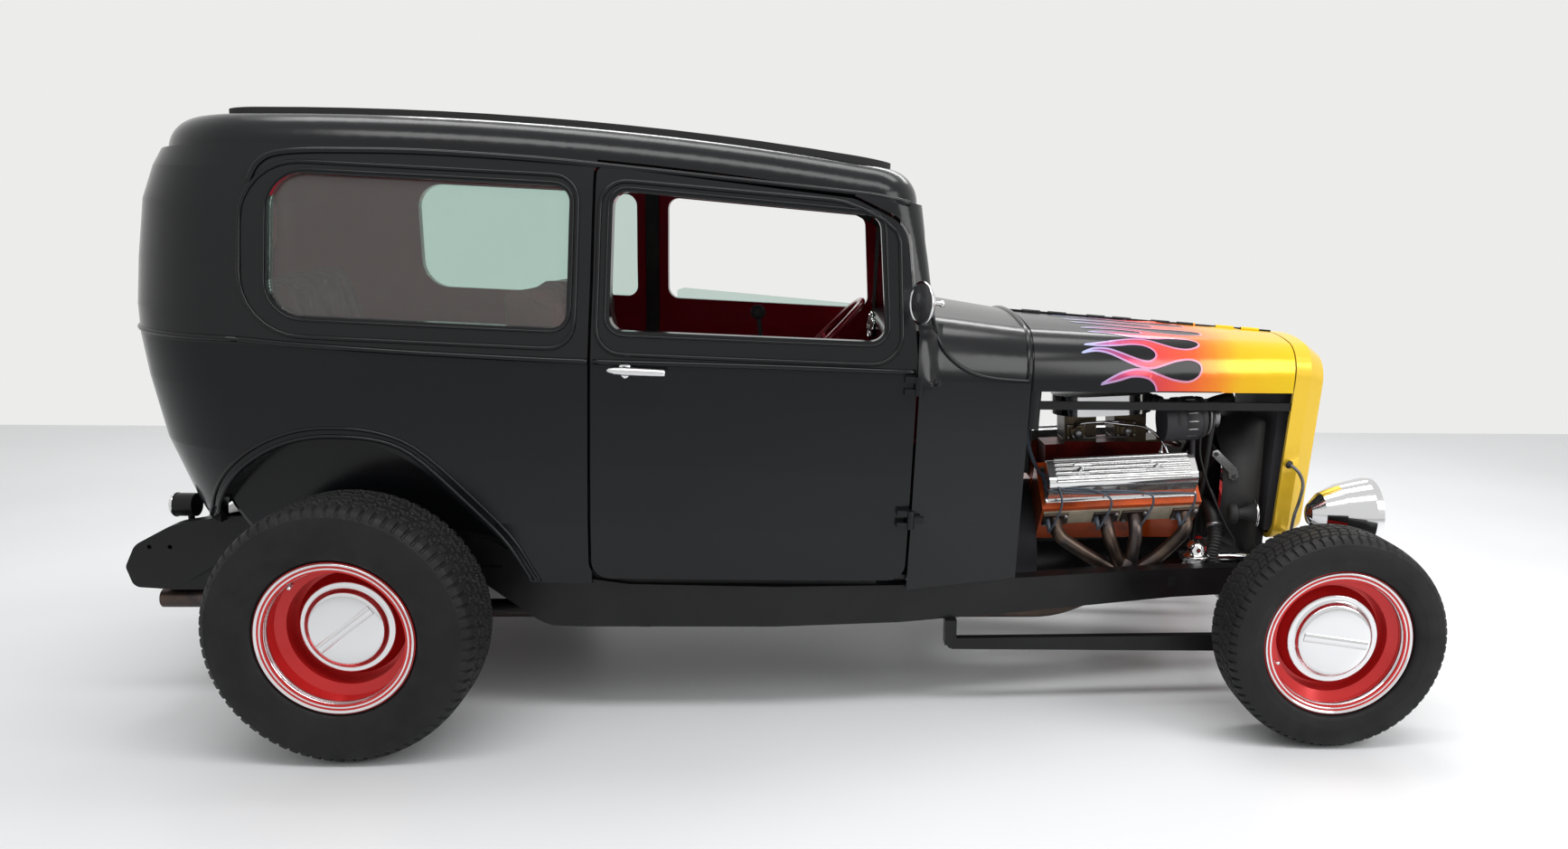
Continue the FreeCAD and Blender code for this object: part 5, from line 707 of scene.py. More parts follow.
class HOTROD_OT_stage(bpy.types.Operator):
    """Builds the studio floor, the lamps and the camera"""
    bl_idname = "hot_rod.stage"
    bl_label = "Stage"

    def execute(self, context):
        studio = context.scene.hot_rod_studio
        self.floor(studio)
        self.sky(context.scene, studio)
        for name, place, turn, size in LAMPS:
            lamp = bpy.data.lights.new(name, "AREA")
            lamp.shape = "RECTANGLE"
            lamp.size, lamp.size_y = size
            lamp.energy = studio.lamp_power
            holder = bpy.data.objects.new(name, lamp)
            holder.location = place
            holder.rotation_euler = [math.radians(a) for a in turn]
            context.scene.collection.objects.link(holder)
        self.camera(context.scene)
        return {"FINISHED"}

    def floor(self, studio):
        data = bpy.data.meshes.new("floor")
        data.from_pydata([(-FLOOR_REACH, -FLOOR_REACH, 0), (FLOOR_REACH, -FLOOR_REACH, 0),
                          (FLOOR_REACH, FLOOR_BACK, 0), (-FLOOR_REACH, FLOOR_BACK, 0)],
                         [], [(0, 1, 2, 3)])
        floor = bpy.data.objects.new("floor", data)
        bpy.context.scene.collection.objects.link(floor)
        data.materials.append(shaded("floor_paint", tuple(studio.floor_colour), 0.36,
                                     vary=0.012, cloud=0.6))

    def sky(self, scene, studio):
        world = bpy.data.worlds.new("studio")
        scene.world = world
        world.use_nodes = True
        tree = world.node_tree
        tree.nodes.clear()
        rays = add_node(tree, "ShaderNodeLightPath")
        light = add_node(tree, "ShaderNodeBackground",
                         {"Color": (1, 1, 1, 1), "Strength": studio.sky_strength})
        seen = add_node(tree, "ShaderNodeBackground",
                        {"Color": (*studio.backdrop_colour, 1), "Strength": 1.0})
        through = calc(tree, "MAXIMUM", rays.outputs["Is Camera Ray"],
                       rays.outputs["Is Transmission Ray"])
        through = calc(tree, "MAXIMUM", through, rays.outputs["Is Glossy Ray"])
        blend = add_node(tree, "ShaderNodeMixShader", {"Fac": through})
        tree.links.new(light.outputs[0], blend.inputs[1])
        tree.links.new(seen.outputs[0], blend.inputs[2])
        output = add_node(tree, "ShaderNodeOutputWorld")
        tree.links.new(blend.outputs[0], output.inputs["Surface"])
        scene.view_settings.view_transform = "Standard"

    def camera(self, scene):
        turn = (Matrix.Rotation(math.radians(CAMERA_SWING), 3, "Z")
                @ Matrix.Rotation(math.radians(CAMERA_TILT), 3, "X")
                @ Matrix.Rotation(math.radians(CAMERA_ROLL), 3, "Y"))
        data = bpy.data.cameras.new("camera")
        data.sensor_width = 36
        data.lens = FOCAL_PIXELS * data.sensor_width / FRAME_WIDE
        data.shift_x = (FRAME_WIDE / 2 - FRAME_CENTRE[0]) / FRAME_WIDE
        data.shift_y = (FRAME_CENTRE[1] - FRAME_HIGH / 2) / FRAME_WIDE
        data.clip_end = 200
        holder = bpy.data.objects.new("camera", data)
        scene.collection.objects.link(holder)
        right, forward, up = turn.col[0], turn.col[1], turn.col[2]
        place = Matrix((right, up, -forward)).transposed().to_4x4()
        place.translation = CHASSIS_PLACE @ Vector(CAMERA_PLACE)
        holder.matrix_world = place
        scene.camera = holder


class HOTROD_OT_finishes(bpy.types.Operator):
    """Gives the carried-over pieces their finishes"""
    bl_idname = "hot_rod.finishes"
    bl_label = "Finishes"

    def execute(self, context):
        for material, names in {
            "chrome": "air_cleaner headlamps",
            "body_paint": "door_left door_right quarter_panel_left quarter_panel_right "
                          "rear_panel roof_panel cowl",
            "satin_black": "firewall floor_pan fuel_tank wheel_houses dashboard",
            "black_plastic": "distributor shift_lever",
            "bare_steel": "drag_link tie_rod pitman_arm propeller_shaft",
            "engine_orange": "engine_block",
            "header_steel": "exhaust",
            "chassis_black": "crossmembers frame_rails front_axle front_spring hood_rails "
                             "knuckle_left knuckle_right radius_rods rear_axle "
                             "rear_suspension tail_lamps",
            "polished_alloy": "valve_covers",
            "burgundy_cloth": "front_seats rear_seat",
            "burgundy_paint": "steering_wheel steering_column",
            "cast_iron": "radiator steering_box grille_insert front_drive gearbox",
            "shell_yellow": "grille_shell",
            "hood_paint": "hood_left hood_right",
            "intake_red": "intake",
            "roof_fabric": "roof_insert",
            "tyre_rubber": "tyre_front_left tyre_front_right tyre_rear_left tyre_rear_right",
            "wheel_red": "wheel_front_left wheel_front_right wheel_rear_left wheel_rear_right",
            "window_tint": "window_glass",
        }.items():
            for name in names.split():
                if name in NODES:
                    NODES[name].data.materials.clear()
                    NODES[name].data.materials.append(finish(material))
        return {"FINISHED"}


# The flames' edge over half of the hood: places along it, and degrees up round it. A third
# value marks a tip. Each lick comes back on itself round a black drop.
FLAME_EDGE = [
    (2226, 0.6), (2218, 3.6), (2200, 6.0), (2172, 7.0), (2138, 6.8), (2098, 5.0),
    (2044, 3.2, "tip"),
    (2076, 6.0), (2113, 8.6), (2155, 10.1), (2192, 9.9), (2234, 8.0), (2278, 6.1), (2327, 5.5),
    (2358, 8.0), (2369, 12.0), (2360, 15.4), (2330, 16.7), (2285, 15.3), (2241, 12.7),
    (2205, 11.0), (2172, 11.2), (2138, 12.6), (2096, 14.9), (2063, 16.5), (2026, 16.9),
    (1982, 15.5, "tip"),
    (2022, 18.0), (2064, 18.4), (2101, 17.2), (2139, 15.5), (2177, 14.1), (2203, 14.4),
    (2220, 17.0), (2212, 20.0), (2183, 22.0), (2144, 22.0), (2100, 20.7), (2057, 19.8),
    (1992, 19.4, "tip"),
    (2050, 21.4), (2103, 23.6), (2157, 25.5), (2201, 25.6), (2240, 24.0), (2282, 22.4),
    (2325, 22.3), (2360, 24.6), (2368, 27.6), (2343, 29.6), (2291, 29.4), (2237, 27.8),
    (2190, 27.0), (2140, 27.2), (2090, 28.4), (2018, 28.4, "tip"),
    (2080, 31.0), (2126, 31.0), (2165, 30.8), (2194, 32.2), (2188, 34.6), (2150, 35.6),
    (2096, 35.2), (2004, 33.6, "tip"),
    (2070, 37.4), (2130, 38.8), (2185, 38.2), (2230, 36.6), (2280, 35.6), (2340, 35.8),
    (2390, 38.2), (2404, 41.7), (2390, 45.2), (2340, 46.2), (2280, 44.9), (2220, 43.4),
    (2160, 43.0), (2100, 44.2), (1990, 45.6, "tip"),
    (2080, 47.8), (2140, 47.4), (2200, 47.4), (2250, 49.0), (2262, 52.2), (2240, 55.2),
    (2190, 56.2), (2110, 55.6), (1972, 54.4, "tip"),
    (2090, 59.0), (2160, 61.0), (2230, 60.8), (2300, 60.2), (2360, 62.6), (2384, 67.2),
    (2366, 71.8), (2310, 73.2), (2240, 71.2), (2170, 70.8), (2090, 72.6), (1950, 74.0, "tip"),
    (2080, 77.6), (2150, 78.2), (2196, 80.6), (2208, 84.0), (2206, 87.3),
]
# The hood's front end and the height of the axis that the degrees go round, the millimetres that
# stand for a degree on the flat pattern, and the paint's height over the skin in metres.
HOOD_FRONT = 2690
HOOD_AXIS_HEIGHT = 1049
DEGREE_WIDTH = 5.0
PAINT_LIFT = 0.0006
LINE_LIFT = 0.0011


class HOTROD_OT_flames(bpy.types.Operator):
    """Paints the flames on the hood as a thin skin with a line round it"""
    bl_idname = "hot_rod.flames"
    bl_label = "Flames"

    def execute(self, context):
        width = context.scene.hot_rod_paint.line_width
        tips = [k for k, point in enumerate(FLAME_EDGE) if len(point) > 2]
        edge = smooth_line([(p[0], p[1] * DEGREE_WIDTH, 0) for p in FLAME_EDGE], 7, tips)
        for name, side in SIDES:
            node = "hood_" + name
            tree = search_tree(node)
            self.skin(node, side, tree, edge)
            self.line(node, side, tree, edge, width)
        return {"FINISHED"}

    def on_hood(self, tree, side, place, lift):
        """A point over the hood for a place on the flat pattern, and the direction out."""
        angle = math.radians(place.y / DEGREE_WIDTH)
        out = BODY_TURN @ Vector((0, side * math.cos(angle), math.sin(angle)))
        centre = body(place.x, 0, HOOD_AXIS_HEIGHT)
        place, normal, _, _ = tree.ray_cast(centre + out, -out, 1.0)
        if place is None:
            place, normal, _, _ = tree.find_nearest(centre + out * 0.3)
        if normal.dot(out) < 0:
            normal = -normal
        return place + normal * lift, normal

    def skin(self, node, side, tree, edge):
        work = bmesh.new()
        low, high = edge[0].y, edge[-1].y
        outline = list(edge) + [Vector((HOOD_FRONT, high, 0)), Vector((HOOD_FRONT, low, 0))]
        ring = [work.verts.new(p) for p in outline]
        edges = [work.edges.new((ring[k - 1], ring[k])) for k in range(len(ring))]
        bmesh.ops.triangle_fill(work, edges=edges, use_beauty=True)
        cuts = [((0, degrees * DEGREE_WIDTH, 0), (0, 1, 0)) for degrees in range(2, 88, 2)]
        cuts += [((x, 0, 0), (1, 0, 0)) for x in range(2000, HOOD_FRONT, 60)]
        for place, normal in cuts:
            bmesh.ops.bisect_plane(work, geom=work.verts[:] + work.edges[:] + work.faces[:],
                                   plane_co=place, plane_no=normal)
        for vertex in work.verts:
            vertex.co = self.on_hood(tree, side, vertex.co, PAINT_LIFT)[0]
        bmesh.ops.recalc_face_normals(work, faces=work.faces[:])
        work.normal_update()
        outward = sum((f.normal.y * side + f.normal.z) * f.calc_area() for f in work.faces)
        if outward < 0:
            bmesh.ops.reverse_faces(work, faces=work.faces[:])
        bmesh_piece("flames_" + node, work, "flame_paint", node)

    def line(self, node, side, tree, edge, width):
        placed = [self.on_hood(tree, side, p, LINE_LIFT) for p in edge]
        points = []
        for k, (here, normal) in enumerate(placed):
            ahead = placed[min(k + 1, len(placed) - 1)][0] - placed[max(k - 1, 0)][0]
            if ahead.length < 1e-6:
                ahead = Vector((1, 0, 0))
            across = normal.cross(ahead).normalized() * width / 2
            points += [here - across, here + across]
        piece = mesh_piece("flame_line_" + node, points,
                           grid_faces(len(placed), 2, flip=side < 0), "flame_line", node)
        piece.data.flip_normals()


# Window outlines of (x, z) corners in the body frame.
DOOR_WINDOW = ((644, 1186), (1392, 1186), (1362, 1522), (644, 1553))
QUARTER_WINDOW = ((-258, 1186), (530, 1186), (530, 1557), (-258, 1557))
# Two lines round each window: how far out to the rear, low, front and high, the corners' radii,
# and their share of the surround's radius.
WINDOW_LINES = {
    "door": ((12, 12, 12, 12, (48, 48, 48, 48), 0.6), (34, 62, 50, 30, (66, 76, 72, 66), 0.9)),
    "quarter": ((10, 10, 10, 10, (100, 50, 50, 100), 0.6),
                (76, 54, 22, 30, (160, 66, 62, 148), 0.9)),
}
# Lines of (x, z) places along the body's side, and the rear wheel's arch.
DRIP_PATH = ((-310, 1530), (-285, 1580), (-225, 1608), (-60, 1621), (218, 1628), (693, 1617),
             (1080, 1594), (1330, 1578), (1440, 1560))
QUARTER_BELT = ((-330, 1118), (-170, 1111), (100, 1105), (400, 1102), (590, 1102))
DOOR_BELT = ((606, 1102), (900, 1106), (1200, 1108), (1478, 1107))
COWL_SWEEP = ((1518, 1268), (1532, 1215), (1556, 1168), (1595, 1131), (1646, 1104), (1711, 1089),
              (1781, 1082), (1822, 1080))
COWL_BAND = 1818
ARCH_CENTRE = (-85, 482)
ARCH_RADIUS = 380


def grown(corners, rear, low, front, high, radii):
    """A window outline moved out by a margin on each side, with new corner radii."""
    moves = ((-rear, -low), (front, -low), (front, high), (-rear, high))
    return [(x + dx, z + dz, radius)
            for (x, z), (dx, dz), radius in zip(corners, moves, radii)]


class HOTROD_OT_mouldings(bpy.types.Operator):
    """Adds the belt line, window surrounds, drip rails, arch beads and cowl lines"""
    bl_idname = "hot_rod.mouldings"
    bl_label = "Mouldings"

    def execute(self, context):
        trim = context.scene.hot_rod_trim
        for name, side in SIDES:
            quarter = search_tree("quarter_panel_" + name, "rear_panel", "roof_panel")
            door = search_tree("door_" + name)
            roof = search_tree("roof_panel", "quarter_panel_" + name, "cowl")
            moulding("belt_quarter_" + name, quarter, side, QUARTER_BELT, trim.belt_radius)
            moulding("belt_door_" + name, door, side, DOOR_BELT, trim.belt_radius, "door_" + name)
            moulding("cowl_sweep_" + name, search_tree("cowl", "roof_panel"), side, COWL_SWEEP,
                     trim.belt_radius * 0.8)
            self.surrounds("door", name, side, door, DOOR_WINDOW, trim, "door_" + name)
            self.surrounds("quarter", name, side, quarter, QUARTER_WINDOW, trim, "car")
            self.arch(name, side, quarter)
            moulding("drip_rail_" + name, roof, side, DRIP_PATH, trim.drip_radius)
        rays = [(body(COWL_BAND, 0, 1060) + over_cowl(degrees) * 1.2, -over_cowl(degrees))
                for degrees in range(-88, 91, 3)]
        moulding("cowl_band", search_tree("cowl"), 0, None, trim.belt_radius * 0.9, rays=rays)
        self.back(trim.belt_radius)
        return {"FINISHED"}

    def surrounds(self, label, name, side, tree, corners, trim, rider):
        for index, (*margins, share) in enumerate(WINDOW_LINES[label]):
            line = spaced(rounded(grown(corners, *margins)), 30)
            moulding("%s_surround_%d_%s" % (label, index, name), tree, side, line,
                     trim.surround_radius * share, rider, steps=1, closed=True)

    def arch(self, name, side, quarter):
        for index, (grow, radius) in enumerate(((4, 0.0065), (27, 0.005))):
            line = [(-465 - grow, 600)]
            for step in range(26):
                angle = math.radians(180 - 90 * step / 25)
                x = ARCH_CENTRE[0] + (ARCH_RADIUS + grow) * math.cos(angle)
                z = ARCH_CENTRE[1] + (ARCH_RADIUS + grow) * math.sin(angle)
                if z > 610:
                    line.append((x, z))
            line += [(-20, 862 + grow), (63 + grow * 0.3, 850 + grow * 0.8),
                     (140 + grow * 0.5, 806 + grow * 0.8), (260 + grow * 0.7, 690 + grow * 0.7),
                     (352 + grow * 0.9, 598 + grow * 0.4), (400 + grow, 520), (428 + grow, 470)]
            moulding("arch_bead_%d_%s" % (index, name), quarter, side, line, radius, steps=3)

    def back(self, radius):
        """The belt line round both rear corners and across the back."""
        rays = []
        for degrees in range(-90, 91, 3):
            angle = math.radians(degrees)
            out = BODY_TURN @ Vector((-math.cos(angle), math.sin(angle), 0))
            rays.append((body(-330, 0, 1124 - 6 * abs(degrees) / 90) + out * 1.5, -out))
        moulding("belt_back", search_tree("quarter_panel_right", "quarter_panel_left",
                                          "rear_panel"), 0, None, radius, rays=rays)


# Radii of the wheel's seat and lip under the tyre, the tyre wall's (across, up) shares, and the
# shares up the wall of its two raised rings.
WHEEL_SEAT, WHEEL_LIP = 0.190, 0.208
WALL_SHARES = ((0.90, 0.06), (0.965, 0.20), (0.99, 0.34), (1.0, 0.46), (0.97, 0.66),
               (0.93, 0.78), (0.88, 0.86), (0.80, 0.925))
WALL_RINGS = (0.34, 0.80)
TREAD_ROWS = 46


class HOTROD_OT_tyres(bpy.types.Operator):
    """Makes the tyres with their tread blocks and sidewall rings"""
    bl_idname = "hot_rod.tyres"
    bl_label = "Tyres"

    def execute(self, context):
        settings = context.scene.hot_rod_tyres
        for name, side in SIDES:
            for end, rim in (("rear", settings.rear_rim), ("front", settings.front_rim)):
                self.tyre("tyre_%s_%s" % (end, name), end, side, rim / 2, settings)
        return {"FINISHED"}

    def section(self, half, radius, bead):
        """(across, radius) places from one bead over the tread to the other."""
        wall = [(bead, WHEEL_SEAT, 0), (bead, WHEEL_LIP, 0)]
        wall += [(across * half, WHEEL_LIP + up * (radius - WHEEL_LIP), 0)
                 for across, up in WALL_SHARES]
        wall = [(p.x, p.y) for p in smooth_line(wall, 4)]
        tread = []
        edge = wall[-1]
        for k in range(1, TREAD_ROWS):
            across = edge[0] * (1 - 2 * k / TREAD_ROWS)
            drop = (abs(across) / edge[0]) ** 4
            tread.append((across, radius - (radius - edge[1]) * drop))
        other = [(-a, r) for a, r in reversed(wall)]
        return wall + tread + other, len(wall), len(wall) + len(tread)

    def tyre(self, node, end, side, bead, settings):
        low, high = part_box(node)
        radius, half = (high.z - low.z) / 2, (high.y - low.y) / 2
        centre = (low + high) / 2
        section, tread_start, tread_end = self.section(half, radius, bead)
        across = np.array([p[0] for p in section])
        reach = np.array([p[1] for p in section])
        count = settings.pitches * settings.steps
        turn = np.arange(count)
        edge = section[tread_start - 1][0]
        share = across / edge
        depth = np.zeros((len(section), count))
        for row in range(tread_start - 6, tread_end + 6):
            cut = self.groove(share[row], turn, settings.steps, end)
            depth[row] = cut * settings.groove_depth
        ring = np.zeros(len(section))
        for place in WALL_RINGS:
            level = WHEEL_LIP + place * (radius - WHEEL_LIP)
            ring += 0.0012 * np.exp(-((reach - level) / 0.0035) ** 2)
        ring[tread_start:tread_end] = 0
        angle = 2 * np.pi * turn / count
        size = reach[:, None] - depth
        wide = across[:, None] + np.sign(across)[:, None] * ring[:, None]
        x = centre.x + size * np.sin(angle)[None, :]
        z = centre.z + size * np.cos(angle)[None, :]
        y = centre.y + side * np.broadcast_to(wide, size.shape)
        points = np.stack([x, y, z], axis=-1).reshape(-1, 3)
        rows, columns = np.meshgrid(np.arange(len(section) - 1), turn, indexing="ij")
        following = (columns + 1) % count
        quads = np.stack([rows * count + columns, rows * count + following,
                          (rows + 1) * count + following, (rows + 1) * count + columns],
                         axis=-1).reshape(-1, 4)
        if side > 0:
            quads = quads[:, ::-1]
        data = bpy.data.meshes.new(node + "_treaded")
        data.from_pydata(points.tolist(), [], quads.tolist())
        smooth = (rows < tread_start - 6) | (rows >= tread_end + 5)
        data.polygons.foreach_set("use_smooth", smooth.reshape(-1))
        data.update()
        piece = place_object(node + "_treaded", data, "tyre_rubber",
                             node.replace("tyre", "wheel"))
        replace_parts(piece, node)

    def groove(self, share, turn, steps, end):
        """How deep the tread is cut at a place across it, for each step round it."""
        phase = turn % steps
        swing = np.abs((turn % (2 * steps)) - steps) / steps
        lean = int(round(abs(share) * steps * 0.9))
        cut = np.zeros(len(turn))
        ribs = (0.16, 0.50) if end == "rear" else (0.0, 0.34, 0.66)
        for rib in ribs:
            middle = rib + (swing - 0.5) * (0.10 if end == "rear" else 0.04)
            cut = np.maximum(cut, np.where(np.abs(abs(share) - middle) < 0.032, 1.0, 0.0))
        if abs(share) > (0.72 if end == "rear" else 0.74):
            cut = np.maximum(cut, np.where(phase < 2, 0.8, 0.0))
        else:
            cut = np.maximum(cut, np.where((phase + lean) % steps == 0, 0.6, 0.0))
            if end == "rear":
                cut = np.maximum(cut, np.where((turn + 2 * lean) % (2 * steps) < 2, 0.7, 0.0))
        return cut


# Profiles and outlines below are (along, radius) pairs in millimetres unless they say otherwise.
RING_PROFILE = ((-1, 206), (2.5, 206), (4.5, 203.5), (3.5, 200.5), (-0.5, 198), (-1.5, 194),
                (1.0, 191.5), (0.5, 188.5), (-5, 185.5), (-12, 182.4), (-22, 181.6),
                (-24, 180.4), (-20, 179.6), (-10, 180.6), (-2, 186))
CAP_PROFILE = ((-4, 126), (5, 128.5), (9, 127), (10.5, 123), (9, 117), (9.5, 110.5), (14, 106.5),
               (23, 104.5), (27, 100.5), (28, 94), (28.8, 90), (29.2, 60), (29.8, 30), (30, 0))
CAP_BAND = ((-13, 0.0), (-12.2, 1.3), (0, 1.5), (12.2, 1.3), (13, 0.0))
# Half of the band's length, and how far out the cap's face lies.
CAP_BAND_REACH = 91
CAP_FACE = 29
VALVE_PROFILE = ((0, 4.8), (16, 4.2), (17, 3.4), (21, 3.4), (22, 5.0), (30, 4.8), (31, 0))


def moved(profile, along):
    return [(a + along, r) for a, r in profile]


class HOTROD_OT_wheels(bpy.types.Operator):
    """Adds trim rings, hub caps and valve stems to the wheels"""
    bl_idname = "hot_rod.wheels"
    bl_label = "Wheel trim"

    def execute(self, context):
        for name, side in SIDES:
            for end, half, face, stem, band in (("rear", 110, 12, 128, 38),
                                                ("front", 76, 28, 200, -8)):
                label = "%s_%s" % (end, name)
                node = "wheel_" + label
                centre = middle(node)
                centre.y = middle("tyre_" + label).y
                out = Vector((0, side, 0))
                lathe("trim_ring_" + label, moved(RING_PROFILE, half), centre, out, "chrome", 96,
                      node, closed=True)
                lathe("hub_cap_" + label, moved(CAP_PROFILE, face), centre, out, "chrome", 96,
                      node)
                self.band(label, node, out, centre, face, band)
                angle = math.radians(stem)
                away = Vector((math.cos(angle), 0, math.sin(angle)))
                lathe("valve_" + label, VALVE_PROFILE,
                      centre + away * 0.178 + out * (half - 34) * MM, out * 0.030 - away * 0.006,
                      "chrome", 16, node)
        return {"FINISHED"}

    def band(self, label, node, out, centre, face, degrees):
        """A raised plain band across the hub cap's face."""
        turn = facing_frame(out) @ Matrix.Rotation(math.radians(degrees), 3, "Z")
        columns = 24
        points = [centre + turn @ Vector(((2 * k / columns - 1) * CAP_BAND_REACH, across,
                                          face + CAP_FACE + rise)) * MM
                  for k in range(columns + 1) for across, rise in CAP_BAND]
        piece = mesh_piece("cap_band_" + label, points, grid_faces(columns + 1, len(CAP_BAND)),
                           "chrome", node)
        piece.data.flip_normals()


# A cylinder bank's slant, the places of its ports and plugs along it, the distributor's cap in
# the chassis frame, its towers' distance from its middle, and the water pump's height.
SLANT = math.sqrt(0.5)
PORTS = (45, 205, 295, 455)
PLUGS = (20, 174, 304, 433)
DISTRIBUTOR = (1918, 0, 880)
TOWER_RADIUS = 27
WATER_PUMP = 183


def bank_place(side):
    """The place of a cylinder bank in millimetres: forward, down across it and out along it."""
    turn = Matrix(((1, 0, 0), (0, side * SLANT, side * SLANT), (0, -SLANT, SLANT))).to_4x4()
    return ENGINE_PLACE @ turn @ MILLIMETRES


def bank_way(side, *way):
    return (bank_place(side).to_3x3() @ Vector(way)).normalized()


def tower_angle(index):
    return math.radians(50 * index - 75)


class HOTROD_OT_engine(bpy.types.Operator):
    """Adds ribs, wing bolts, plug leads, carburettor parts, fan, belt, hoses and fuel pump"""
    bl_idname = "hot_rod.engine"
    bl_label = "Engine dressing"

    def execute(self, context):
        for name, side in SIDES:
            self.cover(name, side)
            self.ports(name, side)
            self.leads(name, side)
        self.distributor_cap()
        self.carburettors()
        self.filler()
        self.belt(self.alternator())
        self.fan()
        self.shroud()
        self.hoses()
        self.fuel_pump()
        self.strut()
        self.cable_and_horn()
        return {"FINISHED"}

    def cover(self, name, side):
        place = bank_place(side)
        joined("cover_flange_" + name, [slab_mesh((12, -66, 336.5), (488, 66, 342), place, 1.6)],
               "polished_alloy")
        joined("cover_ribs_" + name,
               [slab_mesh((40, across - 4.4, 419.5), (460, across + 4.4, 425.5), place, 2.6)
                for across in range(-40, 41, 16)], "polished_alloy")
        up = bank_way(side, 0, 0, 1)
        for index, x in enumerate((120, 358)):
            foot = place @ Vector((x, 0, 420))
            label = "%s_%d" % (name, index)
            lathe("wing_bolt_stem_" + label,
                  [(0, 0), (0, 13), (3, 13), (5, 8), (9, 5), (24, 4.5), (30, 5), (31, 0)],
                  foot, up, "chrome", 20)
            lathe("wing_bolt_bar_" + label,
                  [(-29, 0), (-28, 3.5), (-24, 5.2), (-10, 4.4), (10, 4.4), (24, 5.2), (28, 3.5),
                   (29, 0)], foot + up * 0.030, bank_way(side, 1, 0, 0), "chrome", 16)

    def ports(self, name, side):
        place = bank_place(side)
        joined("port_gasket_" + name, [slab_mesh((6, 86.4, 246), (494, 90, 322), place, 0.8)],
               "gasket_cream")
        joined("port_flange_" + name,
               [slab_mesh((x - 40, 90, 254), (x + 40, 97, 312), place, 2.5) for x in PORTS],
               "header_steel")
        bolts = [place @ Vector((x + shift, 97, along))
                 for x in PORTS for along, shift in ((262, -31), (304, 31))]
        joined("port_bolts_" + name,
               [lathe_mesh([(0, 7), (5, 7), (6, 6), (6, 0)], bolt, bank_way(side, 0, 1, 0), 6)
                for bolt in bolts], "bare_steel", smooth=False)

    def leads(self, name, side):
        """Plug leads from the cap round the back of the cover and along its foot."""
        lines, boots = [], []
        place = bank_place(side)
        for k, x in enumerate(PLUGS):
            root = place @ Vector((x, 92, 288))
            tip = place @ Vector((x, 140, 292))
            east = DISTRIBUTOR[0] + TOWER_RADIUS * math.sin(tower_angle(k))
            north = side * TOWER_RADIUS * math.cos(tower_angle(k))
            rise = x * 0.052
            path = [(east, north, 896), (east, north * 1.3, 922),
                    (1909 + 6 * k, side * 96, 902 - 6 * k),
                    (1912 + 5 * k, side * 178, 784 - 9 * k),
                    (1938 + 7 * k, side * (250 + 5 * k), 700 - 10 * k)]
            if k:
                path += [(2000, side * (304 + 5 * k), 668 - 9 * k),
                         (1930 + x, side * (326 + 3 * k), 650 - 9 * k + rise)]
            else:
                path.append((1985, side * 305, 674))
            path.append((1984 + x, side * 338, 606 + rise))
            line = [chassis(*p) for p in path] + [tip, place @ Vector((x, 118, 290))]
            lines.append(tube_mesh(smooth_line(line, 7), 0.0036, 8))
            boots.append(lathe_mesh([(0, 6), (4, 8.5), (26, 8), (32, 6), (46, 5.4), (48, 0)],
                                    root, tip - root, 14))
        joined("plug_leads_" + name, lines, "lead_grey")
        joined("plug_boots_" + name, boots, "lead_grey")

    def distributor_cap(self):
        x, y, z = DISTRIBUTOR
        parts = [lathe_mesh([(0, 47), (3, 48), (8, 45), (10, 36), (12, 0)], chassis(x, y, z), UP,
                            40)]
        for side in (-1, 1):
            for k in range(4):
                foot = chassis(x + TOWER_RADIUS * math.sin(tower_angle(k)),
                               side * TOWER_RADIUS * math.cos(tower_angle(k)), z + 8)
                parts.append(lathe_mesh([(0, 9), (14, 7), (18, 7), (18, 0)], foot, UP, 14))
        joined("distributor_cap", parts, "black_plastic")

    def carburettors(self):
        place = ENGINE_PLACE @ MILLIMETRES
        bowls, rods, screws = [], [], []
        for x in (158, 323):
            for side in (-1, 1):
                for near, far, reach, low, high, bevel in ((44, 63, 34, 346, 398, 5),
                                                           (58, 68, 22, 352, 384, 4)):
                    y0, y1 = sorted((side * near, side * far))
                    bowls.append(slab_mesh((x - reach, y0, low), (x + reach, y1, high), place,
                                           bevel))
                screws += [lathe_mesh([(0, 4.5), (4, 4.5), (5, 3), (5, 0)],
                                      engine(x + dx, side * 62, z), (0, side, 0), 10)
                           for dx in (-27, 27) for z in (352, 392)]
            bowls.append(slab_mesh((x - 40, -46, 334), (x + 40, 46, 345), place, 3))
            rods.append(lathe_mesh([(0, 12), (3, 14), (7, 14), (9, 6), (10, 0)],
                                   engine(x + 6, -67, 366), (0, -1, 0), 18))
        for path in (((150, -76, 350), (236, -76, 352), (330, -76, 350)),
                     ((150, 76, 350), (236, 76, 352), (330, 76, 350)),
                     ((150, -76, 350), (140, -70, 366), (142, -58, 368)),
                     ((330, -76, 350), (320, -70, 366), (322, -58, 368))):
            rods.append(tube_mesh([engine(*p) for p in path], 0.003, 8))
        joined("float_bowls", bowls, "carb_zinc")
        joined("bowl_screws", screws, "bare_steel")
        joined("throttle_rods", rods, "bare_steel")
        lines = [curve(engine, path) for path in (
            [(150, -68, 388), (175, -84, 402), (240, -88, 404), (300, -86, 402), (318, -70, 390)],
            [(240, -88, 404), (300, -98, 396), (380, -100, 380), (430, -120, 330),
             (455, -150, 230), (470, -205, 80)])]
        joined("fuel_lines", [tube_mesh(line, 0.0045, 10) for line in lines], "chrome")

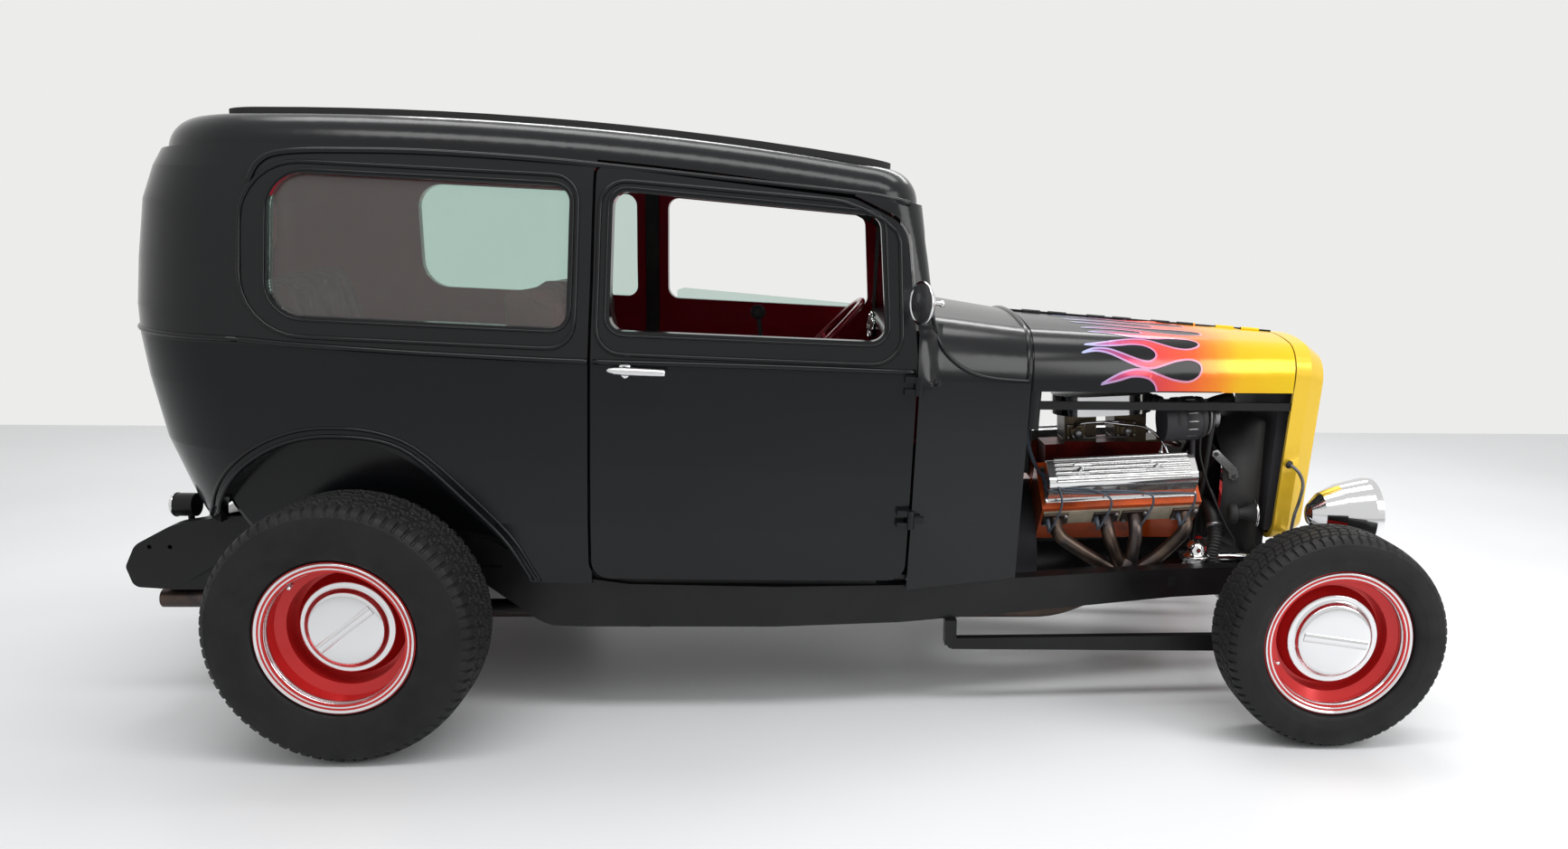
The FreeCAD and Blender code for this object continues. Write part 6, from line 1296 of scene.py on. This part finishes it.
    def filler(self):
        lathe("oil_filler",
              [(-30, 22), (-8, 22), (-6, 17), (0, 15), (96, 15), (98, 18), (103, 18), (104, 12),
               (104, 0)], chassis(2387, -46, 718), UP, "chrome", 32)
        line = curve(chassis, [(2387, -46, 812), (2387, -46, 850), (2374, -50, 884),
                               (2340, -54, 894)], 16)
        tube("breather_hose", line, lambda share: 0.0165 + 0.0024 * math.sin(share * 130),
             "hose_rubber", 18)

    def alternator(self):
        """The alternator's case and pulley. Returns its centre."""
        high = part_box("front_drive")[1]
        centre = Vector((engine(390, -229, 0).x, engine(0, -229, 0).y, high.z - 0.0664))
        lathe("alternator_case",
              [(-3, 0), (-3, 40), (2, 56), (10, 66.5), (30, 67.3), (32, 64), (38, 64), (40, 67.6),
               (78, 67.6), (80, 64), (86, 64), (88, 67), (104, 64), (111, 50), (112, 0)],
              centre, FORWARD, "black_plastic", 56)
        vents = []
        for c, s in circle(16):
            edge = centre + facing_frame(FORWARD) @ Vector((c, s, 0)) * 0.0665
            vents.append(tube_mesh([edge + FORWARD * 0.044, edge + FORWARD * 0.074], 0.0028, 6))
        joined("alternator_ribs", vents, "bare_steel")
        lathe("alternator_pulley",
              [(112, 0), (112, 12), (116, 56), (119, 58), (121, 20), (132, 20), (134, 36),
               (139, 30), (145, 30), (150, 36), (152, 34), (153, 9), (162, 9), (163, 0)],
              centre, FORWARD, "bare_steel", 40)
        return centre

    def belt(self, alternator):
        """One belt round the crank, pump and alternator pulleys."""
        spot = ENGINE_PLACE.inverted() @ alternator
        circles = ((0, 0, 0.0845), (0, 0.1832, 0.0745), (spot.y, spot.z, 0.0315))
        points = sorted((y + radius * c, z + radius * s)
                        for y, z, radius in circles for c, s in circle(48))
        hull = []
        for order in (points, points[::-1]):
            chain = []
            for y, z in order:
                while len(chain) > 1:
                    (y0, z0), (y1, z1) = chain[-2:]
                    if (y1 - y0) * (z - z0) - (z1 - z0) * (y - y0) > 0:
                        break
                    chain.pop()
                chain.append((y, z))
            hull += chain[:-1]
        line = spaced([Vector(p) for p in hull], 0.012)
        centre = sum(line, Vector((0, 0))) / len(line)
        verts = []
        for p in line:
            out = (p - centre).normalized()
            for x, rise in ((0.537, 0.0), (0.549, 0.0), (0.551, 0.007), (0.535, 0.007)):
                verts.append(ENGINE_PLACE @ Vector((x, *(p + out * rise))))
        mesh_piece("drive_belt", verts, grid_faces(len(line), 4, True, True), "hose_rubber")

    def fan(self):
        lathe("fan_hub",
              [(0, 0), (0, 44), (8, 46), (10, 30), (26, 28), (30, 38), (34, 38), (36, 20),
               (44, 18), (46, 0)], engine(556, 0, WATER_PUMP), FORWARD, "bare_steel", 40)
        rows = ((36, 0.22), (60, 0.26), (100, 0.27), (150, 0.26), (186, 0.24), (192, 0.20))
        ring = [(edge, thick) for thick, edges in ((-0.9, (-1, -0.4, 0.3, 1)),
                                                   (0.9, (1, 0.3, -0.4, -1))) for edge in edges]
        # The faces at the back start one corner on, so that both sides split along one diagonal.
        faces = [face if k % len(ring) < 4 else face[1:] + face[:1]
                 for k, face in enumerate(grid_faces(len(rows), len(ring), loop_wide=True))]
        for j in range(3):
            faces += [[j, 7 - j, 6 - j, j + 1], [40 + j, 41 + j, 46 - j, 47 - j]]
        blades = []
        for blade in range(6):
            points = []
            for radius, half in rows:
                for edge, thick in ring:
                    angle = math.radians(60 * blade + 12) + half * edge
                    points.append(engine(588 + 15 * edge - 5 * edge * edge + thick,
                                         radius * math.cos(angle),
                                         WATER_PUMP + radius * math.sin(angle)))
            blades.append((points, faces))
        joined("fan_blades", blades, "cast_iron", smooth=False)

    def shroud(self):
        """A tapering duct from the radiator's square back to a round mouth at the fan."""
        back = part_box("radiator")[0].x + 0.004
        count = 64
        # Each row: how far back, the square's share, the circle's radius and the square's size.
        rows = ((0, 1.0, 190, 1), (0.030, 1.0, 190, 1), (0.060, 0.25, 205, 1),
                (0.130, 0.0, 203, 1), (0.130, 0.0, 199, 1), (0.056, 0.25, 200, 1),
                (0.026, 1.0, 190, 0.976), (0, 1.0, 190, 0.976))
        verts = []
        for behind, share, radius, inside in rows:
            for c, s in circle(count):
                size = min(0.182 / max(1e-6, abs(c)), 0.232 / max(1e-6, abs(s))) * inside
                spot = (Vector((c, s)) * radius * MM).lerp(Vector((c, s)) * size, share)
                verts.append((back - behind, spot.x, engine(600, 0, WATER_PUMP).z + spot.y))
        mesh_piece("fan_shroud", verts, grid_faces(len(rows), count, True, True, True),
                   "black_plastic")

    def hoses(self):
        """The hoses between the radiator and the pump, with their clamps."""
        plain = curve(chassis, [(2500, -62, 548), (2524, -118, 560), (2536, -160, 536),
                                (2541, -184, 498)], 10)
        ribbed = curve(chassis, [(2541, -184, 502), (2538, -204, 462), (2528, -218, 420),
                                 (2530, -220, 388), (2562, -206, 366), (2622, -180, 376),
                                 (2690, -150, 420)], 18)
        joined("lower_hose", [
            tube_mesh(plain, 0.021, 18),
            tube_mesh(ribbed, lambda share: 0.0215 + 0.0028 * math.sin(share * 175), 18)],
            "hose_rubber")
        upper = curve(engine, [(505, 30, 330), (560, 50, 372), (640, 60, 420), (720, 60, 440)], 12)
        tube("upper_hose", upper, 0.021, "hose_rubber", 18)
        joined("hose_clamps", [
            lathe_mesh([(0, 22.5), (1, 24), (11, 24), (12, 22.5)], chassis(2539, -178, 506),
                       (0.05, -0.5, -0.8), 24),
            lathe_mesh([(0, 22), (1, 23.6), (11, 23.6), (12, 22)], engine(512, 34, 336),
                       (0.75, 0.25, 0.6), 24)], "bare_steel")
        lathe("thermostat_neck", [(0, 38), (10, 38), (12, 26), (34, 21), (48, 20), (49, 0)],
              engine(492, 14, 300), (0.3, 0.3, 0.9), "cast_alloy", 32)

    def fuel_pump(self):
        lathe("fuel_pump",
              [(0, 0), (0, 20), (3, 24), (14, 27), (20, 29), (23, 40), (27, 42), (32, 42),
               (35, 38), (38, 31), (54, 30), (66, 27), (76, 19), (80, 8), (81, 0)],
              chassis(2470, -222, 380), UP, "chrome", 40)
        joined("fuel_pump_foot", [slab_mesh((2440, -205, 384), (2500, -120, 404),
                                            CHASSIS_PLACE @ MILLIMETRES, 4)], "cast_alloy")
        line = curve(chassis, [(2508, -222, 407), (2546, -224, 407), (2600, -222, 408),
                               (2640, -214, 404), (2660, -196, 388)])
        tube("fuel_feed", line, 0.0125, "chrome", 18)

    def strut(self):
        """The bright bracket between the alternator and the pump."""
        outline = [(2508, 752), (2522, 756), (2590, 694), (2597, 668), (2580, 656), (2566, 664),
                   (2562, 684), (2506, 736)]
        plate_piece("drive_strut", [[chassis(x, y, z) for x, z in outline] for y in (-206, -211)],
                    "polished_alloy")
        heads = [lathe_mesh([(0, 7), (4, 7), (5, 5.5), (5, 0)], chassis(x, -211, z), (0, -1, 0), 6)
                 for x, z in ((2518, 742), (2580, 672))]
        joined("strut_bolts", heads, "black_plastic", smooth=False)

    def cable_and_horn(self):
        line = [(2440, -170, 905), (2459, -226, 866), (2455, -240, 756), (2484, -238, 665),
                (2515, -234, 599), (2561, -230, 512), (2592, -228, 459), (2579, -226, 415),
                (2544, -224, 391), (2500, -214, 372)]
        tube("choke_cable", curve(chassis, line), 0.0028, "hose_rubber", 8)
        axis, root = Vector((1, -0.1, 0.05)), chassis(2572, -214, 548)
        lathe("horn_bell",
              [(0, 0), (0, 22), (4, 30), (20, 32), (24, 30), (26, 16), (44, 18), (62, 24),
               (76, 34), (82, 41), (84, 42), (83, 38), (70, 26), (50, 14), (40, 0)],
              root, axis, "black_plastic", 36)
        lathe("horn_ring", [(0, 41), (2, 43.5), (6, 43.5), (7, 41)],
              root + axis.normalized() * 0.079, axis, "chrome", 36)


# The door's outline of (x, z, corner radius) in the body frame.
DOOR_EDGE = ((598, 484, 50), (1484, 498, 50), (1484, 1137, 50), (1438, 1500, 90), (1290, 1566, 90),
             (598, 1616, 24))
# How far the door seals lie behind the skin, and how thick they are.
SEAL_DEPTH, SEAL_THICK = 0.0425, 0.005
# Where the hood ends on the cowl, and where the windscreen pillar stands.
HOOD_END, PILLAR = 1822, 1512


class HOTROD_OT_fittings(bpy.types.Operator):
    """Adds door seals and handles, lamp lenses, a conduit, mirrors and a lowered window"""
    bl_idname = "hot_rod.fittings"
    bl_label = "Fittings"

    def execute(self, context):
        for name, side in SIDES:
            self.seal(name, side)
            self.handle(name, side)
            self.conduit(name, side)
            self.tail_lamp(name, side)
            self.pillar_foot(name, side)
        self.hood_ledge()
        self.mirrors()
        self.lowered_glass()
        return {"FINISHED"}

    def hood_ledge(self):
        """The ledge on the cowl that the hood's rear edge closes on."""
        tree = search_tree("cowl")
        ahead = BODY_TURN @ Vector((1, 0, 0))
        verts = []
        for degrees in range(-104, 105, 4):
            out = over_cowl(degrees)
            start = body(HOOD_END, 0, HOOD_AXIS_HEIGHT) + out * 1.2
            place = tree.ray_cast(start, -out, 1.2)[0]
            if place:
                verts += [place - out * depth + ahead * along for along, depth in (
                    (-0.004, 0.012), (0.040, 0.012), (0.040, 0.018), (-0.004, 0.018))]
        mesh_piece("hood_ledge", verts, grid_faces(len(verts) // 4, 4, False, True, True),
                   "satin_black")

    def pillar_foot(self, name, side):
        """A fairing that carries the windscreen pillar's foot down into the cowl's side."""
        tree = search_tree("cowl")

        def reach(x, z):
            hit = side_hit(tree, side, x, z)
            return abs((BODY_PLACE.inverted() @ hit[0]).y) if hit else 0.0

        levels = [(z, reach(PILLAR, z)) for z in range(1300, 1060, -4)]
        levels = sorted(level for level in levels if level[1])
        step, foot = max((above[1] - under[1], above[0])
                         for under, above in zip(levels, levels[1:]))
        if step < 0.004:
            return
        columns = range(1484, 1557, 6)
        rows = range(foot + 24, foot - 145, -8)
        wide, high = len(columns), len(rows)
        skin = np.array([[reach(x, z) + 0.0002 for z in rows] for x in columns])
        share = np.clip((foot + 6 - np.array(rows)) / 150, 0, 1)
        ease = share * share * (3 - 2 * share)
        top = np.array([reach(x, foot + 6) for x in columns])[:, None]
        low = np.array([reach(x, foot - 150) for x in columns])[:, None]
        level = np.maximum(skin, top + (low - top) * ease)
        for _ in range(12):
            mean = (level[:-2, 1:-1] + level[2:, 1:-1] + level[1:-1, :-2] + level[1:-1, 2:]) / 4
            level[1:-1, 1:-1] = np.maximum(skin[1:-1, 1:-1], mean)
        points = [body(x, side * level[k, j] * 1000, z)
                  for k, x in enumerate(columns) for j, z in enumerate(rows)]
        mesh_piece("pillar_fairing_" + name, points, grid_faces(wide, high, flip=side > 0),
                   "satin_black")

    def mirrors(self):
        dishes, glasses = [], []
        for _, side in SIDES:
            centre = body(1478, side * 706, 1304)
            look = BODY_TURN @ Vector((-0.90, side * 0.44, 0.0))
            dishes.append(lathe_mesh(
                [(-20, 0), (-20, 12), (-17, 30), (-10, 46), (0, 56), (5, 58.5), (8, 58), (8.5, 55),
                 (5, 53), (4, 0)], centre, look, 48))
            line = smooth_line([centre - look * 0.016, body(1506, side * 690, 1304),
                                body(1532, side * 660, 1302), body(1528, side * 600, 1300),
                                body(1512, side * 560, 1298)], 8)
            dishes.append(tube_mesh(line, 0.0055, 12))
            dishes.append(lathe_mesh([(-9, 0), (-8, 5), (0, 9), (8, 5), (9, 0)],
                                     body(1532, side * 662, 1302), UP, 16))
            glasses.append(lathe_mesh([(4.5, 53.5), (6.5, 52), (7, 0)], centre, look, 48))
        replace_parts(joined("mirror_pair", dishes, "chrome"), "mirrors")
        joined("mirror_glass", glasses, "mirror_back")

    def lowered_glass(self):
        """The top edge of the far door's lowered window."""
        corners = ((676, 1160), (1352, 1160), (1352, 1197), (700, 1226), (676, 1216))
        hit = side_hit(search_tree("door_left"), 1, 1000, 1160)
        level = (BODY_PLACE.inverted() @ hit[0]).y * 1000 - 17
        plate_piece("lowered_glass",
                    [[body(x, level - drop, z) for x, z in corners] for drop in (0, 5)],
                    "window_tint", "door_left")

    def seal(self, name, side):
        """A rubber strip behind the gap along the top, rear and foot of a door."""
        door = search_tree("door_" + name)
        around = search_tree("quarter_panel_" + name, "roof_panel", "cowl")
        line = spaced(rounded(DOOR_EDGE), 26)
        start = next(k for k, p in enumerate(line) if p.x < 1400 and p.y > 1500)
        line = line[start:] + line[:start]
        verts = []
        for k, here in enumerate(line):
            if here.x > 1420 and here.y < 1495:
                continue
            ahead = line[(k + 1) % len(line)] - line[k - 1]
            inward = Vector((-ahead.y, ahead.x)).normalized()
            if inward.dot(Vector((1040, 1050)) - here) < 0:
                inward = -inward
            near, far = here + inward * 14, here - inward * 34
            hit = side_hit(door, side, near.x, near.y)
            other = side_hit(around, side, far.x, far.y)
            if hit is None:
                continue
            place, normal = hit
            first = place - normal * SEAL_DEPTH
            if other is None or (other[0] - place).length > 0.09:
                second = first + BODY_TURN @ Vector((far.x - near.x, 0, far.y - near.y)) * MM
            else:
                second = other[0] - other[1] * SEAL_DEPTH
            verts += [first, second, second - normal * SEAL_THICK, first - normal * SEAL_THICK]
        faces = grid_faces(len(verts) // 4, 4, loop_wide=True, flip=side < 0)
        faces += [[0, 1, 2, 3], [len(verts) - 1 - k for k in range(4)]]
        mesh_piece("door_seal_" + name, verts, faces, "hose_rubber", smooth=False)

    def handle(self, name, side):
        rider = "door_" + name
        tree = search_tree(rider)
        hit = side_hit(tree, side, 690, 1058) or side_hit(tree, side, 660, 1085)
        out = BODY_TURN @ Vector((0, side, 0))
        root = body(690, side * 655, 1085)
        surface = root + out * ((hit[0] - root).dot(out))
        rows = ((0.0, 1.0), (1.5, 1.0), (4.5, 0.90), (6.5, 0.66), (7.5, 0.0))
        work = bmesh.new()
        verts = [work.verts.new(surface + out * rise * MM
                                + BODY_TURN @ Vector((17 * share * c, 0, 26 * share * s)) * MM)
                 for rise, share in rows for c, s in circle(32)]
        for face in grid_faces(len(rows), 32, loop_wide=True):
            work.faces.new([verts[k] for k in face])
        bmesh.ops.remove_doubles(work, verts=work.verts[:], dist=1e-5)
        bmesh.ops.recalc_face_normals(work, faces=work.faces[:])
        bmesh_piece("handle_plate_" + name, work, "chrome", rider)
        lathe("handle_stem_" + name,
              [(0, 13), (6, 11), (16, 10.2), (34, 10.6), (46, 10.4), (46, 0)], surface, out,
              "chrome", 24, rider)
        lathe("handle_lever_" + name,
              [(-34, 0), (-33, 4), (-26, 8), (-12, 10), (2, 10.8), (12, 11.6), (60, 11.0),
               (112, 10.0), (120.6, 9.6), (123, 7), (124, 0)],
              body(681, side * 689, 1085), BODY_TURN @ Vector((1, 0, 0)), "chrome", 24, rider)

    def conduit(self, name, side):
        line = [(2742, 232, 716), (2752, 247, 711), (2772, 256, 690), (2784, 262, 655),
                (2775, 268, 605), (2762, 271, 560), (2757, 270, 515), (2760, 262, 480)]
        tube("lamp_conduit_" + name, curve(chassis, [(x, side * y, z) for x, y, z in line]),
             0.0052, "braid_grey", 12)
        lathe("conduit_grommet_" + name, [(0, 13), (3, 13), (6, 9), (9, 7), (9, 0)],
              chassis(2744, side * 238, 715), (0.35, side, -0.1), "hose_rubber", 20)

    def tail_lamp(self, name, side):
        back = Vector((-1, 0, 0))
        centre = chassis(-624, side * 420, 619)
        lathe("tail_lens_" + name, [(0, 29), (3, 28), (8, 24), (11, 16), (12.5, 0)], centre, back,
              "lamp_red", 40)
        lathe("tail_rim_" + name, [(-6, 34.5), (-5, 36), (0, 36), (4, 33), (4.5, 30), (2, 28.5),
                                   (-2, 29)], centre, back, "chrome", 40, closed=True)


# The share of a cushion that its filling takes, and the frames over which the cloth swells.
SEAT_FILL = 0.75
CLOTH_FRAMES = 20


class HOTROD_OT_cabin(bpy.types.Operator):
    """Pads the seats and adds the gauges"""
    bl_idname = "hot_rod.cabin"
    bl_label = "Cabin"

    def execute(self, context):
        for node in ("front_seats", "rear_seat"):
            self.pad(context, node, SEAT_FILL)
        self.gauges()
        return {"FINISHED"}

    def evaluated(self, context, holder):
        graph = context.evaluated_depsgraph_get()
        graph.update()
        return bpy.data.meshes.new_from_object(holder.evaluated_get(graph))

    def pad(self, context, node, fill):
        cabin = context.scene.hot_rod_cabin
        data = NODES[node].data.copy()
        data.materials.clear()
        holder = bpy.data.objects.new(node + "_padded", data)
        context.scene.collection.objects.link(holder)
        shape = holder.modifiers.new("remesh", "REMESH")
        shape.mode = "VOXEL"
        shape.voxel_size = cabin.mesh_step
        relax = holder.modifiers.new("relax", "SMOOTH")
        relax.factor, relax.iterations = 0.6, 8
        shrink = holder.modifiers.new("shrink", "DISPLACE")
        shrink.mid_level = 0
        shrink.strength = -cabin.shrink
        slim = self.evaluated(context, holder)
        holder.modifiers.clear()
        holder.data = slim
        count = len(slim.vertices)
        start = np.empty(count * 3)
        slim.vertices.foreach_get("co", start)
        start = start.reshape(-1, 3)
        cloth = holder.modifiers.new("swell", "CLOTH")
        cloth.settings.quality = 5
        cloth.settings.mass = 0.3
        cloth.settings.use_pressure = True
        cloth.settings.uniform_pressure_force = 4.0
        cloth.settings.effector_weights.gravity = 0.0
        cloth.collision_settings.use_collision = False
        cloth.point_cache.frame_start = 1
        cloth.point_cache.frame_end = CLOTH_FRAMES
        for step in range(1, CLOTH_FRAMES + 1):
            context.scene.frame_set(step)
        swollen = self.evaluated(context, holder)
        holder.modifiers.clear()
        moved = np.empty(count * 3)
        swollen.vertices.foreach_get("co", moved)
        shift = moved.reshape(-1, 3) - start
        length = np.linalg.norm(shift, axis=1, keepdims=True)
        shift *= np.minimum(1, cabin.swell / np.maximum(length, 1e-9))
        holder.data.vertices.foreach_set("co", (start + shift).reshape(-1))
        context.scene.frame_set(1)
        fine = holder.modifiers.new("fine", "SUBSURF")
        fine.levels = fine.render_levels = 1
        holder.data = self.evaluated(context, holder)
        holder.modifiers.clear()
        self.channels(holder.data, cabin)
        soften(holder.data)
        holder.data.materials.append(finish("burgundy_cloth"))
        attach(holder, "car")
        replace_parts(holder, node)

    def channels(self, data, cabin):
        """Sewn channels along the seat, on the faces that look up or forward."""
        count = len(data.vertices)
        place = np.empty(count * 3)
        data.vertices.foreach_get("co", place)
        place = place.reshape(-1, 3)
        facing = np.empty(count * 3)
        data.vertices.foreach_get("normal", facing)
        facing = facing.reshape(-1, 3)
        gap = cabin.channel_gap
        offset = np.abs((place[:, 1] + gap / 2) % gap - gap / 2)
        shown = np.clip((np.maximum(facing[:, 0], facing[:, 2]) - 0.45) * 4, 0, 1)
        depth = cabin.channel_depth * np.exp(-(offset / 0.0075) ** 2) * shown
        data.vertices.foreach_set("co", (place - facing * depth[:, None]).reshape(-1))
        data.update()

    def gauges(self):
        low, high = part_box("dashboard")
        axis = (-1, 0, 0.1)
        turn = facing_frame(axis)
        rims, faces, marks = [], [], []
        for y, z, radius in ((330, -68, 48), (235, -64, 28), (425, -64, 28), (165, -64, 28)):
            centre = Vector((low.x, y * MM, high.z + z * MM))
            rims.append(lathe_mesh([(-2, radius), (4, radius + 3), (9, radius + 2),
                                    (10, radius - 3), (4, radius - 4)], centre, axis, 36, True))
            faces.append(lathe_mesh([(-2, radius - 2), (4, radius - 3), (4.2, 0)], centre, axis,
                                    36))
            for k in range(11):
                angle = math.radians(-120 + 24 * k)
                spoke = Vector((math.sin(angle), math.cos(angle), 0)) * radius
                ends = [centre + turn @ (spoke * share + Vector((0, 0, 4.6))) * MM
                        for share in (0.74, 0.86)]
                marks.append(tube_mesh(ends, 0.0007, 5))
        joined("gauge_rims", rims, "chrome")
        joined("gauge_faces", faces, "black_plastic")
        joined("gauge_marks", marks, "gasket_cream")


CLASSES = [PaintSettings, TyreSettings, TrimSettings, CabinSettings, StudioSettings,
           HOTROD_OT_stage, HOTROD_OT_finishes, HOTROD_OT_flames, HOTROD_OT_mouldings,
           HOTROD_OT_tyres, HOTROD_OT_wheels, HOTROD_OT_engine, HOTROD_OT_fittings,
           HOTROD_OT_cabin]
SETTINGS = (("hot_rod_paint", PaintSettings), ("hot_rod_tyres", TyreSettings),
            ("hot_rod_trim", TrimSettings), ("hot_rod_studio", StudioSettings),
            ("hot_rod_cabin", CabinSettings))
STEPS = ("stage", "finishes", "flames", "mouldings", "tyres", "wheels", "engine",
         "fittings", "cabin")


class HOTROD_PT_panel(bpy.types.Panel):
    """Lists the steps and their settings"""
    bl_label = "Hot rod"
    bl_idname = "HOTROD_PT_panel"
    bl_space_type = "VIEW_3D"
    bl_region_type = "UI"
    bl_category = "Hot Rod"

    def draw(self, context):
        for step in STEPS:
            self.layout.operator("hot_rod." + step)
        for name, group in SETTINGS:
            for key in group.__annotations__:
                self.layout.prop(getattr(context.scene, name), key)


def register():
    for item in [*CLASSES, HOTROD_PT_panel]:
        bpy.utils.register_class(item)
    for name, group in SETTINGS:
        setattr(bpy.types.Scene, name, PointerProperty(type=group))


def unregister():
    for name, _ in SETTINGS:
        delattr(bpy.types.Scene, name)
    for item in reversed([*CLASSES, HOTROD_PT_panel]):
        bpy.utils.unregister_class(item)


def main():
    register()
    for step in STEPS:
        getattr(bpy.ops.hot_rod, step)()


if __name__ == "__main__":
    main()
